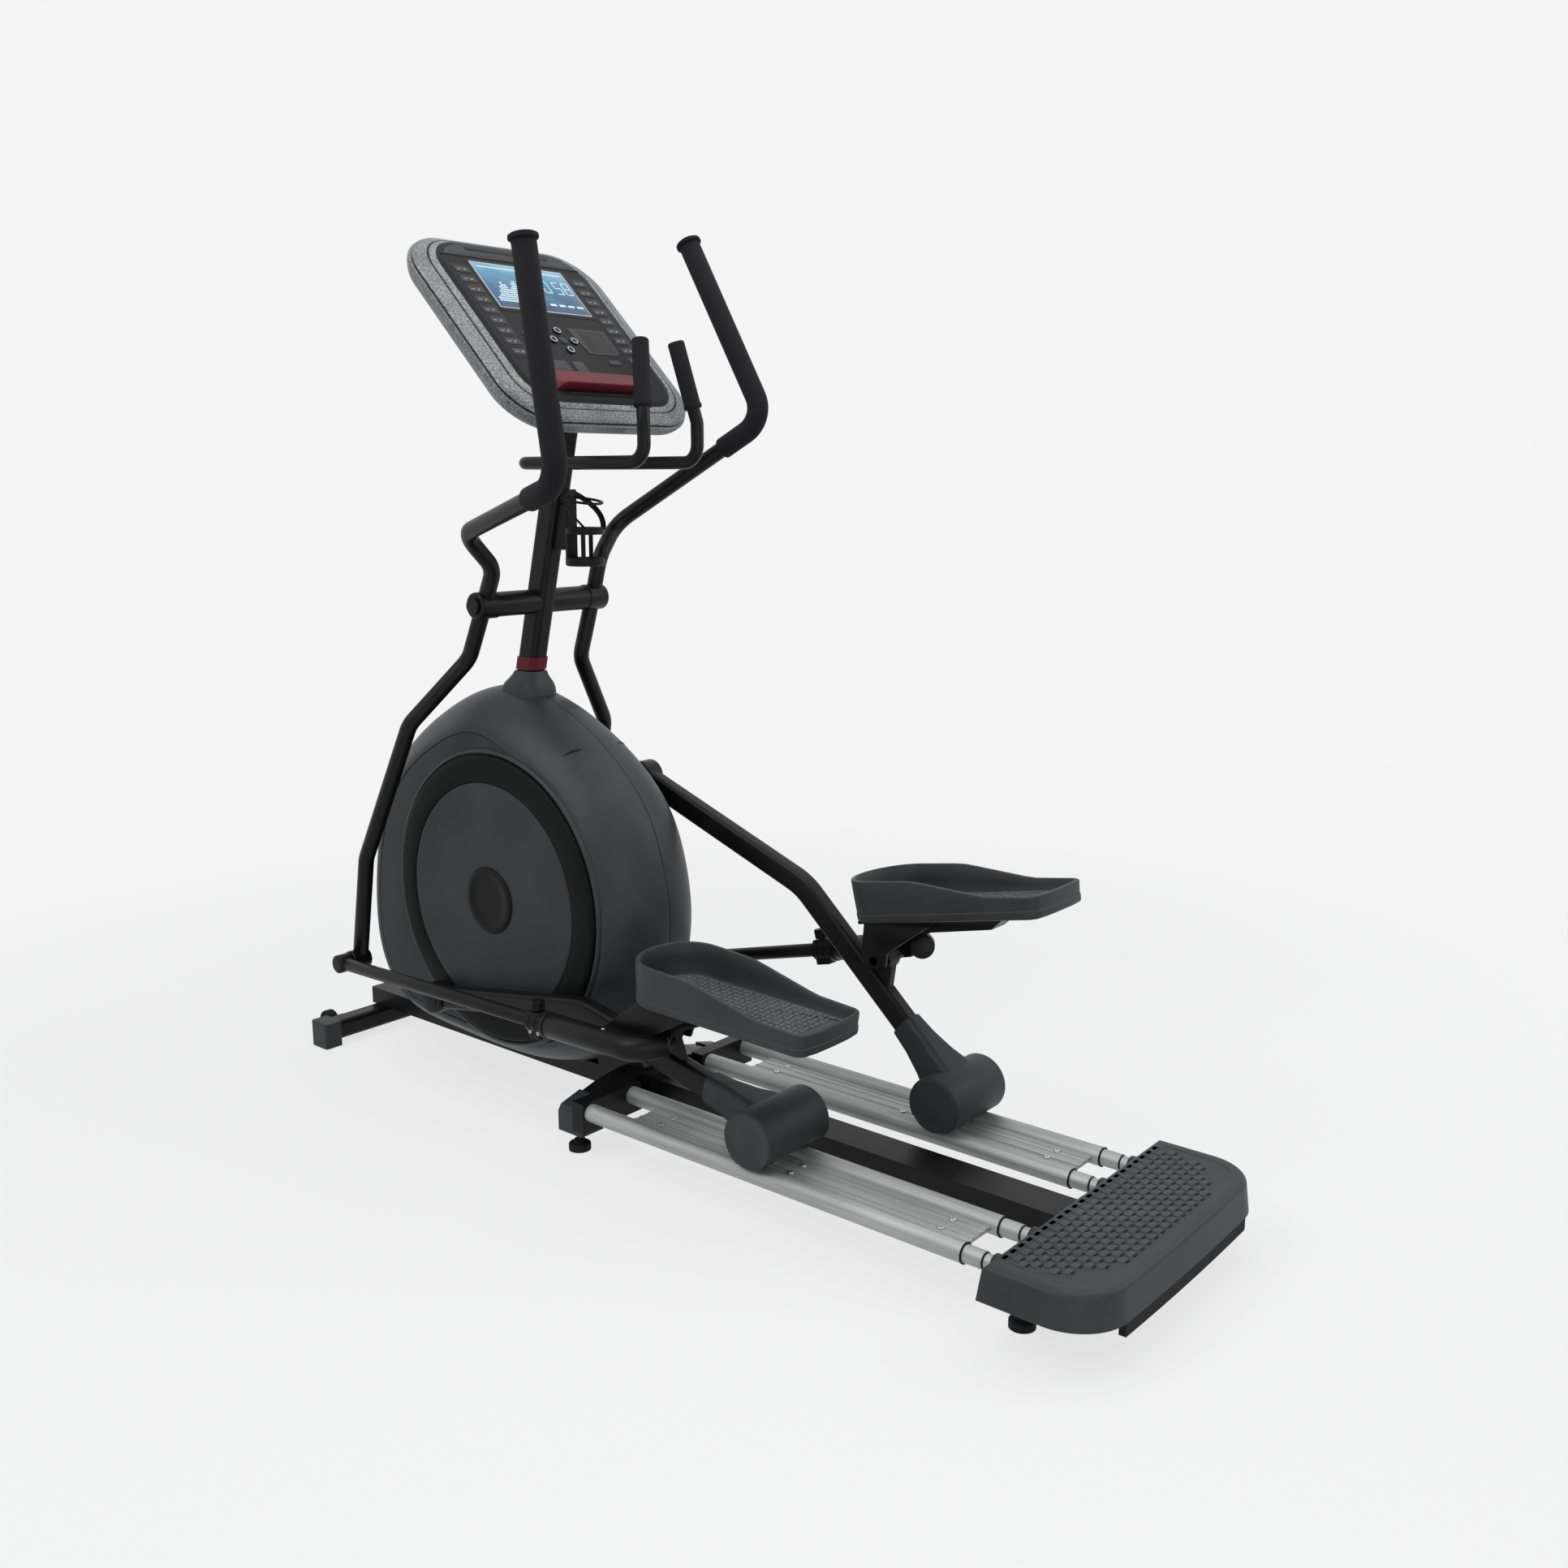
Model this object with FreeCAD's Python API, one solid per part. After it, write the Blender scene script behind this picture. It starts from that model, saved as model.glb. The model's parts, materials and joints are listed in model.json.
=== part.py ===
"""Front-drive elliptical trainer, one closed solid or group of solids per named piece.

Frame: +X towards the rear step, +Y to the user's right, +Z up, millimetres.
Origin on the floor, under the middle of the machine.
Every moving piece is placed by solving the linkage once for each side, so a
changed length moves all the pieces that hang on it.
"""
import FreeCAD, Part
import math
import os

V = FreeCAD.Vector
LEFT, RIGHT = -1, 1
SIDE_NAMES = {LEFT: "left", RIGHT: "right"}

# ------------------------------------------------------------------ driving sizes
# Clearances
GAP = 0.3            # between curved faces of different bodies
RUNNING = 0.05       # radial, shaft in bore
SLIP = 0.1           # sleeve over tube, same body

# Linkage, side view (x, z)
CRANK = (-443.0, 438.0)
CRANK_RADIUS = 283.0
CRANK_ANGLE = 57.0          # right pin above the horizontal at rest
ARM_LENGTH = 956.5          # crank pin to roller axle
ARM_BEND = (460.0, 92.0)    # along and above the pin-to-axle line
PEDAL_PIVOT = (687.0, 107.0)
SWING_PIVOT = (-418.0, 1053.0)
SWING_RADIUS = 870.0        # swing pivot to link joint
LINK_LENGTH = 878.0         # link joint to pedal pivot

# Planes, measured outwards from the middle
SHROUD_HALF = 125.0
DISC_IN, DISC_OUT = 127.0, 142.0
ARM_IN, ARM_OUT = 150.0, 184.0
SWING_PLANE = 231.0
LINK_PLANE = 276.0

# Crank set
DISC_RADIUS = 305.0
DISC_FACE_T = 3.0
DISC_GROOVE_IN = 56.0       # groove round the inner panel, from the rim
HUB_CAP_RADIUS = 69.0
HUB_CAP_HEIGHT = 4.5
CRANK_SHAFT_R = 12.5
CRANK_PIN_R = 12.0
CRANK_BAR_T = 10.0
PIN_END_GAP = 1.5           # pin stops short of the arm hub, the open pivot

# Drive
PULLEY_R, PULLEY_PLANE, PULLEY_T = 150.0, -62.5, 25.0
FLY_CENTER = (-745.0, 360.0)
FLY_R, FLY_IN, FLY_OUT = 125.0, 35.0, 75.0
FLY_PULLEY_R, FLY_SHAFT_R = 21.0, 10.0
BELT_T, BELT_W = 3.5, 20.0
BRAKE_SHELF_Z, FORK_LEG_T = 150.0, 6.0

# Rails
RAIL_Z, RAIL_TUBE_R = 100.0, 17.5
RAIL_SPREAD = 56.0          # half distance between the two tubes of a rail
RAIL_CENTER = 170.5
RAIL_FRONT, RAIL_REAR = -60.0, 795.0
RAIL_WALL, WEB_T = 2.5, 6.0
WEB_MARGIN = 90.0
ROD_R = 13.0

# Rollers
ROLLER_R, ROLLER_HALF_W = 50.0, 8.0
AXLE_R = 10.0
COVER_WALL, COVER_GAP = 2.0, 0.7
COVER_IN = RAIL_CENTER - RAIL_SPREAD - RAIL_TUBE_R - 12.5
COVER_OUT = RAIL_CENTER + RAIL_SPREAD + RAIL_TUBE_R + 5.5

# Pedal arm bar
ARM_H, ARM_BEND_R, ARM_WALL = 46.0, 140.0, 3.0
ARM_HUB_R, ARM_HUB_OUT = 34.0, 191.0
PIVOT_BOSS_R, PIVOT_SHAFT_R = 24.0, 9.0

# Pedal, in the link's own frame with the pivot as origin
PEDAL_FRONT, PEDAL_BASE = -28.0, 83.0
PEDAL_TILT = -2.7
PEDAL_LENGTH, PEDAL_IN, PEDAL_OUT = 428.0, 86.0, 269.0
PEDAL_NOSE, PEDAL_TAIL, PEDAL_PINCH = 80.0, 22.0, 5.0
PEDAL_RIM_FRONT, PEDAL_RIM_REAR = 82.0, 40.0
PEDAL_FLOOR, PEDAL_WALL = 20.0, 9.0
MAT_T = 3.0
LINK_R, LINK_WALL = 14.0, 2.0
SLEEVE_R, SLEEVE_LENGTH = 24.5, 215.0
LINK_OVERLAP = 90.0         # slim tube inside the sleeve

# Swing arms, in their own frame: pivot at the origin, link joint straight below
SWING_TUBE_R, SWING_WALL = 16.5, 2.2
GRIP_R, GRIP_BELOW_ELBOW = 22.0, 115.0
GRIP_FLANGE_R = 26.0
SWING_AXLE_R = 10.0
HUB_R, HUB_IN, HUB_OUT = 27.0, 120.0, 172.0
SWING_UP = [(0, 148, 0), (8, 156, 86), (-20, 226, 150), (292, 333, 398), (58, 329, 730)]
SWING_DOWN = [(0, 148, 0), (-16, 134, -132), (-32, SWING_PLANE, -286), (-60, SWING_PLANE, -640)]
SWING_BEND = 55.0
SWING_FOOT_R, SWING_FOOT_PROUD = 22.0, 11.0

# Post
POST_DX, POST_DY, POST_WALL, POST_ROUND = 54.0, 42.0, 2.5, 12.0
POST_SLOPE = 0.2485         # rearward travel per unit of height
POST_BASE_Z, POST_TOP_Z = 97.0, 1440.0
CROSSBAR_R = 25.0

# Main frame
BEAM_Z, BEAM_H, BEAM_HALF_W, BEAM_WALL = 57.0, 40.0, 40.0, 3.0
STABILIZER_X, STABILIZER_W, STABILIZER_H, STABILIZER_Z = -994.0, 52.0, 45.0, 12.0
STABILIZER_HALF = 205.0
CROSS_X, CROSS_W, CROSS_HALF = -120.0, 60.0, 222.0
FOOT_Y = 203.0
CAP_WALL, CAP_LENGTH = 3.0, 52.0
CENTER_BEAM_HALF, CENTER_BEAM_Z, CENTER_BEAM_H = 38.0, 62.0, 45.0

# Rear step
STEP_FRONT, STEP_REAR, STEP_HALF = 863.0, 1075.0, 302.0
STEP_TOP, STEP_SKIRT, STEP_WALL = 134.0, 76.0, 4.0
STEP_LEAN, STEP_EDGE = 7.0, 9.0
BUMPER_Z, BUMPER_T, BUMPER_HALF = 54.0, 12.0, 215.0
STEP_CORNER, STEP_BOW = 96.0, 3.0
REAR_CROSS_X = 875.0        # front face of the cross member inside the step
REAR_CROSS_Z, REAR_CROSS_HALF = 72.0, 260.0
REAR_FOOT_INSET, REAR_FOOT_Y = 16.0, 207.0
COLLAR_REACH = 14.0         # rod collars in front of the step

# Feet and transport wheels
FOOT_R, FOOT_H, STEM_R = 22.0, 14.0, 6.0
WHEEL_R, WHEEL_W, WHEEL_Y = 26.0, 22.0, 146.0
WHEEL_PIN_R, EAR_T = 4.0, 4.0
FRONT_END = -1075.0

# Shroud, side outline around its own centre (x, z)
SHROUD_CENTER = (-460.0, 400.0)
SHROUD_OUTLINE = [
    (-500, 872), (-690, 806), (-848, 670), (-925, 470), (-930, 240), (-830, 108),
    (-600, 76), (-340, 80), (-165, 150), (-78, 310), (-64, 480), (-128, 664), (-290, 800),
]
SHROUD_WALL = 3.0
SHROUD_SIDE_SCALE = 0.84    # the flat side against the full outline
COLLAR_BOTTOM, COLLAR_TOP = 850.0, 906.0

# Console, face centre and tilt from upright
CONSOLE_CENTER = (-346.0, 1600.0)
CONSOLE_TILT = 45.0
FACE_W, FACE_H, FACE_ROUND = 372.0, 430.0, 70.0
SHELL_W, SHELL_H, SHELL_ROUND = 486.0, 510.0, 105.0
CONSOLE_DEPTH, CONSOLE_SPLIT, CONSOLE_WALL = 68.0, 30.0, 3.0
CONSOLE_SHIFT = -6.0         # the shell sits this far down from the face
NECK_BOTTOM, NECK_TOP = 1392.0, 1492.0
SCREEN_W, SCREEN_H, SCREEN_V = 236.0, 128.0, 98.0
KEY_R, KEY_TRAVEL, KEY_PROUD = 9.0, 1.5, 3.0
KEY_CLUSTER = (-14.0, -50.0)
KEY_PITCH = 27.0
STOP_KEY = (136.0, -150.0)
STOP_KEY_R = 16.0

# Fixed handlebar
BAR_R, BAR_WALL, BAR_BEND = 12.5, 2.0, 34.0
BAR_Z, BAR_HALF, BAR_REAR = 1331.0, 72.0, -38.0
FIXED_GRIP_R, FIXED_GRIP_LENGTH = 16.0, 128.0

# Bottle cage
CAGE_R, CAGE_HEIGHT, CAGE_WALL, CAGE_Z = 39.0, 150.0, 3.0, 1130.0


# ------------------------------------------------------------------ small helpers
def turn(point, degrees):
    """Turns (x, z) about the origin, from +x towards +z."""
    c, s = math.cos(math.radians(degrees)), math.sin(math.radians(degrees))
    return (point[0] * c - point[1] * s, point[0] * s + point[1] * c)


def place(shape, origin, degrees):
    """Turns a shape from its own side-view frame and moves it to origin (x, z)."""
    moved = shape.copy()
    moved.rotate(V(0, 0, 0), V(0, 1, 0), -degrees)
    moved.translate(V(origin[0], 0, origin[1]))
    return moved


def fuse(solids, refine=True):
    """Joins solids; refine merges the faces that now share one surface."""
    joined = solids[0].multiFuse(solids[1:]) if len(solids) > 1 else solids[0]
    if refine:
        joined = joined.removeSplitter()
    return joined.Solids[0] if len(joined.Solids) == 1 else joined


def box(x0, x1, y0, y1, z0, z1):
    return Part.makeBox(x1 - x0, y1 - y0, z1 - z0, V(x0, y0, z0))


def rod_y(center, radius, y0, y1):
    """A cylinder along Y about (x, z)."""
    low, high = min(y0, y1), max(y0, y1)
    return Part.makeCylinder(radius, high - low, V(center[0], low, center[1]), V(0, 1, 0))


def ring_y(center, outer, inner, y0, y1):
    return rod_y(center, outer, y0, y1).cut(rod_y(center, inner, y0, y1))


def section(center, direction, radius, bore):
    """A disc, or an annulus with a bore, square to direction."""
    outer = Part.Face(Part.Wire(Part.makeCircle(radius, center, direction)))
    if not bore:
        return outer
    return outer.cut(Part.Face(Part.Wire(Part.makeCircle(bore, center, direction)))).Faces[0]


def bent_tube(points, radius, bend, bore=0.0):
    """A round bar or tube along straight runs joined by tangent arcs."""
    pts = [V(*p) for p in points]
    pieces, start = [], pts[0]
    for i in range(1, len(pts)):
        run = (pts[i] - pts[i - 1]).normalize()
        if i == len(pts) - 1:
            end = pts[i]
        else:
            leave = (pts[i + 1] - pts[i]).normalize()
            angle = run.getAngle(leave)
            back = bend * math.tan(angle / 2)
            end = pts[i] - run * back
        pieces.append(section(start, run, radius, bore).extrude(end - start))
        if i < len(pts) - 1:
            axis = run.cross(leave).normalize()
            center = end + axis.cross(run) * bend
            arc = section(end, run, radius, bore)
            pieces.append(arc.revolve(center, axis, math.degrees(angle)))
            start = pts[i] + leave * back
    return fuse(pieces)


def hollow_bar(points, radius, bend, bore, first=0.0, last=0.0):
    """A bent bar and its bore, the bore starting and ending short of the bar's ends."""
    pts = [V(*p) for p in points]
    inner = list(pts)
    inner[0] = pts[0] + (pts[1] - pts[0]).normalize() * first
    inner[-1] = pts[-1] + (pts[-2] - pts[-1]).normalize() * last
    return bent_tube(points, radius, bend), bent_tube([tuple(p) for p in inner], bore, bend)


def rounded_rect(width, height, radius):
    """A closed wire in the XY plane, centred, with round corners."""
    w, h, r = width / 2, height / 2, radius
    k = r * (1 - math.sqrt(0.5))
    corners = [(w, h), (-w, h), (-w, -h), (w, -h)]
    starts = [(w, h - r), (-w + r, h), (-w, -h + r), (w - r, -h)]
    mids = [(w - k, h - k), (-w + k, h - k), (-w + k, -h + k), (w - k, -h + k)]
    ends = [(w - r, h), (-w, h - r), (-w + r, -h), (w, -h + r)]
    edges = []
    for i in range(len(corners)):
        edges.append(Part.Arc(V(*starts[i], 0), V(*mids[i], 0), V(*ends[i], 0)).toShape())
        follow = starts[(i + 1) % len(corners)]
        if (V(*ends[i], 0) - V(*follow, 0)).Length > 1e-6:
            edges.append(Part.LineSegment(V(*ends[i], 0), V(*follow, 0)).toShape())
    return Part.Wire(edges)


def prism_y(outline, y0, y1):
    """Extrudes a closed side-view outline of (x, z) points along Y."""
    low, high = min(y0, y1), max(y0, y1)
    wire = Part.makePolygon([V(x, low, z) for x, z in outline] + [V(outline[0][0], low, outline[0][1])])
    return Part.Face(wire).extrude(V(0, high - low, 0))


def prism_x(outline, x0, x1):
    """Extrudes a closed front-view outline of (y, z) points along X."""
    wire = Part.makePolygon([V(x0, y, z) for y, z in outline] + [V(x0, *outline[0])])
    return Part.Face(wire).extrude(V(x1 - x0, 0, 0))


def mirrored(shape):
    return shape.mirror(V(0, 0, 0), V(0, 1, 0))


def save(name, *solids):
    """Writes one node: a single solid, or a group of separate ones."""
    flat = [s for shape in solids for s in shape.Solids]
    shape = flat[0] if len(flat) == 1 else Part.makeCompound(flat)
    if not shape.isValid() or any(s.Volume <= 0 for s in flat):
        print("CHECK", name, "valid", shape.isValid(), "volumes", [s.Volume for s in flat])
    shape.exportStep(os.path.join("parts", name + ".step"))


# ------------------------------------------------------------------ linkage at rest
ROLLER_Z = RAIL_Z + RAIL_TUBE_R + GAP + ROLLER_R


def solve(crank_degrees):
    """Places one side's linkage for a crank pin angle."""
    pin = tuple(CRANK[i] + CRANK_RADIUS * f(math.radians(crank_degrees))
                for i, f in enumerate((math.cos, math.sin)))
    drop = ROLLER_Z - pin[1]
    axle = (pin[0] + math.sqrt(ARM_LENGTH ** 2 - drop ** 2), ROLLER_Z)
    arm = math.degrees(math.asin(drop / ARM_LENGTH))
    out = turn(PEDAL_PIVOT, arm)
    pivot = (pin[0] + out[0], pin[1] + out[1])
    dx, dz = pivot[0] - SWING_PIVOT[0], pivot[1] - SWING_PIVOT[1]
    far = math.hypot(dx, dz)
    along = (SWING_RADIUS ** 2 - LINK_LENGTH ** 2 + far ** 2) / (2 * far)
    across = math.sqrt(SWING_RADIUS ** 2 - along ** 2)
    joint = (SWING_PIVOT[0] + (dx * along + dz * across) / far,
             SWING_PIVOT[1] + (dz * along - dx * across) / far)
    swing = math.degrees(math.atan2(joint[0] - SWING_PIVOT[0], SWING_PIVOT[1] - joint[1]))
    link = math.degrees(math.atan2(pivot[1] - joint[1], pivot[0] - joint[0]))
    return {"pin": pin, "axle": axle, "arm": arm, "pivot": pivot, "joint": joint,
            "swing": swing, "link": link, "crank": crank_degrees}


REST = {RIGHT: solve(CRANK_ANGLE), LEFT: solve(CRANK_ANGLE + 180.0)}
CYCLE = [solve(step) for step in range(0, 360, 5)]
ARM_SWEEP = (min(p["arm"] for p in CYCLE), max(p["arm"] for p in CYCLE))


def post_x(z):
    """Centre of the leaning post at a height."""
    return SWING_PIVOT[0] + (z - SWING_PIVOT[1]) * POST_SLOPE


POST_LEAN = math.degrees(math.atan(POST_SLOPE))


def post_prism(z0, z1, dx, dy, radius):
    """A length of leaning post, cut level at both ends."""
    wire = rounded_rect(dx, dy, radius)
    wire.translate(V(post_x(z0), 0, z0))
    return Part.Face(wire).extrude(V(post_x(z1) - post_x(z0), 0, z1 - z0))


# ------------------------------------------------------------------ frame
def main_frame():
    beam = box(STABILIZER_X - 30, CROSS_X, -BEAM_HALF_W, BEAM_HALF_W, BEAM_Z, BEAM_Z + BEAM_H)
    hollow = box(STABILIZER_X, CROSS_X - CROSS_W, -BEAM_HALF_W + BEAM_WALL, BEAM_HALF_W - BEAM_WALL,
                 BEAM_Z + BEAM_WALL, BEAM_Z + BEAM_H - BEAM_WALL)
    beam = beam.cut(hollow)
    cross_outline = [(-CROSS_HALF, 45), (CROSS_HALF, 45), (CROSS_HALF, 88), (130, 112),
                     (70, 120), (-70, 120), (-130, 112), (-CROSS_HALF, 88)]
    cross = prism_x(cross_outline, CROSS_X - CROSS_W / 2, CROSS_X + CROSS_W / 2)
    cross_bore = box(CROSS_X - CROSS_W / 2 + 4, CROSS_X + CROSS_W / 2 - 4,
                     -CROSS_HALF - 1, CROSS_HALF + 1, 49, 84)
    cross = cross.cut(cross_bore)
    socket_x = CROSS_X + CROSS_W / 2
    pieces = [beam, cross]
    for side in (LEFT, RIGHT):
        low, high = sorted((side * 90.0, side * 248.0))
        pieces.append(box(socket_x, RAIL_FRONT, low, high, 62, 122))
    pieces.append(box(socket_x, RAIL_FRONT, -60, 60, 57, 122))
    # Tower that ties the beam, the cross member and the drive housing together
    pieces.append(prism_y([(CROSS_X - 110, BEAM_Z + BEAM_H), (CROSS_X + 28, BEAM_Z + BEAM_H),
                           (CROSS_X + 28, 128), (CROSS_X - 40, 176), (CROSS_X - 110, 176)], -46, 46))
    # Mast stub and the crank housing on it
    mast = post_prism(POST_BASE_Z - 5, 330, POST_DX + 8, POST_DY + 8, POST_ROUND + 4)
    mast_bore = post_prism(POST_BASE_Z + 30, 331, POST_DX + 2 * SLIP, POST_DY + 2 * SLIP, POST_ROUND)
    plate_x = post_x(CRANK[1]) + POST_DX / 2
    housing = rod_y(CRANK, 34, -44, 44)
    arm_plate = prism_y([(post_x(300) + POST_DX / 2, 300), (CRANK[0] + 22, CRANK[1] - 24),
                         (CRANK[0] + 6, CRANK[1] + 30), (plate_x + SLIP, CRANK[1] + 20),
                         (post_x(335) + POST_DX / 2 + SLIP, 335)], -18, 18)
    strut = prism_y([(CRANK[0] - 14, CRANK[1] - 20), (CRANK[0] + 18, CRANK[1] - 20),
                     (CROSS_X - 70, 170), (CROSS_X - 108, 170)], -18, 18)
    pieces += [mast.cut(mast_bore), housing, arm_plate, strut]
    # Flywheel fork
    fx, fz = FLY_CENTER
    foot_z, shelf_z, leg = BEAM_Z + BEAM_H, BRAKE_SHELF_Z, FORK_LEG_T
    outer_y = FLY_OUT + 5
    pieces += [
        box(fx - 38, fx + 38, -BEAM_HALF_W, -BEAM_HALF_W + leg, foot_z, fz + 34),
        box(fx - 38, fx + 38, BEAM_HALF_W - 20, BEAM_HALF_W - 20 + leg, foot_z, shelf_z),
        box(fx - 38, fx + 38, BEAM_HALF_W - 20, outer_y + leg, shelf_z - leg, shelf_z),
        box(fx - 38, fx + 38, outer_y, outer_y + leg, shelf_z - leg, fz + 34),
    ]
    frame = fuse(pieces)
    frame = frame.cut(rod_y(CRANK, 26 + RUNNING, -45, 45))
    frame = frame.cut(rod_y(FLY_CENTER, FLY_SHAFT_R + RUNNING, -60, 100))
    frame = frame.cut(post_prism(301, 700, POST_DX + 2 * SLIP, POST_DY + 2 * SLIP, POST_ROUND))
    for side in (LEFT, RIGHT):
        frame = frame.cut(Part.makeCylinder(STEM_R + RUNNING, 30, V(CROSS_X, side * FOOT_Y, 40)))
    save("main_frame", frame)


def crank_bearings():
    """Two sealed cartridges between the crank housing and the shaft."""
    solids = []
    for side in (LEFT, RIGHT):
        y0, y1 = sorted((side * 26.0, side * 44.0))
        solids.append(ring_y(CRANK, 26, CRANK_SHAFT_R + RUNNING, y0, y1))
    save("crank_bearings", *solids)


def upright_post():
    outer = post_prism(BEAM_Z + BEAM_H + 32, POST_TOP_Z, POST_DX, POST_DY, POST_ROUND)
    bore = post_prism(BEAM_Z + BEAM_H + 31, POST_TOP_Z + 1, POST_DX - 2 * POST_WALL,
                      POST_DY - 2 * POST_WALL, POST_ROUND - POST_WALL)
    crossbar = rod_y(SWING_PIVOT, CROSSBAR_R, -HUB_IN + GAP, HUB_IN - GAP)
    post = fuse([outer.cut(bore), crossbar])
    save("upright_post", post.cut(rod_y(SWING_PIVOT, SWING_AXLE_R + RUNNING, -HUB_IN, HUB_IN)))
    # Sleeve band low on the post
    band_z, band_h = COLLAR_TOP + 4.0, 26.0
    band = post_prism(band_z, band_z + band_h, POST_DX + 6, POST_DY + 6, POST_ROUND + 3)
    save("post_band", band.cut(post_prism(band_z - 1, band_z + band_h + 1, POST_DX + 2 * SLIP,
                                          POST_DY + 2 * SLIP, POST_ROUND + SLIP)))
    shaft = rod_y(SWING_PIVOT, SWING_AXLE_R, -HUB_OUT - 1, HUB_OUT + 1)
    head = [rod_y(SWING_PIVOT, 17, side * (HUB_OUT + GAP), side * (HUB_OUT + 7)) for side in (LEFT, RIGHT)]
    save("swing_axle", fuse([shaft] + head))


def front_stabilizer():
    x0, x1 = STABILIZER_X - STABILIZER_W / 2, STABILIZER_X + STABILIZER_W / 2
    z0, z1 = STABILIZER_Z, STABILIZER_Z + STABILIZER_H
    tube = box(x0, x1, -STABILIZER_HALF, STABILIZER_HALF, z0, z1)
    tube = tube.makeFillet(12, [e for e in tube.Edges if abs(e.Length - 2 * STABILIZER_HALF) < 1])
    bore = box(x0 + 3, x1 - 3, -STABILIZER_HALF - 1, STABILIZER_HALF + 1, z0 + 3, z1 - 3)
    bore = bore.makeFillet(9, [e for e in bore.Edges if abs(e.Length - 2 * STABILIZER_HALF - 2) < 1])
    tube = tube.cut(bore)
    ears = []
    for side in (LEFT, RIGHT):
        for inner in (WHEEL_Y - WHEEL_W / 2 - EAR_T - 1, WHEEL_Y + WHEEL_W / 2 + 1):
            low, high = sorted((side * inner, side * (inner + EAR_T)))
            ears.append(prism_y([(x0 + 3, z0 + 6), (x0 + 3, z1 - 2), (WHEEL_X + 9, WHEEL_Z + 12),
                                 (WHEEL_X - 8, WHEEL_Z + 8), (WHEEL_X - 8, WHEEL_Z - 8)], low, high))
        reach = WHEEL_W / 2 + EAR_T
        ears.append(rod_y((WHEEL_X, WHEEL_Z), WHEEL_PIN_R, side * (WHEEL_Y - reach),
                          side * (WHEEL_Y + reach)))
    save("front_stabilizer", fuse([tube] + ears))
    caps = []
    for side in (LEFT, RIGHT):
        inner, outer = STABILIZER_HALF - 34, STABILIZER_HALF + 8
        low, high = sorted((side * inner, side * outer))
        cap = box(x0 - 3, x1 + 3, low, high, 0, z1 + 3)
        tips = [e for e in cap.Edges if abs(e.CenterOfMass.y - side * outer) < 1 and e.CenterOfMass.z > 1]
        cap = cap.makeFillet(6, tips)
        end = sorted((side * (inner - 1), side * (STABILIZER_HALF + GAP)))
        hollow = box(x0 - SLIP, x1 + SLIP, end[0], end[1], z0 - SLIP, z1 + SLIP)
        caps.append(cap.cut(hollow))
    for side in (LEFT, RIGHT):
        inner, outer = CROSS_HALF - CAP_LENGTH, CROSS_HALF + 6
        low, high = sorted((side * inner, side * outer))
        half = CROSS_W / 2 + CAP_WALL
        top_in = 88 + (CROSS_HALF - inner) * (112 - 88) / (CROSS_HALF - 130) + CAP_WALL + 1
        outline = [(side * inner, 40), (side * inner, top_in), (side * (outer - 8), 92),
                   (side * outer, 80), (side * outer, 40)]
        cap = prism_x(outline, CROSS_X - half, CROSS_X + half)
        hollow = prism_x([(side * (inner - 1), 45 - SLIP), (side * (inner - 1), top_in + 0.5 - CAP_WALL),
                          (side * (CROSS_HALF + SLIP), 88 + SLIP), (side * (CROSS_HALF + SLIP), 45 - SLIP)],
                         CROSS_X - CROSS_W / 2 - SLIP, CROSS_X + CROSS_W / 2 + SLIP)
        cap = cap.cut(hollow)
        cap = cap.cut(box(CROSS_X + CROSS_W / 2 - 1, CROSS_X + half + 1, low - 1, high + 1, 60, 130))
        caps.append(cap.cut(Part.makeCylinder(STEM_R + 2, 20, V(CROSS_X, side * FOOT_Y, 35))))
    save("frame_end_caps", *caps)


WHEEL_X = FRONT_END + WHEEL_R
WHEEL_Z = WHEEL_R + 8.0


def transport_wheels():
    for side in (LEFT, RIGHT):
        y0, y1 = sorted((side * (WHEEL_Y - WHEEL_W / 2), side * (WHEEL_Y + WHEEL_W / 2)))
        wheel = rod_y((WHEEL_X, WHEEL_Z), WHEEL_R, y0, y1)
        wheel = wheel.makeFillet(4, [e for e in wheel.Edges if abs(e.Length - 2 * math.pi * WHEEL_R) < 1])
        bore = rod_y((WHEEL_X, WHEEL_Z), WHEEL_PIN_R + RUNNING, y0 - 1, y1 + 1)
        save("transport_wheel_" + SIDE_NAMES[side], wheel.cut(bore))


def levelling_feet(spots):
    for name, x, y, stem_top in spots:
        pad = Part.makeCylinder(FOOT_R, FOOT_H, V(x, y, 0))
        pad = pad.makeFillet(3, [e for e in pad.Edges if abs(e.Length - 2 * math.pi * FOOT_R) < 1
                                 and e.CenterOfMass.z > 1])
        neck = Part.makeCylinder(STEM_R + 5, 8, V(x, y, FOOT_H - 1))
        stem = Part.makeCylinder(STEM_R, stem_top - FOOT_H, V(x, y, FOOT_H))
        save("levelling_foot_" + name, fuse([pad, neck, stem]))


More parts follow.
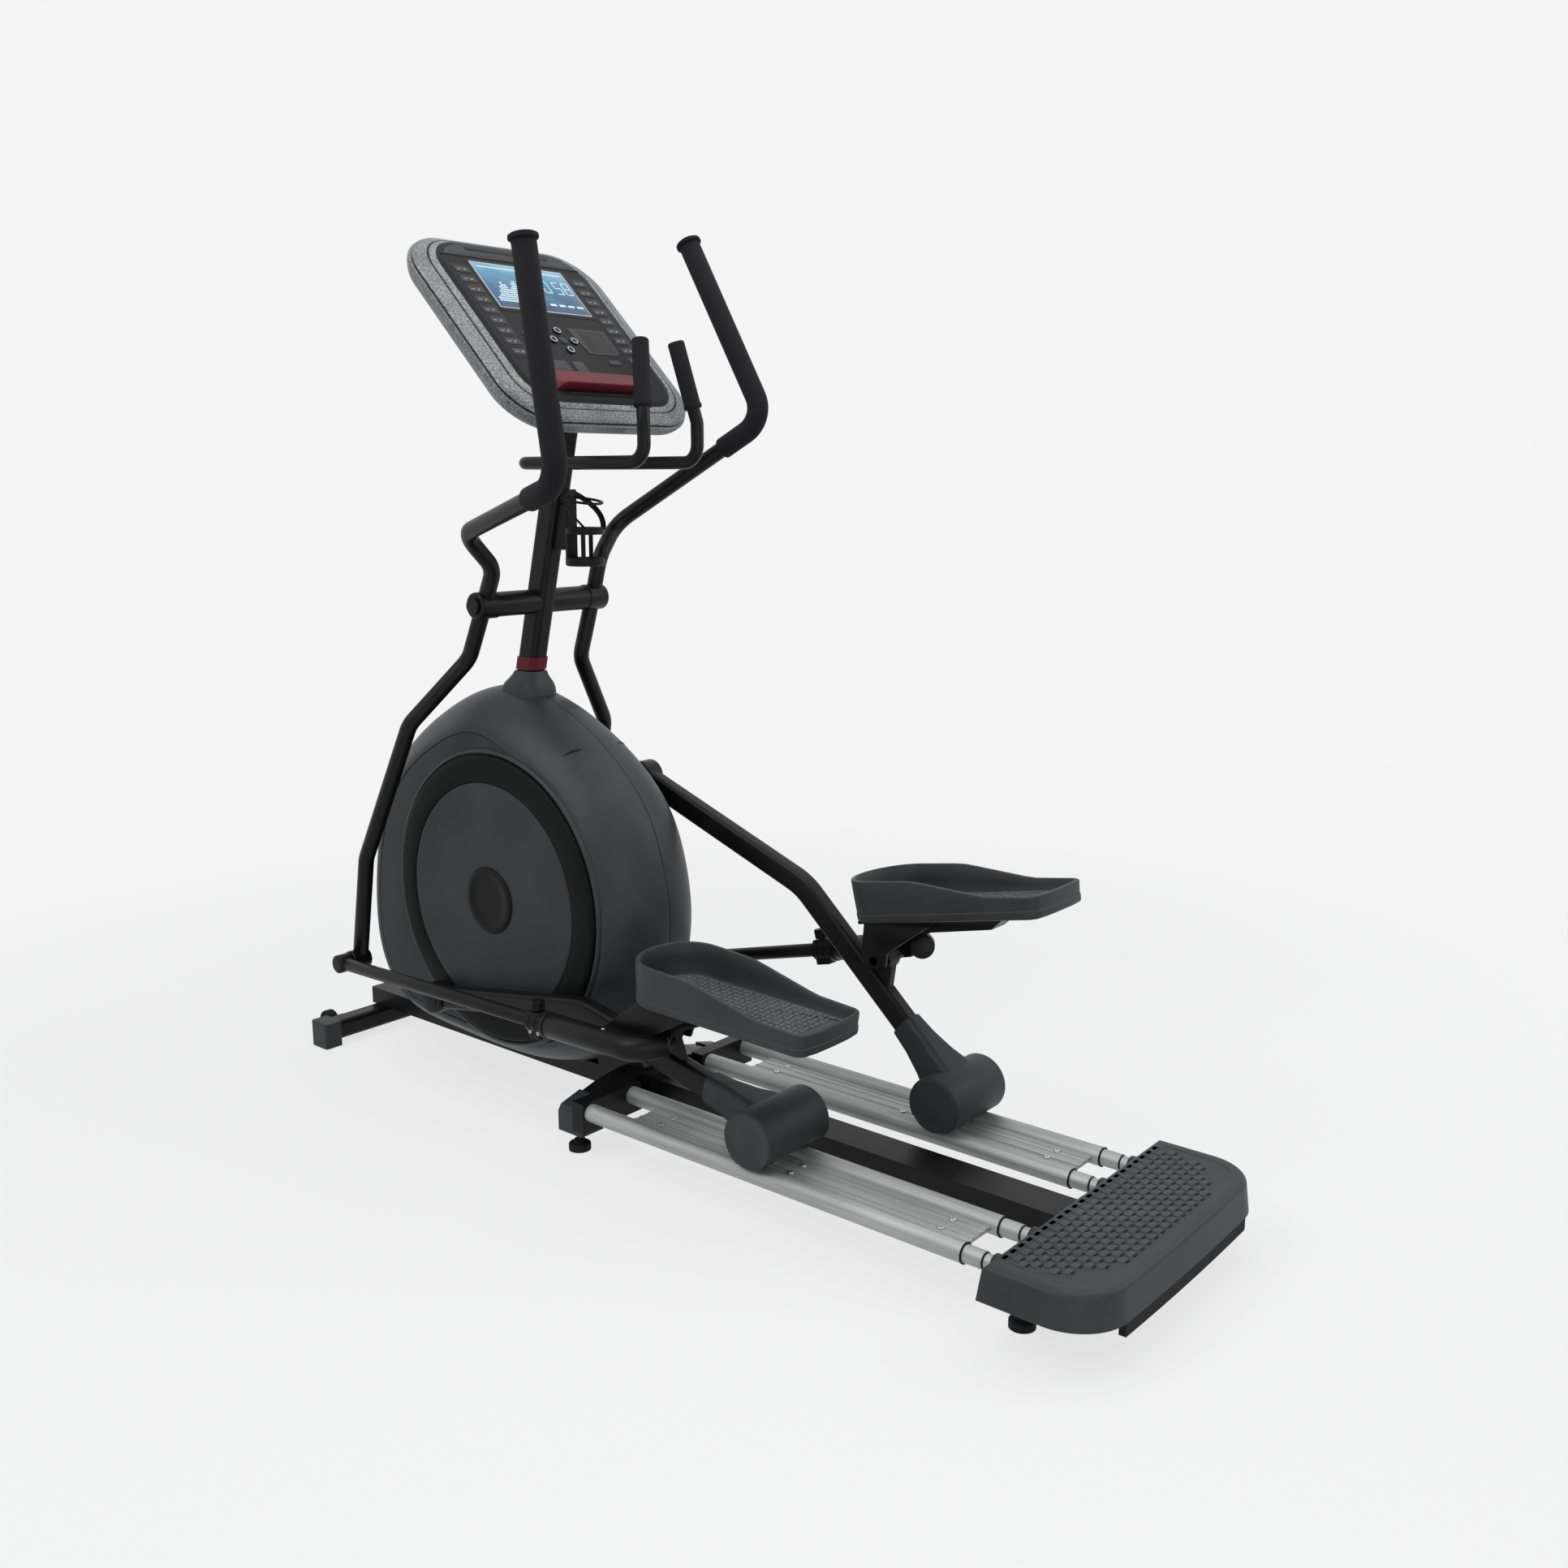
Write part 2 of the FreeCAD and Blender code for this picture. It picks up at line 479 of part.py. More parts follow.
# ------------------------------------------------------------------ rails and step
def rails():
    solids, screws = [], []
    for side in (LEFT, RIGHT):
        pieces = []
        for offset in (-RAIL_SPREAD, RAIL_SPREAD):
            y = side * RAIL_CENTER + offset
            pieces.append(bent_tube([(RAIL_FRONT, y, RAIL_Z), (RAIL_REAR, y, RAIL_Z)], RAIL_TUBE_R, 0,
                                    RAIL_TUBE_R - RAIL_WALL))
            rod = bent_tube([(RAIL_REAR - 4, y, RAIL_Z), (REAR_CROSS_X, y, RAIL_Z)], ROD_R, 0, ROD_R - 3)
            plug = bent_tube([(RAIL_REAR - 4, y, RAIL_Z), (RAIL_REAR, y, RAIL_Z)],
                             RAIL_TUBE_R - RAIL_WALL, 0, ROD_R - 3)
            pieces += [rod, plug]
        reach = RAIL_SPREAD - RAIL_TUBE_R + 1.5
        low, high = side * RAIL_CENTER - reach, side * RAIL_CENTER + reach
        x0, x1 = RAIL_FRONT + WEB_MARGIN, RAIL_REAR - 12
        web = box(x0, x1, low, high, RAIL_Z - WEB_T / 2, RAIL_Z + WEB_T / 2)
        pieces.append(web)
        for x in (x0 + 60, (x0 + x1) / 2, x1 - 60):
            clip = box(x - 32, x + 32, side * RAIL_CENTER - 30, side * RAIL_CENTER + 30,
                       RAIL_Z - WEB_T / 2 - 12, RAIL_Z - WEB_T / 2)
            pieces.append(clip)
            for dy in (-18, 18):
                spot = V(x, side * RAIL_CENTER + dy, RAIL_Z + WEB_T / 2)
                head = Part.makeCylinder(6, 3.5, spot)
                head = head.makeFillet(1.5, [e for e in head.Edges if e.CenterOfMass.z > spot.z + 3])
                screws.append(head.cut(Part.makeCylinder(2.2, 3, spot + V(0, 0, 2))))
        solids.append(fuse(pieces))
    save("rails", *solids)
    save("rail_screws", *screws)


def center_beam():
    """Box beam from the mid cross member to the rear one."""
    half, z0, z1 = CENTER_BEAM_HALF, CENTER_BEAM_Z, CENTER_BEAM_Z + CENTER_BEAM_H
    beam = box(RAIL_FRONT, REAR_CROSS_X, -half, half, z0, z1)
    return beam.cut(box(RAIL_FRONT - 1, REAR_CROSS_X - 3, -half + 3, half - 3, z0 + 3, z1 - 3))


def step_outline(inset, z):
    """Plan outline of the step: straight front, slightly bowed rear with large round corners."""
    x0, x1, half = STEP_FRONT + inset, STEP_REAR - inset, STEP_HALF - inset
    corner = STEP_CORNER - inset
    straight = x1 - STEP_BOW - corner
    cut = corner * (1 - math.sqrt(0.5))
    corner_mid, corner_y = x1 - STEP_BOW - cut, half - cut
    bow_x, bow_y = x1 - STEP_BOW, half - corner
    edges = [
        Part.LineSegment(V(x0, -half, z), V(x0, half, z)).toShape(),
        Part.LineSegment(V(x0, half, z), V(straight, half, z)).toShape(),
        Part.Arc(V(straight, half, z), V(corner_mid, corner_y, z), V(bow_x, bow_y, z)).toShape(),
        Part.Arc(V(bow_x, bow_y, z), V(x1, 0, z), V(bow_x, -bow_y, z)).toShape(),
        Part.Arc(V(bow_x, -bow_y, z), V(corner_mid, -corner_y, z), V(straight, -half, z)).toShape(),
        Part.LineSegment(V(straight, -half, z), V(x0, -half, z)).toShape(),
    ]
    return Part.Wire(edges)


def step():
    def solid(inset, z0, z1, lean):
        low, high = step_outline(inset, z0), step_outline(inset + lean, z1)
        return Part.makeLoft([low, high], True, True)

    lean = STEP_LEAN
    shell = solid(0, STEP_SKIRT, STEP_TOP, lean)
    rim = [e for e in shell.Edges if abs(e.CenterOfMass.z - STEP_TOP) < 0.1]
    shell = shell.makeFillet(STEP_EDGE, rim)
    shell = shell.cut(solid(STEP_WALL, STEP_SKIRT - 1, STEP_TOP - STEP_WALL - 2, lean))
    ribs = [box(STEP_FRONT + 6, STEP_REAR - 40, y - 2, y + 2, STEP_SKIRT + 24, STEP_TOP - STEP_WALL - 1)
            for y in (-70, 70)]
    shell = fuse([shell] + ribs)
    cuts = [box(STEP_FRONT - 5, STEP_FRONT + 25, -CENTER_BEAM_HALF - 1, CENTER_BEAM_HALF + 1,
                STEP_SKIRT - 1, CENTER_BEAM_Z + CENTER_BEAM_H + 1)]
    for side in (LEFT, RIGHT):
        for offset in (-RAIL_SPREAD, RAIL_SPREAD):
            y = side * RAIL_CENTER + offset
            cuts.append(Part.makeCylinder(ROD_R + 1, 40, V(STEP_FRONT - 8, y, RAIL_Z), V(1, 0, 0)))
    x0 = REAR_CROSS_X
    cuts.append(box(x0 - 3, x0 + 63, -REAR_CROSS_HALF - 2, REAR_CROSS_HALF + 2, STEP_SKIRT - 5,
                    REAR_CROSS_Z + 50.5))
    for side in (LEFT, RIGHT):
        for offset in (-RAIL_SPREAD, RAIL_SPREAD):
            y = side * RAIL_CENTER + offset
            nose = V(STEP_FRONT - COLLAR_REACH, y, RAIL_Z)
            shell = shell.fuse(Part.makeCylinder(ROD_R + 5, COLLAR_REACH + STEP_WALL, nose, V(1, 0, 0)))
            cuts.append(Part.makeCylinder(ROD_R + SLIP, 90, nose - V(1, 0, 0), V(1, 0, 0)))
    for cut in cuts:
        shell = shell.cut(cut)
    save("step_platform", max(shell.removeSplitter().Solids, key=lambda s: s.Volume))
    # Bumper strip under the rear skirt, its lip tucked up inside the wall
    inside = 1 + BUMPER_T
    band = solid(1, BUMPER_Z, STEP_SKIRT - GAP, 0)
    lip = solid(STEP_WALL + GAP, STEP_SKIRT - 1, STEP_SKIRT + 14, 2)
    band = band.fuse(lip).cut(solid(inside, BUMPER_Z - 1, STEP_SKIRT + 15, 0))
    band = band.common(box(STEP_REAR - 95, STEP_REAR + 9, -BUMPER_HALF, BUMPER_HALF, 0, 200))
    save("step_bumper", max(band.Solids, key=lambda s: s.Volume))
    # Steel cross member inside the step; rails, beam and rear feet fasten to it
    half, z0 = REAR_CROSS_HALF, REAR_CROSS_Z
    cross = box(x0 - 2, x0 + 60, -half, half, z0, z0 + 34)
    bore = box(x0 + 2, x0 + 56, -half - 1, half + 1, z0 + 4, z0 + 30)
    wall = box(x0 - 2, x0 + 2, -half, half, z0, z0 + 50)
    cross = fuse([cross.cut(bore), wall])
    foot_x = x0 + REAR_FOOT_INSET
    for side in (LEFT, RIGHT):
        cross = cross.cut(Part.makeCylinder(STEM_R + RUNNING, 20, V(foot_x, side * REAR_FOOT_Y, z0 - 10)))
        for offset in (-RAIL_SPREAD, RAIL_SPREAD):
            y = side * RAIL_CENTER + offset
            cross = cross.cut(Part.makeCylinder(ROD_R + SLIP, 12, V(x0 - 6, y, RAIL_Z), V(1, 0, 0)))
    save("rear_frame", fuse([center_beam(), cross]))
    return foot_x


# ------------------------------------------------------------------ shroud
def shroud_wire(scale, y):
    cx, cz = SHROUD_CENTER
    pts = [V(cx + (x - cx) * scale, y, cz + (z - cz) * scale) for x, z in SHROUD_OUTLINE]
    curve = Part.BSplineCurve()
    curve.interpolate(pts, PeriodicFlag=True)
    return Part.Wire(curve.toShape())


def shroud_half(side, inset):
    """One half of the egg, from the middle plane out to its flat side."""
    half = SHROUD_HALF - inset
    reach = 1 - inset / 390.0
    steps = [(0.0, 1.0), (0.30, 0.992), (0.58, 0.962), (0.82, 0.908), (1.0, SHROUD_SIDE_SCALE)]
    wires = [shroud_wire(scale * reach, side * half * part) for part, scale in steps]
    return Part.makeLoft(wires, True, False)


def shroud():
    for side in (LEFT, RIGHT):
        shell = shroud_half(side, 0).cut(shroud_half(side, SHROUD_WALL))
        cuts = [rod_y(CRANK, 40, side * 60, side * (SHROUD_HALF + 20)),
                box(-1100, -820, -BEAM_HALF_W - 3, BEAM_HALF_W + 3, 0, BEAM_Z + BEAM_H + 3),
                box(-830, 0, -BEAM_HALF_W - 3, BEAM_HALF_W + 3, 0, BEAM_Z + BEAM_H + 3),
                box(CROSS_X - 120, 0, -50, 50, 0, 182),
                post_prism(780, 1000, POST_DX + 26, POST_DY + 26, POST_ROUND + 13)]
        for cut in cuts:
            shell = shell.cut(cut)
        shell = max(shell.Solids, key=lambda s: s.Volume)
        save("shroud_" + SIDE_NAMES[side], shell)
    low, high = COLLAR_BOTTOM, COLLAR_TOP
    outer = Part.makeLoft([collar_wire(low, 24), collar_wire(high, 5)], True, True)
    outer = outer.cut(post_prism(low - 10, high + 10, POST_DX + 2, POST_DY + 2, POST_ROUND + 1))
    seat = shroud_half(RIGHT, -GAP).fuse(shroud_half(LEFT, -GAP))
    save("shroud_collar", max(outer.cut(seat).Solids, key=lambda s: s.Volume))


def collar_wire(z, margin):
    wire = rounded_rect(POST_DX + 2 * margin, POST_DY + 2 * margin, POST_ROUND + margin * 0.8)
    wire.translate(V(post_x(z), 0, z))
    return wire


# ------------------------------------------------------------------ crank and drive
def crank_set():
    solids = [rod_y(CRANK, CRANK_SHAFT_R, -DISC_OUT + 4, DISC_OUT - 4)]
    discs = []
    for side in (LEFT, RIGHT):
        pose = REST[side]
        inner, outer = DISC_IN + 1, DISC_IN + 1 + CRANK_BAR_T
        bar = Part.makeBox(CRANK_RADIUS, CRANK_BAR_T, 30, V(0, min(side * inner, side * outer), -15))
        bar = place(bar, CRANK, pose["crank"])
        boss = rod_y(CRANK, 30, side * inner, side * outer)
        tip = rod_y(pose["pin"], CRANK_PIN_R + 4, side * inner, side * outer)
        pin = rod_y(pose["pin"], CRANK_PIN_R, side * inner, side * (ARM_IN - PIN_END_GAP))
        arm = fuse([bar, boss, tip, pin])
        solids.append(arm.cut(rod_y(CRANK, CRANK_SHAFT_R, side * inner, side * (outer + 20))))
        face_in = DISC_OUT - DISC_FACE_T
        disc = rod_y(CRANK, DISC_RADIUS, side * DISC_IN, side * DISC_OUT)
        outside = [e for e in disc.Edges if abs(e.CenterOfMass.y - side * DISC_OUT) < 0.1
                   and e.Length > 2 * math.pi * DISC_RADIUS - 1]
        disc = disc.makeFillet(4, outside)
        disc = disc.cut(rod_y(CRANK, DISC_RADIUS - 4, side * (DISC_IN - 1), side * face_in))
        groove = DISC_RADIUS - DISC_GROOVE_IN
        disc = disc.cut(ring_y(CRANK, groove, groove - 2, side * (DISC_OUT - 1), side * (DISC_OUT + 1)))
        disc = disc.cut(rod_y(pose["pin"], CRANK_PIN_R + 0.5, side * (face_in - 1), side * (DISC_OUT + 1)))
        cap = rod_y(CRANK, HUB_CAP_RADIUS, side * DISC_OUT, side * (DISC_OUT + HUB_CAP_HEIGHT))
        rim = [e for e in cap.Edges if abs(e.CenterOfMass.y - side * (DISC_OUT + HUB_CAP_HEIGHT)) < 0.1]
        discs += [disc, cap.makeFillet(3, rim)]
    save("crank_set", *solids)
    save("crank_discs", *discs)


def drive():
    y0, y1 = PULLEY_PLANE - PULLEY_T / 2, PULLEY_PLANE + PULLEY_T / 2
    pulley = rod_y(CRANK, PULLEY_R, y0, y1)
    pulley = pulley.cut(ring_y(CRANK, PULLEY_R - 12, 34, y0 - 1, y0 + 8))
    pulley = pulley.cut(ring_y(CRANK, PULLEY_R - 12, 34, y1 - 8, y1 + 1))
    for k in range(6):
        dx, dz = turn((88, 0), 60 * k)
        pulley = pulley.cut(rod_y((CRANK[0] + dx, CRANK[1] + dz), 26, y0 - 1, y1 + 1))
    save("drive_pulley", pulley.cut(rod_y(CRANK, CRANK_SHAFT_R, y0 - 1, y1 + 1)))
    wheel = rod_y(FLY_CENTER, FLY_R, FLY_IN, FLY_OUT)
    wheel = wheel.cut(ring_y(FLY_CENTER, FLY_R - 34, 26, FLY_IN - 1, FLY_IN + 13))
    wheel = wheel.cut(ring_y(FLY_CENTER, FLY_R - 34, 26, FLY_OUT - 13, FLY_OUT + 1))
    shaft = rod_y(FLY_CENTER, FLY_SHAFT_R, PULLEY_PLANE - PULLEY_T / 2, FLY_OUT + 14)
    small = rod_y(FLY_CENTER, FLY_PULLEY_R, y0, y1)
    save("flywheel", fuse([wheel, shaft, small]))
    # Belt: a closed loop around both pulleys
    dx, dz = FLY_CENTER[0] - CRANK[0], FLY_CENTER[1] - CRANK[1]
    span = math.hypot(dx, dz)
    heading = math.degrees(math.atan2(dz, dx))

    def loop(extra):
        big, little = PULLEY_R + extra, FLY_PULLEY_R + extra
        lean = math.degrees(math.acos((big - little) / span))
        points = []
        for sign in (1, -1):
            for radius, x in ((big, 0.0), (little, span)):
                px, pz = turn((radius, 0), sign * lean)
                points.append((x + px, pz))
        a, b, c, d = (V(x, 0, z) for x, z in points)
        edges = [Part.LineSegment(a, b).toShape(), Part.Arc(b, V(span + little, 0, 0), d).toShape(),
                 Part.LineSegment(d, c).toShape(), Part.Arc(c, V(-big, 0, 0), a).toShape()]
        return Part.Face(Part.Wire(edges)).extrude(V(0, BELT_W, 0))

    belt = loop(GAP + BELT_T).cut(loop(GAP))
    belt.translate(V(0, PULLEY_PLANE - BELT_W / 2, 0))
    save("drive_belt", place(belt, CRANK, heading))
    # Eddy-current brake shoe under the flywheel, on two legs from the fork's foot
    fx, fz = FLY_CENTER
    shoe = ring_y(FLY_CENTER, FLY_R + 26, FLY_R + 4, FLY_IN + 2, FLY_OUT - 2)
    shoe = shoe.common(box(fx - 66, fx + 66, FLY_IN, FLY_OUT, fz - 200, fz - 60))
    base = box(fx - 20, fx + 20, FLY_IN + 8, FLY_OUT - 8, BRAKE_SHELF_Z, fz - FLY_R - 14)
    save("brake_coil", fuse([shoe, base]))


# ------------------------------------------------------------------ one side's moving parts
def arm_profile(half, front, rear):
    """Side outline of the bent arm bar, offset to both sides of its centre line."""
    p0, p1, p2 = V(front, 0, 0), V(ARM_BEND[0], 0, ARM_BEND[1]), V(ARM_LENGTH, 0, 0)
    run = (p1 - V(0, 0, 0)).normalize()
    p0 = run * front
    leave = (p2 - p1).normalize()
    p2 = p2 - leave * rear
    angle = run.getAngle(leave)
    back = ARM_BEND_R * math.tan(angle / 2)
    up1, up2 = V(-run.z, 0, run.x), V(-leave.z, 0, leave.x)
    center = p1 - run * back - up1 * ARM_BEND_R
    mid_dir = (up1 + up2).normalize()
    edges = []
    a, b = p0 + up1 * half, p1 - run * back + up1 * half
    c, d = p1 + leave * back + up2 * half, p2 + up2 * half
    edges.append(Part.LineSegment(a, b).toShape())
    edges.append(Part.Arc(b, center + mid_dir * (ARM_BEND_R + half), c).toShape())
    edges.append(Part.LineSegment(c, d).toShape())
    e, f = p2 - up2 * half, p1 + leave * back - up2 * half
    g, h = p1 - run * back - up1 * half, p0 - up1 * half
    edges.append(Part.LineSegment(d, e).toShape())
    edges.append(Part.LineSegment(e, f).toShape())
    edges.append(Part.Arc(f, center + mid_dir * (ARM_BEND_R - half), g).toShape())
    edges.append(Part.LineSegment(g, h).toShape())
    edges.append(Part.LineSegment(h, a).toShape())
    return Part.Face(Part.Wire(edges))


def arm_bar(half_h, y_in, y_out, front, rear):
    low, high = min(y_in, y_out), max(y_in, y_out)
    face = arm_profile(half_h, front, rear)
    face.translate(V(0, low, 0))
    return face.extrude(V(0, high - low, 0))


def pedal_arm(side):
    pose = REST[side]
    y_in, y_out = side * ARM_IN, side * ARM_OUT
    bar = arm_bar(ARM_H / 2, y_in, y_out, 10, 14)
    long_edges = [e for e in bar.Edges if e.Length > 100 and abs(abs(e.CenterOfMass.y) -
                  (ARM_IN + ARM_OUT) / 2) > 5]
    bar = bar.makeFillet(7, long_edges)
    inner = arm_bar(ARM_H / 2 - ARM_WALL, y_in + side * ARM_WALL, y_out - side * ARM_WALL, 60, 70)
    bar = bar.cut(inner)
    hub = rod_y((0, 0), ARM_HUB_R, y_in, side * ARM_HUB_OUT)
    rim = [e for e in hub.Edges if abs(e.CenterOfMass.y - side * ARM_HUB_OUT) < 0.1]
    hub = hub.makeFillet(5, rim)
    end = rod_y((ARM_LENGTH, 0), 24, y_in, y_out)
    # Gusset and boss that carry the pedal pivot above the bar
    boss = rod_y(PEDAL_PIVOT, PIVOT_BOSS_R, y_in, y_out)
    px, pz = PEDAL_PIVOT
    gusset = prism_y([(px - 62, pz - 62), (px - 20, pz + 12), (px + 20, pz + 12), (px + 62, pz - 84)],
                     side * (ARM_IN + 8), side * (ARM_OUT - 8))
    solid = fuse([bar, hub, end, boss, gusset])
    for spot, radius in (((ARM_LENGTH, 0), AXLE_R), (PEDAL_PIVOT, PIVOT_SHAFT_R)):
        solid = solid.cut(rod_y(spot, radius + RUNNING, side * (ARM_IN - 5), side * (ARM_OUT + 5)))
    save("pedal_arm_" + SIDE_NAMES[side], place(solid, pose["pin"], pose["arm"]))


def roller_edge_radius():
    groove = RAIL_TUBE_R + GAP
    return ROLLER_R + groove - math.sqrt(groove ** 2 - ROLLER_HALF_W ** 2)


def roller_cover(side):
    """Barrel over both rollers with a neck that boots the arm, open underneath."""
    pose = REST[side]
    center = (ARM_LENGTH, 0)
    inner = roller_edge_radius() + COVER_GAP
    outer = inner + COVER_WALL
    y_in, y_out = side * COVER_IN, side * COVER_OUT
    barrel = rod_y(center, outer, y_in, y_out)
    ends = [e for e in barrel.Edges if e.Length > 2 * math.pi * outer - 1]
    barrel = barrel.makeFillet(3, ends)
    middle = (y_in + y_out) / 2
    lean = math.degrees(math.atan2(-ARM_BEND[1], ARM_LENGTH - ARM_BEND[0]))
    neck = Part.makeLoft([neck_wire(-150, ARM_H + 8, 42, 9), neck_wire(-10, 86, 100, 14)], True, True)
    neck = place(neck, (ARM_LENGTH, 0), lean)
    neck.translate(V(0, middle, 0))
    shell = barrel.fuse(neck)
    shell = shell.cut(rod_y(center, inner, y_in + side * 3, y_out - side * 3))
    shell = shell.cut(arm_bar(ARM_H / 2 + 1.5, side * (ARM_IN - 1.5), side * (ARM_OUT + 1.5), 600, 0))
    # Bottom window, wide enough for the arm's whole sweep over the rails
    mid_sweep = (ARM_SWEEP[0] + ARM_SWEEP[1]) / 2
    reach = math.degrees(math.acos((ROLLER_R + GAP) / outer)) + (ARM_SWEEP[1] - ARM_SWEEP[0]) / 2 + 7
    down = -90 - mid_sweep
    near, far = turn((120, 0), down - reach), turn((120, 0), down + reach)
    mid = turn((150, 0), down)
    wedge = prism_y([(0, 0), near, mid, far], y_in + side * 3.2, y_out - side * 3.2)
    wedge.translate(V(ARM_LENGTH, 0, 0))
    shell = shell.cut(wedge)
    shell = shell.cut(rod_y(center, AXLE_R + 0.5, side * (COVER_IN - 1), side * (ARM_IN)))
    shell = shell.cut(rod_y(center, AXLE_R + 0.5, side * ARM_OUT, side * (COVER_OUT - 2.5)))
    shell = max(shell.Solids, key=lambda s: s.Volume)
    save("roller_cover_" + SIDE_NAMES[side], place(shell, pose["pin"], pose["arm"]))


def neck_wire(x, height, width, radius):
    wire = rounded_rect(width, height, radius)
    wire.rotate(V(0, 0, 0), V(1, 0, 0), 90)
    wire.rotate(V(0, 0, 0), V(0, 0, 1), 90)
    wire.translate(V(x, 0, 0))
    return wire


def rollers(side):
    pose = REST[side]
    center = pose["axle"]
    axle_in, axle_out = COVER_IN + 6, COVER_OUT - 5
    save("carriage_axle_" + SIDE_NAMES[side], rod_y(center, AXLE_R, side * axle_in, side * axle_out))
    wheels = []
    for offset in (-RAIL_SPREAD, RAIL_SPREAD):
        y = side * RAIL_CENTER + offset
        groove = RAIL_TUBE_R + GAP
        edge = roller_edge_radius()
        deep = V(0, y, ROLLER_R)
        low, high, bore = y - ROLLER_HALF_W, y + ROLLER_HALF_W, AXLE_R + RUNNING
        edges = [
            Part.LineSegment(V(0, low, bore), V(0, low, edge)).toShape(),
            Part.Arc(V(0, low, edge), deep, V(0, high, edge)).toShape(),
            Part.LineSegment(V(0, high, edge), V(0, high, bore)).toShape(),
            Part.LineSegment(V(0, high, bore), V(0, low, bore)).toShape(),
        ]
        wheel = Part.Face(Part.Wire(edges)).revolve(V(0, 0, 0), V(0, 1, 0), 360)
        wheel = Part.Solid(wheel.Shells[0]) if not wheel.Solids else wheel.Solids[0]
        wheel.translate(V(center[0], 0, center[1]))
        wheels.append(wheel)
    save("rollers_" + SIDE_NAMES[side], *wheels)


def pedal_outline(inset, z):
    """Plan outline of the footplate: blunt round front, square rear with round corners."""
    x0, x1 = inset, PEDAL_LENGTH - inset
    y0, y1 = PEDAL_IN + inset, PEDAL_OUT - inset
    mid = (y0 + y1) / 2
    nose, tail = PEDAL_NOSE - inset, PEDAL_TAIL - inset * 0.6
    k = tail * (1 - math.sqrt(0.5))
    pinch = PEDAL_PINCH
    edges = [
        Part.Arc(V(x0 + nose, y0, z), V(x0, mid, z), V(x0 + nose, y1, z)).toShape(),
        Part.LineSegment(V(x0 + nose, y1, z), V(x1 - tail, y1 - pinch, z)).toShape(),
        Part.Arc(V(x1 - tail, y1 - pinch, z), V(x1 - k, y1 - pinch - k, z),
                 V(x1, y1 - pinch - tail, z)).toShape(),
        Part.LineSegment(V(x1, y1 - pinch - tail, z), V(x1, y0 + pinch + tail, z)).toShape(),
        Part.Arc(V(x1, y0 + pinch + tail, z), V(x1 - k, y0 + pinch + k, z),
                 V(x1 - tail, y0 + pinch, z)).toShape(),
        Part.LineSegment(V(x1 - tail, y0 + pinch, z), V(x0 + nose, y0, z)).toShape(),
    ]
    return Part.Face(Part.Wire(edges))


def foot_pedal(side):
    """Footplate in its own frame, then hung on the link's pivot frame."""
    pose = REST[side]
    body = pedal_outline(0, 0).extrude(V(0, 0, PEDAL_RIM_FRONT))
    top = [(-20, PEDAL_RIM_FRONT), (PEDAL_LENGTH * 0.42, PEDAL_RIM_FRONT - 6),
           (PEDAL_LENGTH * 0.74, PEDAL_RIM_REAR + 4), (PEDAL_LENGTH + 20, PEDAL_RIM_REAR),
           (PEDAL_LENGTH + 20, PEDAL_RIM_FRONT + 30), (-20, PEDAL_RIM_FRONT + 30)]
    body = body.cut(prism_y(top, 0, 400))
    body = body.cut(pedal_outline(PEDAL_WALL, PEDAL_FLOOR).extrude(V(0, 0, 100)))
    tray = pedal_outline(PEDAL_WALL + 12, PEDAL_FLOOR - 1).extrude(V(0, 0, 10))
    body = body.cut(tray)
    mat = pedal_outline(PEDAL_WALL + 12.5, PEDAL_FLOOR - 1).extrude(V(0, 0, MAT_T))

    def hang(shape):
        local = shape.copy() if side == RIGHT else mirrored(shape)
        tilted = place(local, (PEDAL_FRONT, PEDAL_BASE), PEDAL_TILT)
        return place(tilted, pose["pivot"], pose["link"])

    save("foot_pedal_" + SIDE_NAMES[side], hang(body))
    save("pedal_mat_" + SIDE_NAMES[side], hang(mat))


def pedal_frame(side):
    """Steel carrier: sleeve tube, pivot shaft, two cheeks and the plate under the footplate."""
    pose = REST[side]
    y = side * LINK_PLANE
    sleeve = bent_tube([(-SLEEVE_LENGTH, y, 0), (34, y, 0)], SLEEVE_R, 0)
    bore = bent_tube([(-SLEEVE_LENGTH - 1, y, 0), (-SLEEVE_LENGTH + LINK_OVERLAP + 20, y, 0)],
                     LINK_R + RUNNING, 0)
    relief = bent_tube([(-SLEEVE_LENGTH + LINK_OVERLAP + 20, y, 0), (-24, y, 0)], SLEEVE_R - 3, 0)
    shaft = rod_y((0, 0), PIVOT_SHAFT_R, side * 128, y)
    spacer = rod_y((0, 0), 15, side * (ARM_OUT + 3), side * (LINK_PLANE - 10))

    def under(x):
        """Height of the footplate's underside above the pivot."""
        return PEDAL_BASE + (x - PEDAL_FRONT) * math.tan(math.radians(PEDAL_TILT)) - SLIP

    front, rear, seat = PEDAL_FRONT + 22, PEDAL_FRONT + 330, 6
    deck = prism_y([(front, under(front) - seat), (front, under(front)), (rear, under(rear)),
                    (rear, under(rear) - seat)], side * 112, side * 250)
    cheek = [(-24, -14), (24, -14), (34, 12), (170, under(170) - 4), (front + 2, under(front) - 4),
             (-24, 20)]
    inner = prism_y(cheek, side * 128, side * 136)
    outer = prism_y(cheek, side * 214, side * 222)
    wing = prism_y([(-90, 12), (20, 12), (130, under(130) - 4), (front + 2, under(front) - 4)],
                   side * 244, side * 250)
    bridge = prism_y([(-90, 12), (20, 12), (34, 20), (-80, 20)], side * 244, side * (LINK_PLANE - 4))
    solid = fuse([sleeve.cut(relief), spacer, shaft, deck, inner, outer, wing, bridge]).cut(bore)
    save("pedal_frame_" + SIDE_NAMES[side], place(solid, pose["pivot"], pose["link"]))


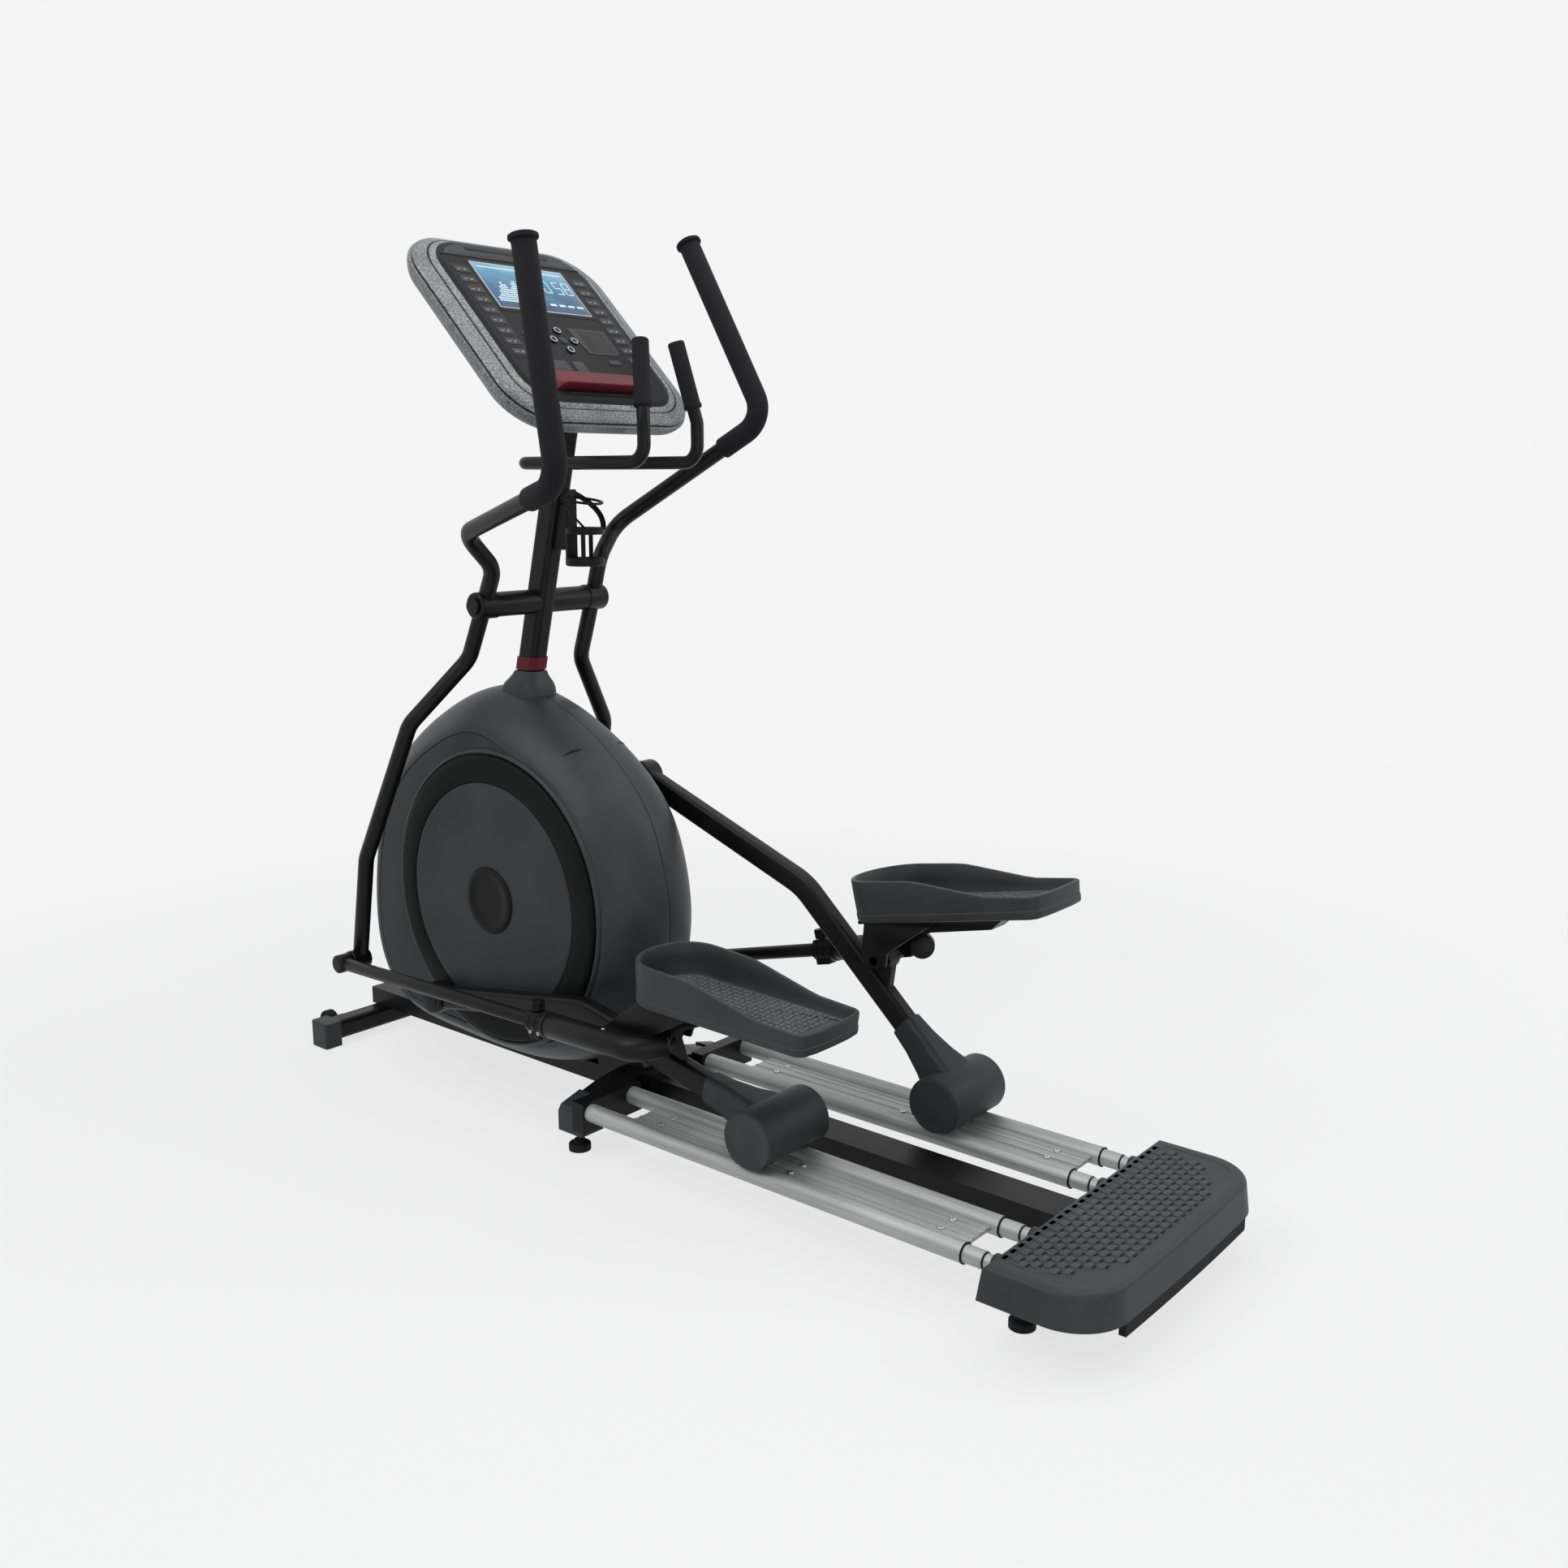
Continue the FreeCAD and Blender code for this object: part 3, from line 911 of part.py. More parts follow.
def link_tube(side):
    """Telescoping link: slim tube, split clamp on the sleeve's mouth and the end eye."""
    pose = REST[side]
    y = side * LINK_PLANE
    tube = bent_tube([(-LINK_LENGTH + 12, y, 0), (-SLEEVE_LENGTH + LINK_OVERLAP, y, 0)],
                      LINK_R, 0, LINK_R - LINK_WALL)
    eye = rod_y((-LINK_LENGTH, 0), 20, side * (SWING_PLANE + SWING_TUBE_R + 12), side * (LINK_PLANE + 16))
    clamp = bent_tube([(-SLEEVE_LENGTH - 46, y, 0), (-SLEEVE_LENGTH - GAP, y, 0)], 21, 0, LINK_R - 1)
    lug = box(-SLEEVE_LENGTH - 44, -SLEEVE_LENGTH - 8, y - 13, y + 13, -30, 22)
    lug = lug.cut(bent_tube([(-SLEEVE_LENGTH - 60, y, 0), (-SLEEVE_LENGTH + 10, y, 0)], 20, 0))
    stud = Part.makeCylinder(5, 22, V(-SLEEVE_LENGTH - 26, y, 18))
    solid = fuse([tube, eye, clamp, lug, stud])
    save("link_tube_" + SIDE_NAMES[side], place(solid, pose["pivot"], pose["link"]))
    spot = V(-SLEEVE_LENGTH - 26, y, 24)
    knob = Part.makeCylinder(14, 20, spot)
    knob = knob.makeFillet(3, [e for e in knob.Edges if abs(e.Length - 2 * math.pi * 14) < 1])
    for k in range(6):
        dx, dy = turn((16.5, 0), 60 * k)
        knob = knob.cut(Part.makeCylinder(4.5, 22, spot + V(dx, dy, -1)))
    knob = knob.cut(Part.makeCylinder(5 + RUNNING, 17, spot + V(0, 0, -1)))
    save("angle_knob_" + SIDE_NAMES[side], place(knob, pose["pivot"], pose["link"]))


def swing_arm_solid(side):
    """A swing arm in its own frame: two tube runs, hub and foot."""
    up = [(x, side * y, z) for x, y, z in SWING_UP]
    down = [(x, side * y, z) for x, y, z in SWING_DOWN] + [(0, side * SWING_PLANE, -SWING_RADIUS)]
    bore = SWING_TUBE_R - SWING_WALL
    bore_start = HUB_R + 8
    upper, upper_bore = hollow_bar(up, SWING_TUBE_R, SWING_BEND, bore, first=bore_start)
    lower, lower_bore = hollow_bar(down, SWING_TUBE_R, SWING_BEND, bore, first=bore_start,
                                   last=SWING_FOOT_R + 8)
    hub = rod_y((0, 0), HUB_R, side * HUB_IN, side * HUB_OUT)
    rim = [e for e in hub.Edges if abs(e.CenterOfMass.y - side * HUB_OUT) < 0.1]
    hub = hub.makeFillet(4, rim)
    foot = rod_y((0, -SWING_RADIUS), SWING_FOOT_R, side * (SWING_PLANE - SWING_TUBE_R),
                 side * (SWING_PLANE + SWING_TUBE_R + SWING_FOOT_PROUD))
    solid = fuse([upper, lower, hub, foot], refine=False).cut(upper_bore).cut(lower_bore)
    return solid.cut(rod_y((0, 0), SWING_AXLE_R + RUNNING, side * (HUB_IN - 2), side * (HUB_OUT + 2)))


def swing_grip_solid(side):
    """Foam sleeve over the arm's upper run and elbow, closed by a flanged cap."""
    before, elbow, top = [V(x, side * y, z) for x, y, z in SWING_UP[2:]]
    start = elbow + (before - elbow).normalize() * GRIP_BELOW_ELBOW
    direction = (top - elbow).normalize()
    crown = top + direction * 10
    sleeve = bent_tube([tuple(start), tuple(elbow), tuple(crown)], GRIP_R, SWING_BEND)
    flange = Part.makeCylinder(GRIP_FLANGE_R, 10, top + direction * 4, direction)
    flange = flange.makeFillet(3, [e for e in flange.Edges if e.Length > 2 * math.pi * GRIP_FLANGE_R - 1])
    below = start + (before - elbow).normalize()
    return fuse([sleeve, flange]).cut(bent_tube([tuple(below), tuple(elbow), tuple(top)],
                                                SWING_TUBE_R + SLIP, SWING_BEND))


def swing_arms():
    for side in (LEFT, RIGHT):
        swing = REST[side]["swing"]
        save("swing_arm_" + SIDE_NAMES[side], place(swing_arm_solid(side), SWING_PIVOT, swing))
        save("swing_grip_" + SIDE_NAMES[side], place(swing_grip_solid(side), SWING_PIVOT, swing))


# ------------------------------------------------------------------ console
def console_place(shape):
    """From the face frame (x to the user's right, y up the face, z out of it) to the machine."""
    moved = shape.copy()
    s, c = math.sin(math.radians(CONSOLE_TILT)), math.cos(math.radians(CONSOLE_TILT))
    moved = moved.transformGeometry(FreeCAD.Matrix(0, -s, c, CONSOLE_CENTER[0], 1, 0, 0, 0,
                                                   0, c, s, CONSOLE_CENTER[1], 0, 0, 0, 1))
    return moved


def face_wire(width, height, radius, z, shift=0.0):
    wire = rounded_rect(width, height, radius)
    wire.translate(V(0, shift, z))
    return wire


def console():
    w = CONSOLE_WALL

    def shell_wire(less_w, less_h, less_r, z):
        """The widest outline made smaller, at depth z."""
        return face_wire(SHELL_W - less_w, SHELL_H - less_h, SHELL_ROUND - less_r, z, CONSOLE_SHIFT)

    def front_solid(t):
        face = face_wire(FACE_W - 2 * t, FACE_H - 2 * t, FACE_ROUND - t, -t)
        return Part.makeLoft([shell_wire(2 * t, 2 * t, t, -CONSOLE_SPLIT),
                              shell_wire(14 + 2 * t, 14 + 2 * t, 5 + t, -CONSOLE_SPLIT + 16),
                              face], True, True)

    def back_solid(t):
        return Part.makeLoft([shell_wire(2 * t, 2 * t, t, -CONSOLE_SPLIT - GAP),
                              shell_wire(30 + 2 * t, 34 + 2 * t, 10 + t, -CONSOLE_DEPTH + 14),
                              shell_wire(110 + 2 * t, 120 + 2 * t, 30 + t, -CONSOLE_DEPTH + t)], True, True)

    front = front_solid(0).cut(front_solid(w))
    screen_cut = Part.Face(face_wire(SCREEN_W, SCREEN_H, 4, -w - 1, SCREEN_V)).extrude(V(0, 0, w + 3))
    front = front.cut(screen_cut)
    keys = {"up": (0, 1), "down": (0, -1), "left": (-1, 0), "right": (1, 0)}
    for dx, dy in keys.values():
        spot = V(KEY_CLUSTER[0] + dx * KEY_PITCH, KEY_CLUSTER[1] + dy * KEY_PITCH, -w - 1)
        front = front.cut(Part.makeCylinder(KEY_R + GAP, w + 2, spot))
    front = front.cut(Part.makeCylinder(STOP_KEY_R + GAP, w + 2, V(*STOP_KEY, -w - 1)))
    # Book ledge along the lower edge
    ledge_y = -FACE_H / 2 + 26
    ledge = box(-120, 120, ledge_y - 5, ledge_y, -1, 20)
    front = fuse([front, ledge])
    save("console_face", console_place(front))
    back = back_solid(0).cut(back_solid(w))
    back = console_place(back)
    neck = post_prism(NECK_BOTTOM, NECK_TOP, POST_DX + 26, POST_DY + 26, POST_ROUND + 13)
    neck = neck.cut(console_place(back_solid(w - 1)))
    back = back.fuse(neck)
    back = back.cut(post_prism(NECK_BOTTOM - 12, POST_TOP_Z + 4, POST_DX + 2 * SLIP, POST_DY + 2 * SLIP,
                               POST_ROUND + SLIP))
    save("console_back", max(back.removeSplitter().Solids, key=lambda s: s.Volume))
    screen = Part.Face(face_wire(SCREEN_W - 2 * SLIP, SCREEN_H - 2 * SLIP, 3.9, -w - 1.5, SCREEN_V))
    save("console_screen", console_place(screen.extrude(V(0, 0, w + 0.5))))

    def key(name, x, y, radius):
        cap = Part.makeCylinder(radius, w + KEY_PROUD, V(x, y, -w))
        cap = cap.makeFillet(1.0, [e for e in cap.Edges if abs(e.CenterOfMass.z - KEY_PROUD) < 0.1])
        save("key_" + name, console_place(cap))

    for name, (dx, dy) in keys.items():
        key(name, KEY_CLUSTER[0] + dx * KEY_PITCH, KEY_CLUSTER[1] + dy * KEY_PITCH, KEY_R)
    key("stop", *STOP_KEY, STOP_KEY_R)


def fixed_handlebar():
    front = post_x(BAR_Z) - POST_DX / 2 - (BAR_R + SLIP) / math.cos(math.radians(POST_LEAN))
    top = (-67.0, BAR_HALF - 24, 1548.0)
    shoulder = (BAR_REAR, BAR_HALF, 1405.0)
    half_path = [(front, BAR_HALF, BAR_Z), (BAR_REAR, BAR_HALF, BAR_Z), shoulder, top]
    path = [(x, -y, z) for x, y, z in reversed(half_path)] + half_path
    bar = bent_tube(path, BAR_R, BAR_BEND, BAR_R - BAR_WALL)
    # The bar is welded to the front face of the post
    save("fixed_handlebar", bar)
    grips = []
    for side in (LEFT, RIGHT):
        low, high = V(shoulder[0], side * shoulder[1], shoulder[2]), V(top[0], side * top[1], top[2])
        along = (high - low).normalize()
        end = high + along * 6
        start = end - along * FIXED_GRIP_LENGTH
        body = Part.makeCylinder(FIXED_GRIP_R, FIXED_GRIP_LENGTH, start, along)
        body = body.makeFillet(4, [e for e in body.Edges if e.Length > 2 * math.pi * FIXED_GRIP_R - 1])
        grips.append(body.cut(Part.makeCylinder(BAR_R + SLIP, FIXED_GRIP_LENGTH - 6, start, along)))
    save("fixed_grips", *grips)


def bottle_cage():
    """Cup-shaped cage on a bracket at the rear of the post."""
    x = post_x(CAGE_Z + CAGE_HEIGHT) + POST_DX / 2 + 16 + CAGE_R
    rings = [Part.makeCylinder(CAGE_R, 16, V(x, 0, CAGE_Z + dz)).cut(
        Part.makeCylinder(CAGE_R - CAGE_WALL, 18, V(x, 0, CAGE_Z + dz - 1))) for dz in (62, 122)]
    floor = Part.makeCylinder(CAGE_R, 5, V(x, 0, CAGE_Z))
    back = box(x - CAGE_R - 2, x - CAGE_R + 4, -14, 14, CAGE_Z, CAGE_Z + CAGE_HEIGHT)
    struts = []
    for degrees in (-50, -130):
        strut = box(-5, 5, CAGE_R - CAGE_WALL, CAGE_R, 0, CAGE_HEIGHT - 14)
        strut.rotate(V(0, 0, 0), V(0, 0, 1), degrees)
        strut.translate(V(x, 0, CAGE_Z))
        struts.append(strut)
    cage = fuse([floor, back] + rings + struts)
    low, high = CAGE_Z + 30, CAGE_Z + 120
    block = prism_y([(post_x(low) + POST_DX / 2, low), (x - CAGE_R + 2, low), (x - CAGE_R + 2, high),
                     (post_x(high) + POST_DX / 2, high)], -10, 10)
    save("bottle_cage", fuse([cage, block]))


def main():
    os.makedirs("parts", exist_ok=True)
    main_frame()
    crank_bearings()
    upright_post()
    front_stabilizer()
    transport_wheels()
    rails()
    rear_foot_x = step()
    rear_stem = REAR_CROSS_Z + 10
    levelling_feet([("mid_left", CROSS_X, -FOOT_Y, 66), ("mid_right", CROSS_X, FOOT_Y, 66),
                    ("rear_left", rear_foot_x, -REAR_FOOT_Y, rear_stem),
                    ("rear_right", rear_foot_x, REAR_FOOT_Y, rear_stem)])
    shroud()
    crank_set()
    drive()
    for side in (LEFT, RIGHT):
        pedal_arm(side)
        roller_cover(side)
        rollers(side)
        foot_pedal(side)
        pedal_frame(side)
        link_tube(side)
    swing_arms()
    console()
    fixed_handlebar()
    bottle_cage()


main()
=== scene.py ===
"""Elliptical trainer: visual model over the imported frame.

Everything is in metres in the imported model's own frame: +X to the rear step,
+Y to the user's right, +Z up.  Sizes that the frame knows are read from it;
the rest are named dataclass fields of the sub-assembly they belong to.
"""

import json
import logging
import math
from dataclasses import dataclass, field
from enum import Enum
from typing import Callable, Iterable, Optional, Sequence, Union

import bmesh
import bpy
import numpy as np
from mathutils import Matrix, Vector

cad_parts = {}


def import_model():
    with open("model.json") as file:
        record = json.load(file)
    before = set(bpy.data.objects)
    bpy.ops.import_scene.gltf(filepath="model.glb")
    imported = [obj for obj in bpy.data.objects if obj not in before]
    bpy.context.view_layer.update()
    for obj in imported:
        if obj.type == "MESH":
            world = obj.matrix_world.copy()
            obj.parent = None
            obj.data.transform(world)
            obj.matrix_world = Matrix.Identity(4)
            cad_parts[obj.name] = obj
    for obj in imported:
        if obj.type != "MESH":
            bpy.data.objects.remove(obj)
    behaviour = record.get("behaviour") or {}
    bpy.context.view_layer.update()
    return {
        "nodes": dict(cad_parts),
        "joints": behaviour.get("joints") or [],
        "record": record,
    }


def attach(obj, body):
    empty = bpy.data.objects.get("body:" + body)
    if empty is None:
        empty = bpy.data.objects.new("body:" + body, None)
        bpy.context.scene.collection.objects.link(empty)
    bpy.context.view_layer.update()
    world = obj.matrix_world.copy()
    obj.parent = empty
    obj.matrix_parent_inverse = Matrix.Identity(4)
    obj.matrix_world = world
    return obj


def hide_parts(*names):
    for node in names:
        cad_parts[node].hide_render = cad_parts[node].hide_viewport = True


LOG = logging.getLogger("trainer")
Array = np.ndarray
Number = Union[int, float]


# ---------------------------------------------------------------- shader maths
class Value:
    """A node socket that takes part in Python arithmetic."""

    def __init__(self, paint: "Paint", socket: bpy.types.NodeSocket) -> None:
        """Keeps the tree it belongs to and the socket."""
        self.paint = paint
        self.socket = socket

    def _math(self, operation: str, *others: "Union[Value, Number]") -> "Value":
        """Adds one Math node on this value and the others."""
        return self.paint.node("ShaderNodeMath", {"operation": operation}, [self, *others])

    def __add__(self, other: "Union[Value, Number]") -> "Value":
        """Sum."""
        return self._math("ADD", other)

    __radd__ = __add__

    def __sub__(self, other: "Union[Value, Number]") -> "Value":
        """Difference."""
        return self._math("SUBTRACT", other)

    def __mul__(self, other: "Union[Value, Number]") -> "Value":
        """Product."""
        return self._math("MULTIPLY", other)

    __rmul__ = __mul__

    def __truediv__(self, other: "Union[Value, Number]") -> "Value":
        """Quotient."""
        return self._math("DIVIDE", other)

    def step(self, low: float, high: float) -> "Value":
        """Smooth step from 0 at low to 1 at high."""
        settings = {"interpolation_type": "SMOOTHSTEP"}
        return self.paint.node("ShaderNodeMapRange", settings, {0: self, 1: low, 2: high, 3: 0.0, 4: 1.0})

    def scaled(self, low: float, high: float) -> "Value":
        """Maps 0..1 to low..high."""
        return self * (high - low) + low


class Paint:
    """One material's node tree and the calls that fill it."""

    def __init__(self, name: str) -> None:
        """Makes an empty material with a Principled shader."""
        self.material = bpy.data.materials.new(name)
        self.material.use_nodes = True
        self.tree = self.material.node_tree
        self.tree.nodes.clear()
        self.shader = self.tree.nodes.new("ShaderNodeBsdfPrincipled")
        output = self.tree.nodes.new("ShaderNodeOutputMaterial")
        self.tree.links.new(self.shader.outputs[0], output.inputs[0])
        self._coords: Optional[Value] = None

    def node(self, kind: str, settings: Optional[dict] = None, inputs: Union[dict, list, None] = None,
             output: Union[int, str] = 0) -> Value:
        """Adds a node of any kind.

        Args:
            kind: the node's type name.
            settings: its properties, set before its sockets.
            inputs: socket index or name to a number, colour or Value.
            output: which output to wrap.

        Returns:
            The wrapped output.
        """
        made = self.tree.nodes.new(kind)
        for key, setting in (settings or {}).items():
            if key == "stops":
                self._ramp(made.color_ramp, setting)
            else:
                setattr(made, key, setting)
        pairs = enumerate(inputs) if isinstance(inputs, list) else (inputs or {}).items()
        for key, value in pairs:
            self.put(made.inputs[key], value)
        return Value(self, made.outputs[output])

    @staticmethod
    def _ramp(ramp: bpy.types.ColorRamp, stops: Sequence[tuple]) -> None:
        """Sets a colour ramp's stops from (position, colour) pairs."""
        while len(ramp.elements) < len(stops):
            ramp.elements.new(1.0)
        for element, (place, colour) in zip(ramp.elements, stops):
            element.position = place
            element.color = (*colour, 1.0)

    def put(self, socket: bpy.types.NodeSocket, value: Union[Value, Number, Sequence[float]]) -> None:
        """Links a Value to a socket, or sets the socket to a number or colour."""
        if isinstance(value, Value):
            self.tree.links.new(value.socket, socket)
        elif isinstance(value, (tuple, list)) and len(value) == 3 and socket.type == "RGBA":
            socket.default_value = (*value, 1.0)
        else:
            socket.default_value = value

    def coords(self) -> Value:
        """Object coordinates, made once."""
        if self._coords is None:
            self._coords = self.node("ShaderNodeTexCoord", output="Object")
        return self._coords

    def along(self, direction: Sequence[float]) -> Value:
        """Distance of the surface point along a direction through the origin."""
        return self.node("ShaderNodeVectorMath", {"operation": "DOT_PRODUCT"},
                         [self.coords(), tuple(direction)], "Value")

    def stretched(self, scale: Sequence[float]) -> Value:
        """Object coordinates scaled by axis."""
        return self.node("ShaderNodeMapping", inputs={"Vector": self.coords(), "Scale": tuple(scale)})

    def noise(self, scale: float, detail: float = 2.0, rough: float = 0.5,
              vector: Optional[Value] = None) -> Value:
        """Noise from 0 to 1 on object coordinates."""
        return self.node("ShaderNodeTexNoise", None,
                         {"Vector": vector or self.coords(), "Scale": scale, "Detail": detail,
                          "Roughness": rough})

    def cells(self, scale: float) -> Value:
        """Distance to the nearest cell point."""
        return self.node("ShaderNodeTexVoronoi", None, {"Vector": self.coords(), "Scale": scale})

    def glow(self, colour: Union[Value, tuple], strength: float) -> None:
        """Lets the surface give off light of its own."""
        self.put(self.shader.inputs["Emission Color"], colour)
        self.put(self.shader.inputs["Emission Strength"], strength)

    def blend(self, factor: Union[Value, float], low: Union[Value, tuple],
              high: Union[Value, tuple]) -> Value:
        """Mixes two colours."""
        return self.node("ShaderNodeMix", {"data_type": "RGBA"}, {0: factor, 6: low, 7: high}, 2)

    def finish(self, colour: Union[Value, tuple], roughness: Union[Value, float],
               height: Optional[Value] = None, depth: float = 0.0005,
               **uniform: float) -> bpy.types.Material:
        """Feeds the Principled shader.

        Args:
            colour: base colour.
            roughness: roughness, a number or a varying value.
            height: height field for a Bump node.
            depth: metres of height for a full step of the height field.
            uniform: other sockets by name, spaces written as underscores.

        Returns:
            The material.
        """
        sockets = self.shader.inputs
        self.put(sockets["Base Color"], colour)
        self.put(sockets["Roughness"], roughness)
        if height is not None:
            bump = self.node("ShaderNodeBump", None, {"Height": height, "Distance": depth,
                                                      "Strength": 1.0})
            self.put(sockets["Normal"], bump)
        for key, value in uniform.items():
            self.put(sockets[key.replace("_", " ")], value)
        return self.material


def tint(colour: Sequence[float], factor: float, lift: float = 0.0) -> tuple:
    """A colour multiplied by a factor, then lifted."""
    return tuple(c * factor + lift for c in colour)


# ---------------------------------------------------------------- finishes
@dataclass(frozen=True)
class MouldedPlastic:
    """Spark-eroded moulded plastic: fine grain and faint mottling."""

    name: str
    colour: tuple
    roughness: float = 0.52
    grain: float = 900.0
    grain_depth: float = 0.00012
    mottle: float = 0.18
    specular: float = 0.22

    def make(self) -> bpy.types.Material:
        """Builds the material."""
        paint = Paint(self.name)
        cloud = paint.noise(9.0, 3.0)
        fine = paint.noise(self.grain, 2.0, 0.6)
        dark = tint(self.colour, 1 - self.mottle)
        light = tint(self.colour, 1 + self.mottle)
        colour = paint.blend((cloud * 0.7 + fine * 0.3).step(0.3, 0.7), dark, light)
        roughness = cloud.scaled(self.roughness - 0.06, self.roughness + 0.08) + (fine - 0.5) * 0.12
        return paint.finish(colour, roughness, fine, self.grain_depth, Specular_IOR_Level=self.specular)


@dataclass(frozen=True)
class PowderCoat:
    """Black powder coat with orange peel and a soft gloss."""

    name: str
    colour: tuple
    roughness: float = 0.34
    specular: float = 0.16

    def make(self) -> bpy.types.Material:
        """Builds the material."""
        paint = Paint(self.name)
        peel = paint.noise(420.0, 1.0, 0.4)
        cloud = paint.noise(14.0, 3.0)
        colour = paint.blend(cloud.step(0.35, 0.7), self.colour, tint(self.colour, 1.6))
        roughness = cloud.scaled(self.roughness - 0.05, self.roughness + 0.09)
        return paint.finish(colour, roughness, peel, 0.00012, Specular_IOR_Level=self.specular)


@dataclass(frozen=True)
class Foam:
    """Closed-cell foam sleeve: matt, finely pocked."""

    name: str
    colour: tuple = (0.008, 0.008, 0.0088)

    def make(self) -> bpy.types.Material:
        """Builds the material."""
        paint = Paint(self.name)
        pocks = paint.cells(1100.0)
        cloud = paint.noise(30.0, 4.0)
        light = tint(self.colour, 1.9)
        colour = paint.blend((cloud * 0.6 + pocks * 0.5).step(0.2, 0.9), self.colour, light)
        return paint.finish(colour, cloud.scaled(0.66, 0.82), pocks, 0.0003, Specular_IOR_Level=0.12)


@dataclass(frozen=True)
class DrawnAluminium:
    """Satin extruded aluminium, with fine die lines along X and light rub marks."""

    name: str
    colour: tuple = (0.52, 0.525, 0.52)

    def make(self) -> bpy.types.Material:
        """Builds the material."""
        paint = Paint(self.name)
        lines = paint.noise(1.0, 3.0, 0.6, paint.stretched((2.0, 900.0, 900.0)))
        rub = paint.noise(6.0, 4.0, 0.6, paint.stretched((0.6, 6.0, 6.0)))
        dark = tint(self.colour, 0.5)
        colour = paint.blend((lines * 0.6 + rub * 0.5).step(0.3, 0.8), dark, self.colour)
        roughness = lines.scaled(0.46, 0.64) + (rub - 0.5) * 0.1
        return paint.finish(colour, roughness, lines, 0.00008, Metallic=0.6, Specular_IOR_Level=0.3)


@dataclass(frozen=True)
class BrightSteel:
    """Turned or plated steel."""

    name: str
    colour: tuple = (0.55, 0.55, 0.56)
    roughness: float = 0.24

    def make(self) -> bpy.types.Material:
        """Builds the material."""
        paint = Paint(self.name)
        cloud = paint.noise(60.0, 3.0)
        fine = paint.noise(700.0, 1.0)
        colour = paint.blend(cloud, tint(self.colour, 0.8), self.colour)
        return paint.finish(colour, cloud.scaled(self.roughness, self.roughness + 0.14), fine, 0.00005,
                            Metallic=1.0)


@dataclass(frozen=True)
class Rubber:
    """Dull rubber with a faint bloom."""

    name: str
    colour: tuple = (0.010, 0.010, 0.0108)

    def make(self) -> bpy.types.Material:
        """Builds the material."""
        paint = Paint(self.name)
        bloom = paint.noise(35.0, 4.0, 0.6)
        fine = paint.noise(800.0, 2.0)
        colour = paint.blend(bloom.step(0.35, 0.75), self.colour, tint(self.colour, 1.8, 0.004))
        return paint.finish(colour, bloom.scaled(0.6, 0.82), fine, 0.00015, Specular_IOR_Level=0.12)


@dataclass(frozen=True)
class SilverFleck:
    """Silver-grey moulded shell with dark and pale flecks."""

    name: str
    colour: tuple = (0.15, 0.153, 0.157)
    scale: float = 300.0

    def make(self) -> bpy.types.Material:
        """Builds the material."""
        paint = Paint(self.name)
        fleck = paint.noise(self.scale, 2.0, 0.7)
        cloud = paint.noise(20.0, 3.0)
        dark = tint(self.colour, 0.35)
        light = tint(self.colour, 1.75)
        colour = paint.blend((fleck * 0.85 + cloud * 0.15).step(0.36, 0.64), dark, light)
        return paint.finish(colour, fleck.scaled(0.34, 0.55), fleck, 0.00015, Metallic=0.25)


@dataclass(frozen=True)
class Backlit:
    """Blue display: pale at the top edge, deep at the foot, with faint clouding."""

    name: str
    up: tuple
    low: float
    high: float
    bright: float = 0.12

    def make(self) -> bpy.types.Material:
        """Builds the material."""
        paint = Paint(self.name)
        height = (paint.along(self.up) - self.low) / (self.high - self.low)
        cloud = paint.noise(18.0, 2.0)
        sky = paint.node("ShaderNodeValToRGB", {"stops": (
            (0.0, (0.008, 0.045, 0.11)), (0.35, (0.02, 0.11, 0.22)), (0.7, (0.06, 0.23, 0.36)),
            (1.0, (0.2, 0.42, 0.54)))}, [height * 0.9 + (cloud - 0.5) * 0.5])
        material = paint.finish(sky, cloud.scaled(0.12, 0.22), Specular_IOR_Level=0.25)
        paint.glow(sky, self.bright)
        return material


@dataclass(frozen=True)
class Printed:
    """Ink or a lit mark: nearly flat, with slight wear."""

    name: str
    colour: tuple
    glow: float = 0.0

    def make(self) -> bpy.types.Material:
        """Builds the material."""
        paint = Paint(self.name)
        wear = paint.noise(240.0, 3.0)
        colour = paint.blend(wear.step(0.2, 0.8), tint(self.colour, 0.75), self.colour)
        material = paint.finish(colour, wear.scaled(0.4, 0.6))
        if self.glow:
            paint.glow(colour, self.glow)
        return material


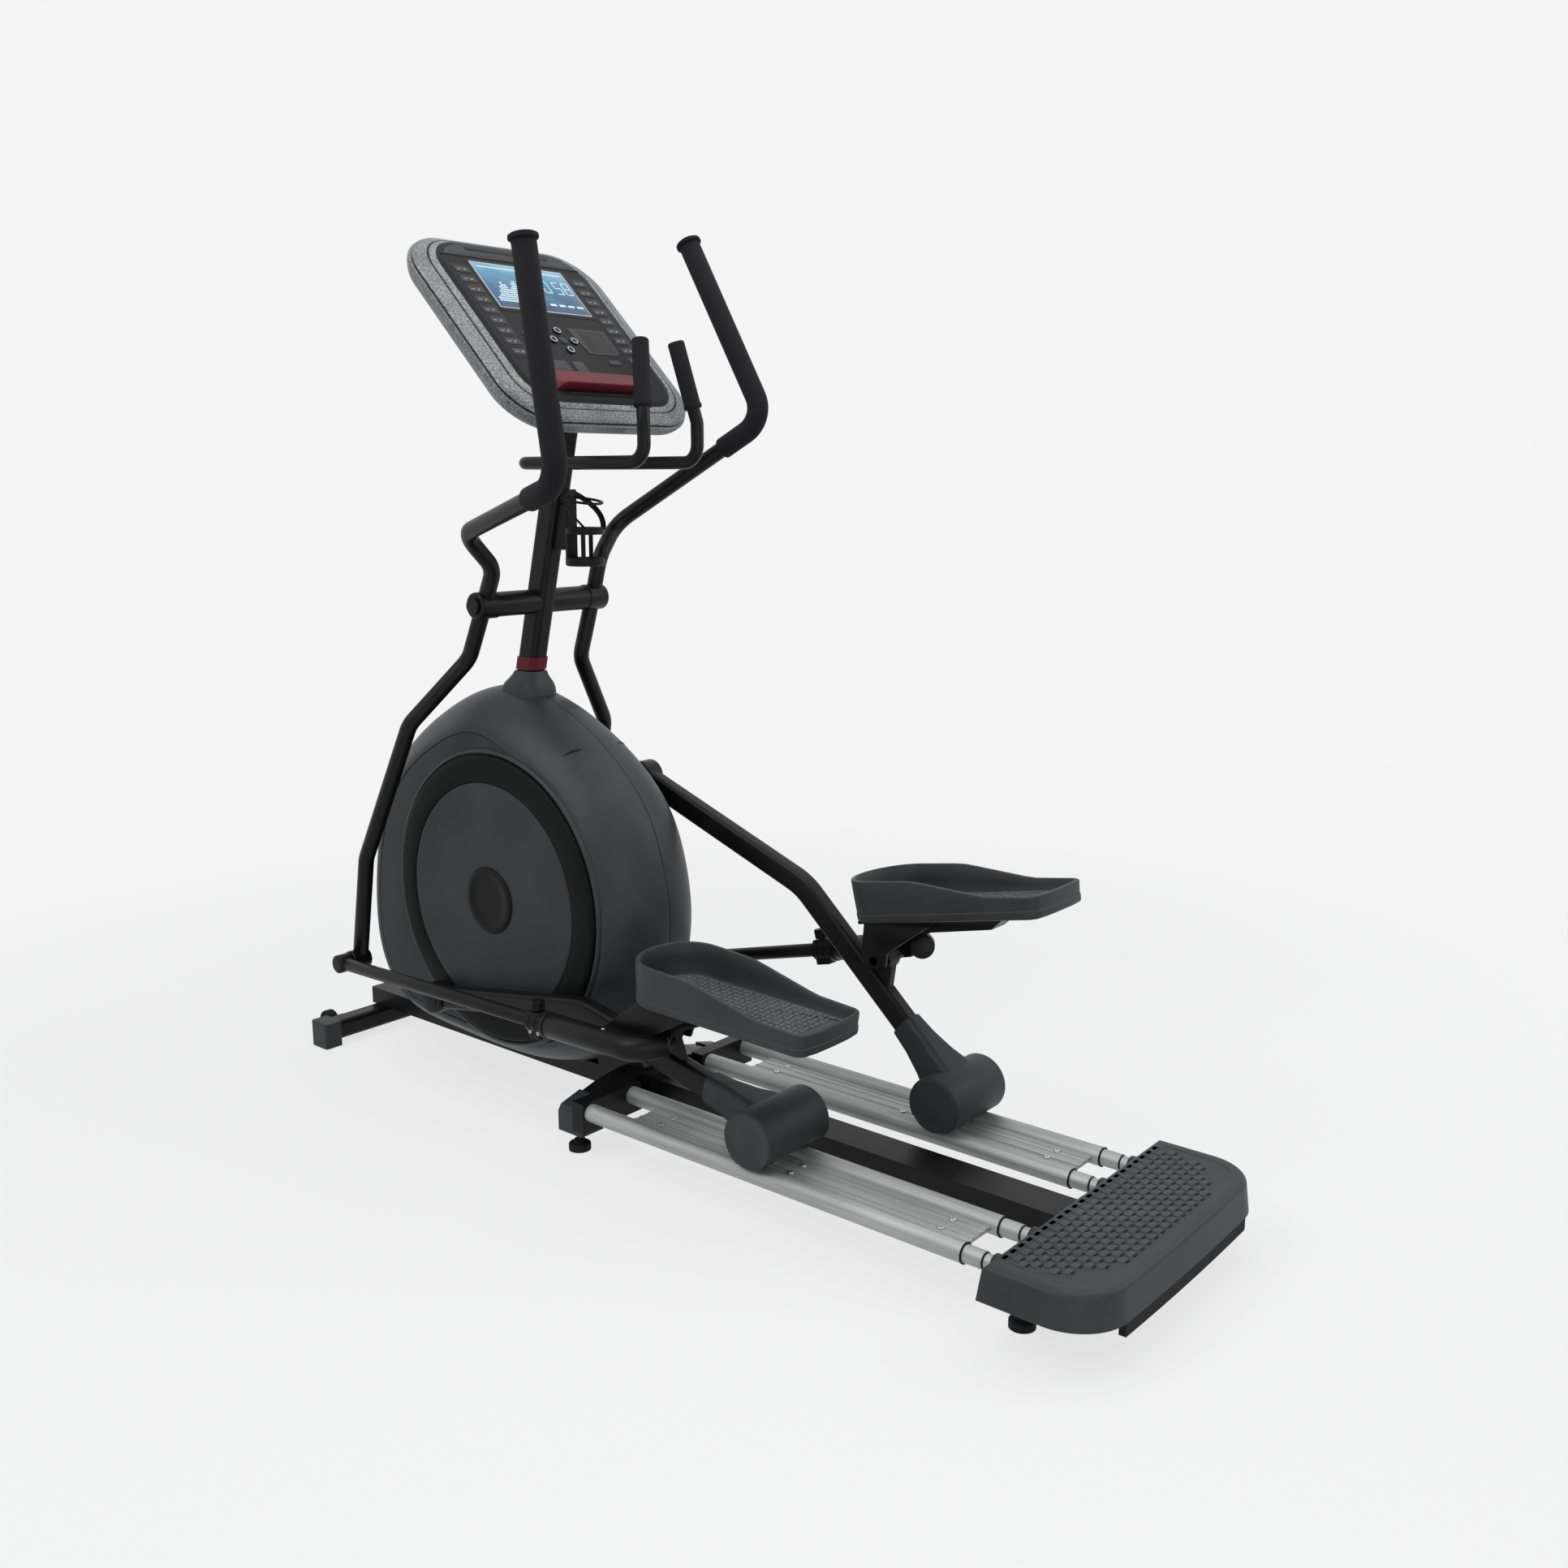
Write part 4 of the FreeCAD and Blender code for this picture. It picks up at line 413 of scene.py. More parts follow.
class Finish(Enum):
    """The finishes of the machine, each made once and shared."""

    FRAME = PowderCoat("black_powder", (0.0042, 0.0042, 0.0045))
    SHELL = MouldedPlastic("shroud_charcoal", (0.036, 0.038, 0.0405), roughness=0.42)
    # painted shade: the shroud's side panel is the shell's plastic, painted darker and bluer for the
    # shade on its flat side
    PANEL = MouldedPlastic("panel_charcoal", (0.027, 0.029, 0.033), roughness=0.5)
    DISC = MouldedPlastic("disc_grey", (0.031, 0.034, 0.038), roughness=0.55)
    DISC_RIM = MouldedPlastic("disc_rim", (0.006, 0.0063, 0.0066), roughness=0.52, specular=0.08)
    TRAY = MouldedPlastic("tray_grey", (0.033, 0.035, 0.038), roughness=0.46)
    TREAD = MouldedPlastic("tread_grey", (0.065, 0.067, 0.068), roughness=0.6, grain=500.0, mottle=0.35)
    PADS = MouldedPlastic("step_pads", (0.05, 0.053, 0.057), roughness=0.5, mottle=0.3)
    STUD = MouldedPlastic("tread_stud", (0.12, 0.122, 0.125), roughness=0.5)
    COVER = MouldedPlastic("cover_grey", (0.026, 0.028, 0.031), roughness=0.5)
    BLACK = MouldedPlastic("black_plastic", (0.0046, 0.0046, 0.005), roughness=0.42, specular=0.13)
    FACE = MouldedPlastic("console_face", (0.0095, 0.0095, 0.0107), roughness=0.45, specular=0.09)
    PAD = MouldedPlastic("membrane_pad", (0.03, 0.0305, 0.033), roughness=0.5)
    MESH = MouldedPlastic("speaker_mesh", (0.055, 0.055, 0.057), roughness=0.6, mottle=0.4)
    SILVER = SilverFleck("console_silver")
    BEZEL = SilverFleck("bezel_silver", (0.175, 0.18, 0.185))
    RED = MouldedPlastic("dark_red", (0.105, 0.007, 0.014), roughness=0.45, specular=0.2)
    FOAM = Foam("foam_black")
    RAIL = DrawnAluminium("drawn_rail")
    STEEL = BrightSteel("plated_steel")
    IRON = BrightSteel("turned_iron", (0.22, 0.22, 0.22), 0.4)
    RUBBER = Rubber("black_rubber")
    SCREEN = Backlit("display_blue", (-0.7071, 0, 0.7071), 1.4100, 1.5380)
    INK = Printed("pale_ink", (0.5, 0.51, 0.52))
    LIT = Printed("display_mark", (0.62, 0.8, 0.88), glow=0.15)

    def material(self) -> bpy.types.Material:
        """The finish's material, made on first use."""
        return bpy.data.materials.get(self.value.name) or self.value.make()


# ---------------------------------------------------------------- meshes
@dataclass
class Shape:
    """Points and faces, worked out as whole arrays."""

    points: Array
    faces: list = field(default_factory=list)

    @staticmethod
    def grid(points: Array, close_u: bool = False, close_v: bool = False) -> "Shape":
        """Quads over a (rows, columns, 3) grid, closed round either way."""
        rows, columns = points.shape[:2]
        index = np.arange(rows * columns).reshape(rows, columns)
        if close_u:
            index = np.vstack([index, index[:1]])
        if close_v:
            index = np.hstack([index, index[:, :1]])
        quads = np.stack([index[:-1, :-1], index[1:, :-1], index[1:, 1:], index[:-1, 1:]],
                         -1).reshape(-1, 4)
        return Shape(points.reshape(-1, 3), [quads])

    @staticmethod
    def loft(loops: Sequence[Array], capped: bool = True) -> "Shape":
        """Skins equal closed loops; caps close to each end loop's centre."""
        rows = list(loops)
        if capped:
            rows.insert(0, np.repeat(rows[0].mean(0)[None], len(rows[0]), 0))
            rows.append(np.repeat(rows[-1].mean(0)[None], len(rows[-1]), 0))
        return Shape.grid(np.stack(rows), close_v=True)

    def __add__(self, other: "Shape") -> "Shape":
        """Both shapes as one."""
        shift = len(self.points)
        return Shape(np.vstack([self.points, other.points]),
                     self.faces + [f + shift for f in other.faces])

    def moved(self, offset: Sequence[float]) -> "Shape":
        """The shape shifted."""
        return Shape(self.points + np.asarray(offset), self.faces)

    def mapped(self, matrix: Array, offset: Sequence[float] = (0, 0, 0)) -> "Shape":
        """The shape with its axes sent to the matrix's columns, then shifted."""
        return Shape(self.points @ np.asarray(matrix).T + np.asarray(offset), self.faces)

    def upright(self) -> "Shape":
        """A plate drawn over a side view (x, z), stood up so that its thickness runs along y."""
        return self.mapped([[1, 0, 0], [0, 0, 1], [0, 1, 0]])

    def mirrored(self) -> "Shape":
        """The shape on the machine's other side."""
        return Shape(self.points * (1, -1, 1), [f[:, ::-1] for f in self.faces])


def together(shapes: Iterable[Shape]) -> Shape:
    """Joins shapes into one."""
    shapes = list(shapes)
    total = shapes[0]
    for shape in shapes[1:]:
        total = total + shape
    return total


def add_piece(name: str, shape: Shape, body: str, finish: Finish, slot: str = "",
              replaces: Sequence[str] = (), sharp: float = 38.0) -> bpy.types.Object:
    """Puts a shape into the scene as a piece that rides on a body.

    Args:
        name: piece name.
        shape: its points and faces, in place.
        body: the CAD body it moves with.
        finish: its finish.
        slot: the record's material slot; not used.
        replaces: CAD nodes it stands for.
        sharp: edges over this angle, in degrees, stay sharp.

    Returns:
        The new object.
    """
    mesh = bpy.data.meshes.new(name)
    faces = [tuple(row) for block in shape.faces for row in block.tolist()]
    mesh.from_pydata(shape.points.tolist(), [], faces)
    work = bmesh.new()
    work.from_mesh(mesh)
    bmesh.ops.remove_doubles(work, verts=work.verts, dist=2e-6)
    bmesh.ops.dissolve_degenerate(work, edges=work.edges, dist=1e-7)
    bmesh.ops.recalc_face_normals(work, faces=work.faces)
    work.to_mesh(mesh)
    work.free()
    mesh.polygons.foreach_set("use_smooth", np.ones(len(mesh.polygons), bool))
    mesh.set_sharp_from_angle(angle=math.radians(sharp))
    mesh.materials.append(finish.material())
    piece = bpy.data.objects.new(name, mesh)
    bpy.context.scene.collection.objects.link(piece)
    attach(piece, body)
    if replaces:
        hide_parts(*replaces)
    LOG.info("%s: %d faces on %s", name, len(mesh.polygons), body)
    return piece


def adder(body: str, suffix: str = "") -> Callable[..., bpy.types.Object]:
    """A call that adds pieces to one body, with a suffix on each name."""
    def add(name: str, shape: Shape, finish: Finish, slot: str, *replaced: str, sharp: float = 38.0):
        """Adds one piece; what follows the slot are the CAD nodes it stands for."""
        return add_piece(name + suffix, shape, body, finish, slot, replaced, sharp)

    return add


# ---------------------------------------------------------------- outlines and runs
def circle(radius: float, count: int = 40) -> Array:
    """Points round a circle: (r cos t, r sin t)."""
    turn = np.linspace(0, 2 * np.pi, count, endpoint=False)
    return radius * np.stack([np.cos(turn), np.sin(turn)], -1)


def arc(a: Sequence[float], m: Sequence[float], b: Sequence[float], count: int) -> Array:
    """Points on the circle through three points, from the first past the second to the third."""
    a, m, b = (np.asarray(p, float) for p in (a, m, b))
    rhs = np.array([(m @ m - a @ a) / 2, (b @ b - a @ a) / 2])
    centre = np.linalg.solve(np.array([m - a, b - a]), rhs)
    radius = np.linalg.norm(a - centre)
    t0, tm, t1 = (math.atan2(p[1] - centre[1], p[0] - centre[0]) for p in (a, m, b))
    turn = (t1 - t0) % (2 * np.pi)
    if (tm - t0) % (2 * np.pi) > turn:
        turn -= 2 * np.pi
    t = t0 + np.linspace(0, turn, count)
    return centre + radius * np.stack([np.cos(t), np.sin(t)], -1)


def at_height(loop: Array, z: Union[float, Array]) -> Array:
    """A flat outline's points at one height, or each at its own."""
    return np.column_stack([loop, np.broadcast_to(z, len(loop))])


def rounded_box(width: float, height: float, radius: float, per_corner: int = 8) -> Array:
    """Closed rectangle outline with quarter-circle corners, counter-clockwise."""
    turn = np.linspace(0, np.pi / 2, per_corner)
    arcs = []
    for k, (sx, sy) in enumerate(((1, 1), (-1, 1), (-1, -1), (1, -1))):
        angle = turn + k * np.pi / 2
        centre = np.array([sx * (width / 2 - radius), sy * (height / 2 - radius)])
        arcs.append(centre + radius * np.stack([np.cos(angle), np.sin(angle)], -1))
    return np.vstack(arcs)


def shrunk(outline: Array, inset: float) -> Array:
    """Moves each outline point inwards along its own normal."""
    tangent = np.roll(outline, -1, 0) - np.roll(outline, 1, 0)
    tangent /= np.maximum(np.linalg.norm(tangent, axis=1, keepdims=True), 1e-12)
    return outline - inset * np.stack([tangent[:, 1], -tangent[:, 0]], -1)


def plate(outline: Array, low: float, high: float, edge: float = 0.001, steps: int = 4) -> Shape:
    """Flat plate over an outline in xy, from z low to high, with rounded top and foot edges.

    The edge is a quarter circle: inset e(1 - sin t), height e(1 - cos t).
    """
    turn = np.linspace(0, np.pi / 2, steps)
    foot = list(zip(edge * (1 - np.sin(turn)), edge * (1 - np.cos(turn))))
    loops = [at_height(shrunk(outline, inset), low + lift) for inset, lift in foot]
    loops += [at_height(shrunk(outline, inset), high - lift) for inset, lift in foot[::-1]]
    return Shape.loft(loops)


def bent_path(corners: Sequence[Sequence[float]], bend: float, per_arc: int = 10) -> Array:
    """Straight runs joined by tangent arcs of one radius."""
    pts = [np.asarray(p, float) for p in corners]
    path = [pts[0]]
    for before, corner, after in zip(pts, pts[1:], pts[2:]):
        a = (before - corner) / np.linalg.norm(before - corner)
        b = (after - corner) / np.linalg.norm(after - corner)
        half = math.acos(float(np.clip(a @ b, -1, 1))) / 2
        back = bend / math.tan(half)
        middle = (a + b) / np.linalg.norm(a + b)
        centre = corner + middle * bend / math.sin(half)
        u = corner + a * back - centre
        v = corner + b * back - centre
        angle = math.acos(float(np.clip(u @ v / bend ** 2, -1, 1)))
        for t in np.linspace(0, 1, per_arc):
            mixed = math.sin((1 - t) * angle) * u + math.sin(t * angle) * v
            path.append(centre + mixed / math.sin(angle))
    path.append(pts[-1])
    return np.array(path)


def sweep(path: Array, section: Array, scales: Optional[Array] = None, side: Sequence[float] = (0, 1, 0),
          capped: bool = True) -> Shape:
    """Carries a section along a path, its first axis kept as near to side as the path lets it.

    Args:
        path: (n, 3) centre line.
        section: (m, 2) outline; x runs along the side axis, y along the third.
        scales: size of the section at each path point.
        side: the direction the section's x axis starts from.
        capped: whether both ends are closed.

    Returns:
        The tube or bar.
    """
    ahead = np.gradient(path, axis=0)
    ahead /= np.linalg.norm(ahead, axis=1, keepdims=True)
    across = np.zeros_like(path)
    current = np.asarray(side, float)
    for i, direction in enumerate(ahead):
        current = current - direction * (current @ direction)
        current = current / np.linalg.norm(current)
        across[i] = current
    third = np.cross(ahead, across)
    size = np.ones(len(path)) if scales is None else scales
    rings = (path[:, None] + size[:, None, None] * (section[None, :, :1] * across[:, None]
                                                    + section[None, :, 1:] * third[:, None]))
    return Shape.loft(list(rings), capped)


def tube(corners: Sequence[Sequence[float]], radius: float, bend: float, count: int = 32,
         side: Sequence[float] = (0, 1, 0), round_end: float = 0.002) -> Shape:
    """Round bar along bent runs, its two ends turned in by a small radius."""
    path = bent_path(corners, bend, 12)
    first, last = path[1] - path[0], path[-1] - path[-2]
    first, last = first / np.linalg.norm(first), last / np.linalg.norm(last)
    ends = np.array([0.0, 0.3, 1.0]) * round_end
    path = np.vstack([path[0] + first * ends[:, None], path[1:-1], path[-1] - last * ends[::-1, None]])
    scales = np.ones(len(path))
    scales[0] = scales[-1] = 1 - round_end / radius
    scales[1] = scales[-2] = 1 - 0.3 * round_end / radius
    return sweep(path, circle(radius, count), scales, side)


def lathe(profile: Sequence[Sequence[float]], centre: Sequence[float], axis: Sequence[float] = (0, 1, 0),
          count: int = 96) -> Shape:
    """Turns (radius, distance along the axis) points about an axis through the centre."""
    axis_v = np.asarray(axis, float) / np.linalg.norm(axis)
    helper = np.array([1.0, 0, 0]) if abs(axis_v[0]) < 0.9 else np.array([0, 0, 1.0])
    u = np.cross(axis_v, helper)
    u /= np.linalg.norm(u)
    v = np.cross(axis_v, u)
    turn = np.linspace(0, 2 * np.pi, count, endpoint=False)
    rows = np.asarray(profile, float)
    ring = np.cos(turn)[:, None] * u + np.sin(turn)[:, None] * v
    points = np.asarray(centre) + rows[:, None, :1] * ring[None] + rows[:, None, 1:] * axis_v
    return Shape.grid(points, close_v=True)


def studs(places: Array, z: float, half: Sequence[float], height: float,
          along: Union[Array, Sequence[float]] = (1.0, 0.0, 0.0)) -> Shape:
    """Many small chamfered blocks on a level face.

    Args:
        places: (n, 2) centres.
        z: the face's height.
        half: half length and half width.
        height: how far a block stands up.
        along: the blocks' long direction, one for all or one each.

    Returns:
        All blocks as one shape.
    """
    count, up = len(places), np.array((0.0, 0.0, 1.0))
    centres = at_height(places, z)
    along = np.broadcast_to(along, (count, 3))
    across = np.cross(up, along)
    corners = np.array([(-1, -1), (1, -1), (1, 1), (-1, 1)], float) * half
    rows = []
    for inset, lift in ((1.0, 0.0), (1.0, 0.5), (0.72, 1.0)):
        flat = corners * inset
        rows.append(centres[:, None] + flat[None, :, :1] * along[:, None]
                    + flat[None, :, 1:] * across[:, None] + up * height * lift)
    walls = [[k + r * 4, (k + 1) % 4 + r * 4, (k + 1) % 4 + r * 4 + 4, k + r * 4 + 4]
             for r in range(2) for k in range(4)]
    faces = np.array(walls + [[8, 9, 10, 11], [3, 2, 1, 0]])
    base = np.arange(count)[:, None, None] * 12
    return Shape(np.stack(rows, 1).reshape(-1, 3), [(base + faces[None]).reshape(-1, 4)])


def closed_spline(points: Sequence[Sequence[float]], per_span: int = 10) -> Array:
    """Closed Catmull-Rom curve: each span is the cubic through its two ends and their neighbours."""
    p1 = np.asarray(points, float)
    p0, p2, p3 = np.roll(p1, 1, 0), np.roll(p1, -1, 0), np.roll(p1, -2, 0)
    t = np.linspace(0, 1, per_span, endpoint=False)[None, :, None]
    a, b, c, d = (p[:, None] for p in (p0, p1, p2, p3))
    curve = 0.5 * (2 * b + (c - a) * t + (2 * a - 5 * b + 4 * c - d) * t ** 2
                   + (3 * b - a - 3 * c + d) * t ** 3)
    return curve.reshape(-1, 2)


def turned(shape: Shape, origin: Sequence[float], degrees: float) -> Shape:
    """Turns a side-view shape from +x towards +z and moves it to origin (x, z)."""
    c, s = math.cos(math.radians(degrees)), math.sin(math.radians(degrees))
    return shape.mapped([[c, 0, -s], [0, 1, 0], [s, 0, c]], (origin[0], 0, origin[1]))


@dataclass(frozen=True)
class Post:
    """The leaning post's centre line in side view, and its section."""

    x: float = -0.418
    z: float = 1.053
    slope: float = 0.2485
    length: float = 0.054
    width: float = 0.042
    corner: float = 0.012

    def at(self, z: float) -> float:
        """The centre line's x at a height."""
        return self.x + (z - self.z) * self.slope

    def ring(self, z: float, margin: float, corner_share: float = 1.0) -> Array:
        """The section's outline at a height, wider by a margin all round."""
        loop = rounded_box(self.length + 2 * margin, self.width + 2 * margin,
                           self.corner + max(margin, 0) * corner_share)
        return at_height(loop + (self.at(z), 0), z)


POST = Post()


class Side(Enum):
    """The two sides of the machine."""

    LEFT = -1
    RIGHT = 1

    @property
    def word(self) -> str:
        """The side's name in node names."""
        return self.name.lower()

    def of(self, shape: Shape) -> Shape:
        """A shape made for the right side, on this side."""
        return shape if self is Side.RIGHT else shape.mirrored()


@dataclass
class Linkage:
    """One side's linkage at rest, read from the frame's joints."""

    side: Side
    joints: dict
    swing_radius: float = 0.87
    link_length: float = 0.878
    arm_pivot: tuple = (-0.2695, 0.107)

    def __post_init__(self) -> None:
        """Works out the arm, link and swing angles in degrees."""
        word = self.side.word
        self.axle = self._spot(self.joints["arm_tilt_" + word])
        self.pivot = self._spot(self.joints["pedal_tilt_" + word])
        self.swing_pivot = self._spot(self.joints["swing_" + word])
        reach = self.pivot - self.axle
        self.arm = math.degrees(math.atan2(reach[1], reach[0])
                                - math.atan2(self.arm_pivot[1], self.arm_pivot[0]))
        self.arm = (self.arm + 180) % 360 - 180
        gap = self.pivot - self.swing_pivot
        far = float(np.linalg.norm(gap))
        unit = gap / far
        along = (self.swing_radius ** 2 - self.link_length ** 2 + far ** 2) / (2 * far)
        across = math.sqrt(self.swing_radius ** 2 - along ** 2)
        self.joint = self.swing_pivot + unit * along + np.array([unit[1], -unit[0]]) * across
        hang = self.joint - self.swing_pivot
        self.swing = math.degrees(math.atan2(hang[0], -hang[1]))
        run = self.pivot - self.joint
        self.link = math.degrees(math.atan2(run[1], run[0]))

    @staticmethod
    def _spot(joint: dict) -> Array:
        """A joint's place in side view."""
        return np.array([joint["pos_m"][0], joint["pos_m"][2]])


# ---------------------------------------------------------------- swing arms
@dataclass
class SwingArm:
    """Tube from the grip, past the pivot hub, down to the link joint."""

    linkage: Linkage
    radius: float = 0.0165
    foam_radius: float = 0.022
    up: tuple = ((0, .148, 0), (.008, .156, .086), (-.02, .226, .15), (.292, .333, .398),
                 (.058, .329, .73))
    down: tuple = ((0, .148, 0), (-.016, .134, -.132), (-.032, .231, -.286), (-.06, .231, -.64),
                   (0, .231, -.87))
    bend: float = 0.055
    foam_below: float = 0.115

    def build(self) -> None:
        """Makes the tube, hub, foot, foam and end cap."""
        word = self.linkage.side.word
        add = adder("swing_arm_" + word, "_" + word)
        steel = together([tube(self.up, self.radius, self.bend), tube(self.down, self.radius, self.bend),
                          self._hub(), self._foot()])
        add("swing_tube", self._placed(steel), Finish.FRAME, "frame_black", "swing_arm_" + word)
        add("swing_foam", self._placed(self._foam()), Finish.FOAM, "foam", "swing_grip_" + word)
        add("swing_bolt", self._placed(self._bolts()), Finish.BLACK, "frame_black")
        LOG.info("swing arm %s at %.1f degrees", word, self.linkage.swing)

    def _placed(self, shape: Shape) -> Shape:
        """From the arm's own frame to the machine."""
        return turned(self.linkage.side.of(shape), self.linkage.swing_pivot, self.linkage.swing)

    def _hub(self) -> Shape:
        """Pivot hub: a drum with rounded rims."""
        return lathe([(0, .1205), (.0255, .1205), (.027, .122), (.027, .168), (.0262, .1705),
                      (.024, .172), (0.018, .172), (.0, .172)], (0, 0, 0))

    def _foot(self) -> Shape:
        """Round joint boss at the arm's lower end."""
        profile = [(0, .2145), (.02, .2145), (.022, .2165), (.022, .2565), (.02, .2585), (0, .2585)]
        return lathe(profile, (0, 0, -self.linkage.swing_radius))

    def _bolts(self) -> Shape:
        """Domed cap over the joint bolt's inner end."""
        profile = [(0, .2065), (.007, .2068), (.0105, .209), (.0115, .2145)]
        return lathe(profile, (0, 0, -self.linkage.swing_radius), count=32)

    def _foam(self) -> Shape:
        """Foam sleeve over the upper run and elbow, and its flanged cap."""
        before, elbow, top = (np.array(p) for p in self.up[2:])
        start = elbow + (before - elbow) / np.linalg.norm(before - elbow) * self.foam_below
        ahead = (top - elbow) / np.linalg.norm(top - elbow)
        sleeve = tube([start, elbow, top + ahead * 0.006], self.foam_radius, self.bend, 40,
                      round_end=0.004)
        cap = lathe([(0, 0), (.0245, 0), (.0265, .0015), (.0268, .005), (.0262, .008), (.022, .0105),
                     (.012, .0118), (0, .012)], top + ahead * 0.003, ahead, 48)
        return sleeve + cap


# ---------------------------------------------------------------- pedal arms
@dataclass
class PedalArm:
    """Bent bar from the crank pin to the roller axle, with its boot and roller cover."""

    linkage: Linkage
    length: float = 0.9565
    bend_at: tuple = (0.46, 0.092)
    bend_radius: float = 0.14
    width: float = 0.034
    height: float = 0.046
    inner: float = 0.150
    outer: float = 0.184
    pivot_at: tuple = (0.687, 0.107)
    cover_radius: float = 0.0546
    cover_in: float = 0.0845
    cover_out: float = 0.2495
    window: float = 0.0503
    window_turn: float = 17.3
    window_extra: float = 20.1

    def build(self) -> None:
        """Makes the bar, the boot, the barrel and its end discs."""
        word = self.linkage.side.word
        add = adder("pedal_arm_" + word, "_" + word)
        steel = together([self._bar(), self._front_hub(), self._pivot_boss()])
        add("arm_bar", self._placed(steel), Finish.FRAME, "frame_black", "pedal_arm_" + word)
        add("arm_cap", self._placed(self._front_cap()), Finish.BLACK, "frame_black")
        add("roller_barrel", self._placed(self._barrel()), Finish.COVER, "step_plastic",
            "roller_cover_" + word)
        add("roller_boot", self._placed(self._boot()), Finish.COVER, "step_plastic")
        add("roller_disc", self._placed(self._discs()), Finish.TRAY, "step_plastic")

    def _placed(self, shape: Shape) -> Shape:
        """From axle-centred side-view axes to the machine."""
        return turned(self.linkage.side.of(shape), self.linkage.axle, self.linkage.arm)

    def _at(self, x: float, z: float, y: float = 0.0) -> tuple:
        """A point given from the crank pin, from the axle instead."""
        return (x - self.length, y, z)

    def _bar(self) -> Shape:
        """Rounded rectangular tube along the bent line."""
        middle = (self.inner + self.outer) / 2
        path = bent_path([self._at(0.004, 0.001, middle), self._at(*self.bend_at, middle),
                          self._at(self.length - 0.016, 0.003, middle)], self.bend_radius, 24)
        return sweep(path, rounded_box(self.width, self.height, 0.009))

    def _front_hub(self) -> Shape:
        """Drum at the crank pin."""
        return lathe([(0, .1503), (.031, .1503), (.034, .153), (.034, .186), (.0335, .188),
                      (.031, .1905), (.026, .191), (.0, .191)], self._at(0, 0))

    def _front_cap(self) -> Shape:
        """Shallow domed cap set in the drum's outer face."""
        return lathe([(.0232, .1905), (.0225, .1922), (.016, .1932), (0, .1935)], self._at(0, 0))

    def _pivot_boss(self) -> Shape:
        """Boss for the pedal pivot and the gusset under it."""
        x, z = self.pivot_at
        boss = lathe([(0, self.inner), (.0225, self.inner), (.024, self.inner + .0015),
                      (.024, self.outer - .0015), (.0225, self.outer), (0, self.outer)], self._at(x, z))
        outline = np.array([(x - .062, z - .062), (x + .062, z - .084), (x + .02, z + .012),
                            (x - .02, z + .012)])
        flat = plate(outline - (self.length, 0), self.inner + .008, self.outer - .008, 0.0015)
        return boss + flat.upright()

    def _barrel(self) -> Shape:
        """Barrel over the rollers: an arc of wall about the axle, open over the rails.

        The wall is the arc r = const from one side of the window to the other,
        carried across and closed with the same arc a wall's thickness inside.
        """
        middle = math.radians(-90 + self.window_turn)
        half = math.acos(self.window / self.cover_radius) + math.radians(self.window_extra)
        turn = np.linspace(middle + half, middle + 2 * np.pi - half, 72)
        wall, edge = 0.002, 0.003
        profile = [(edge, wall), (0, edge), (edge * .3, edge * .3), (edge, 0)]
        stations = [(self.cover_in + along, self.cover_radius - less) for along, less in profile]
        stations += [(self.cover_out - along, self.cover_radius - less) for along, less in profile[::-1]]
        rows = [np.stack([r * np.cos(turn), np.full_like(turn, y), r * np.sin(turn)], -1)
                for y, r in stations]
        return Shape.grid(np.stack(rows), close_u=True)

    def _discs(self) -> Shape:
        """The two end discs, full circles with a shallow dish, outside the rail."""
        r = self.cover_radius - 0.0035
        shapes = []
        for face, sign in ((self.cover_in, -1), (self.cover_out, 1)):
            rows = [(0, -.0028), (r, -.0028), (r, -.0002), (r - .001, .0006), (r - .004, .0008),
                    (r - .006, -.0004), (r * .5, -.0002), (0, 0)]
            shapes.append(lathe([(a, face + sign * b) for a, b in rows], (0, 0, 0), count=72))
        return together(shapes)

    def _boot(self) -> Shape:
        """Tapered boot from the bar to the barrel."""
        lean = math.atan2(-self.bend_at[1], self.length - self.bend_at[0])
        middle = (self.inner + self.outer) / 2
        ahead = np.array([math.cos(lean), 0, math.sin(lean)])
        stations = ((-.165, .050, .038, .010), (-.162, .055, .043, .012), (-.12, .059, .050, .013),
                    (-.075, .067, .067, .014), (-.045, .076, .084, .015), (-.022, .083, .096, .016))
        loops = []
        up = np.array([-ahead[2], 0, ahead[0]])
        for along, tall, wide, radius in stations:
            outline = rounded_box(wide, tall, radius)
            lift = 0.004 * (1 + along / .165)
            loops.append(ahead * along + np.array([0, middle, 0]) + outline[:, :1] * np.array([0, 1, 0])
                         + (outline[:, 1:] + lift) * up)
        return Shape.loft(loops)


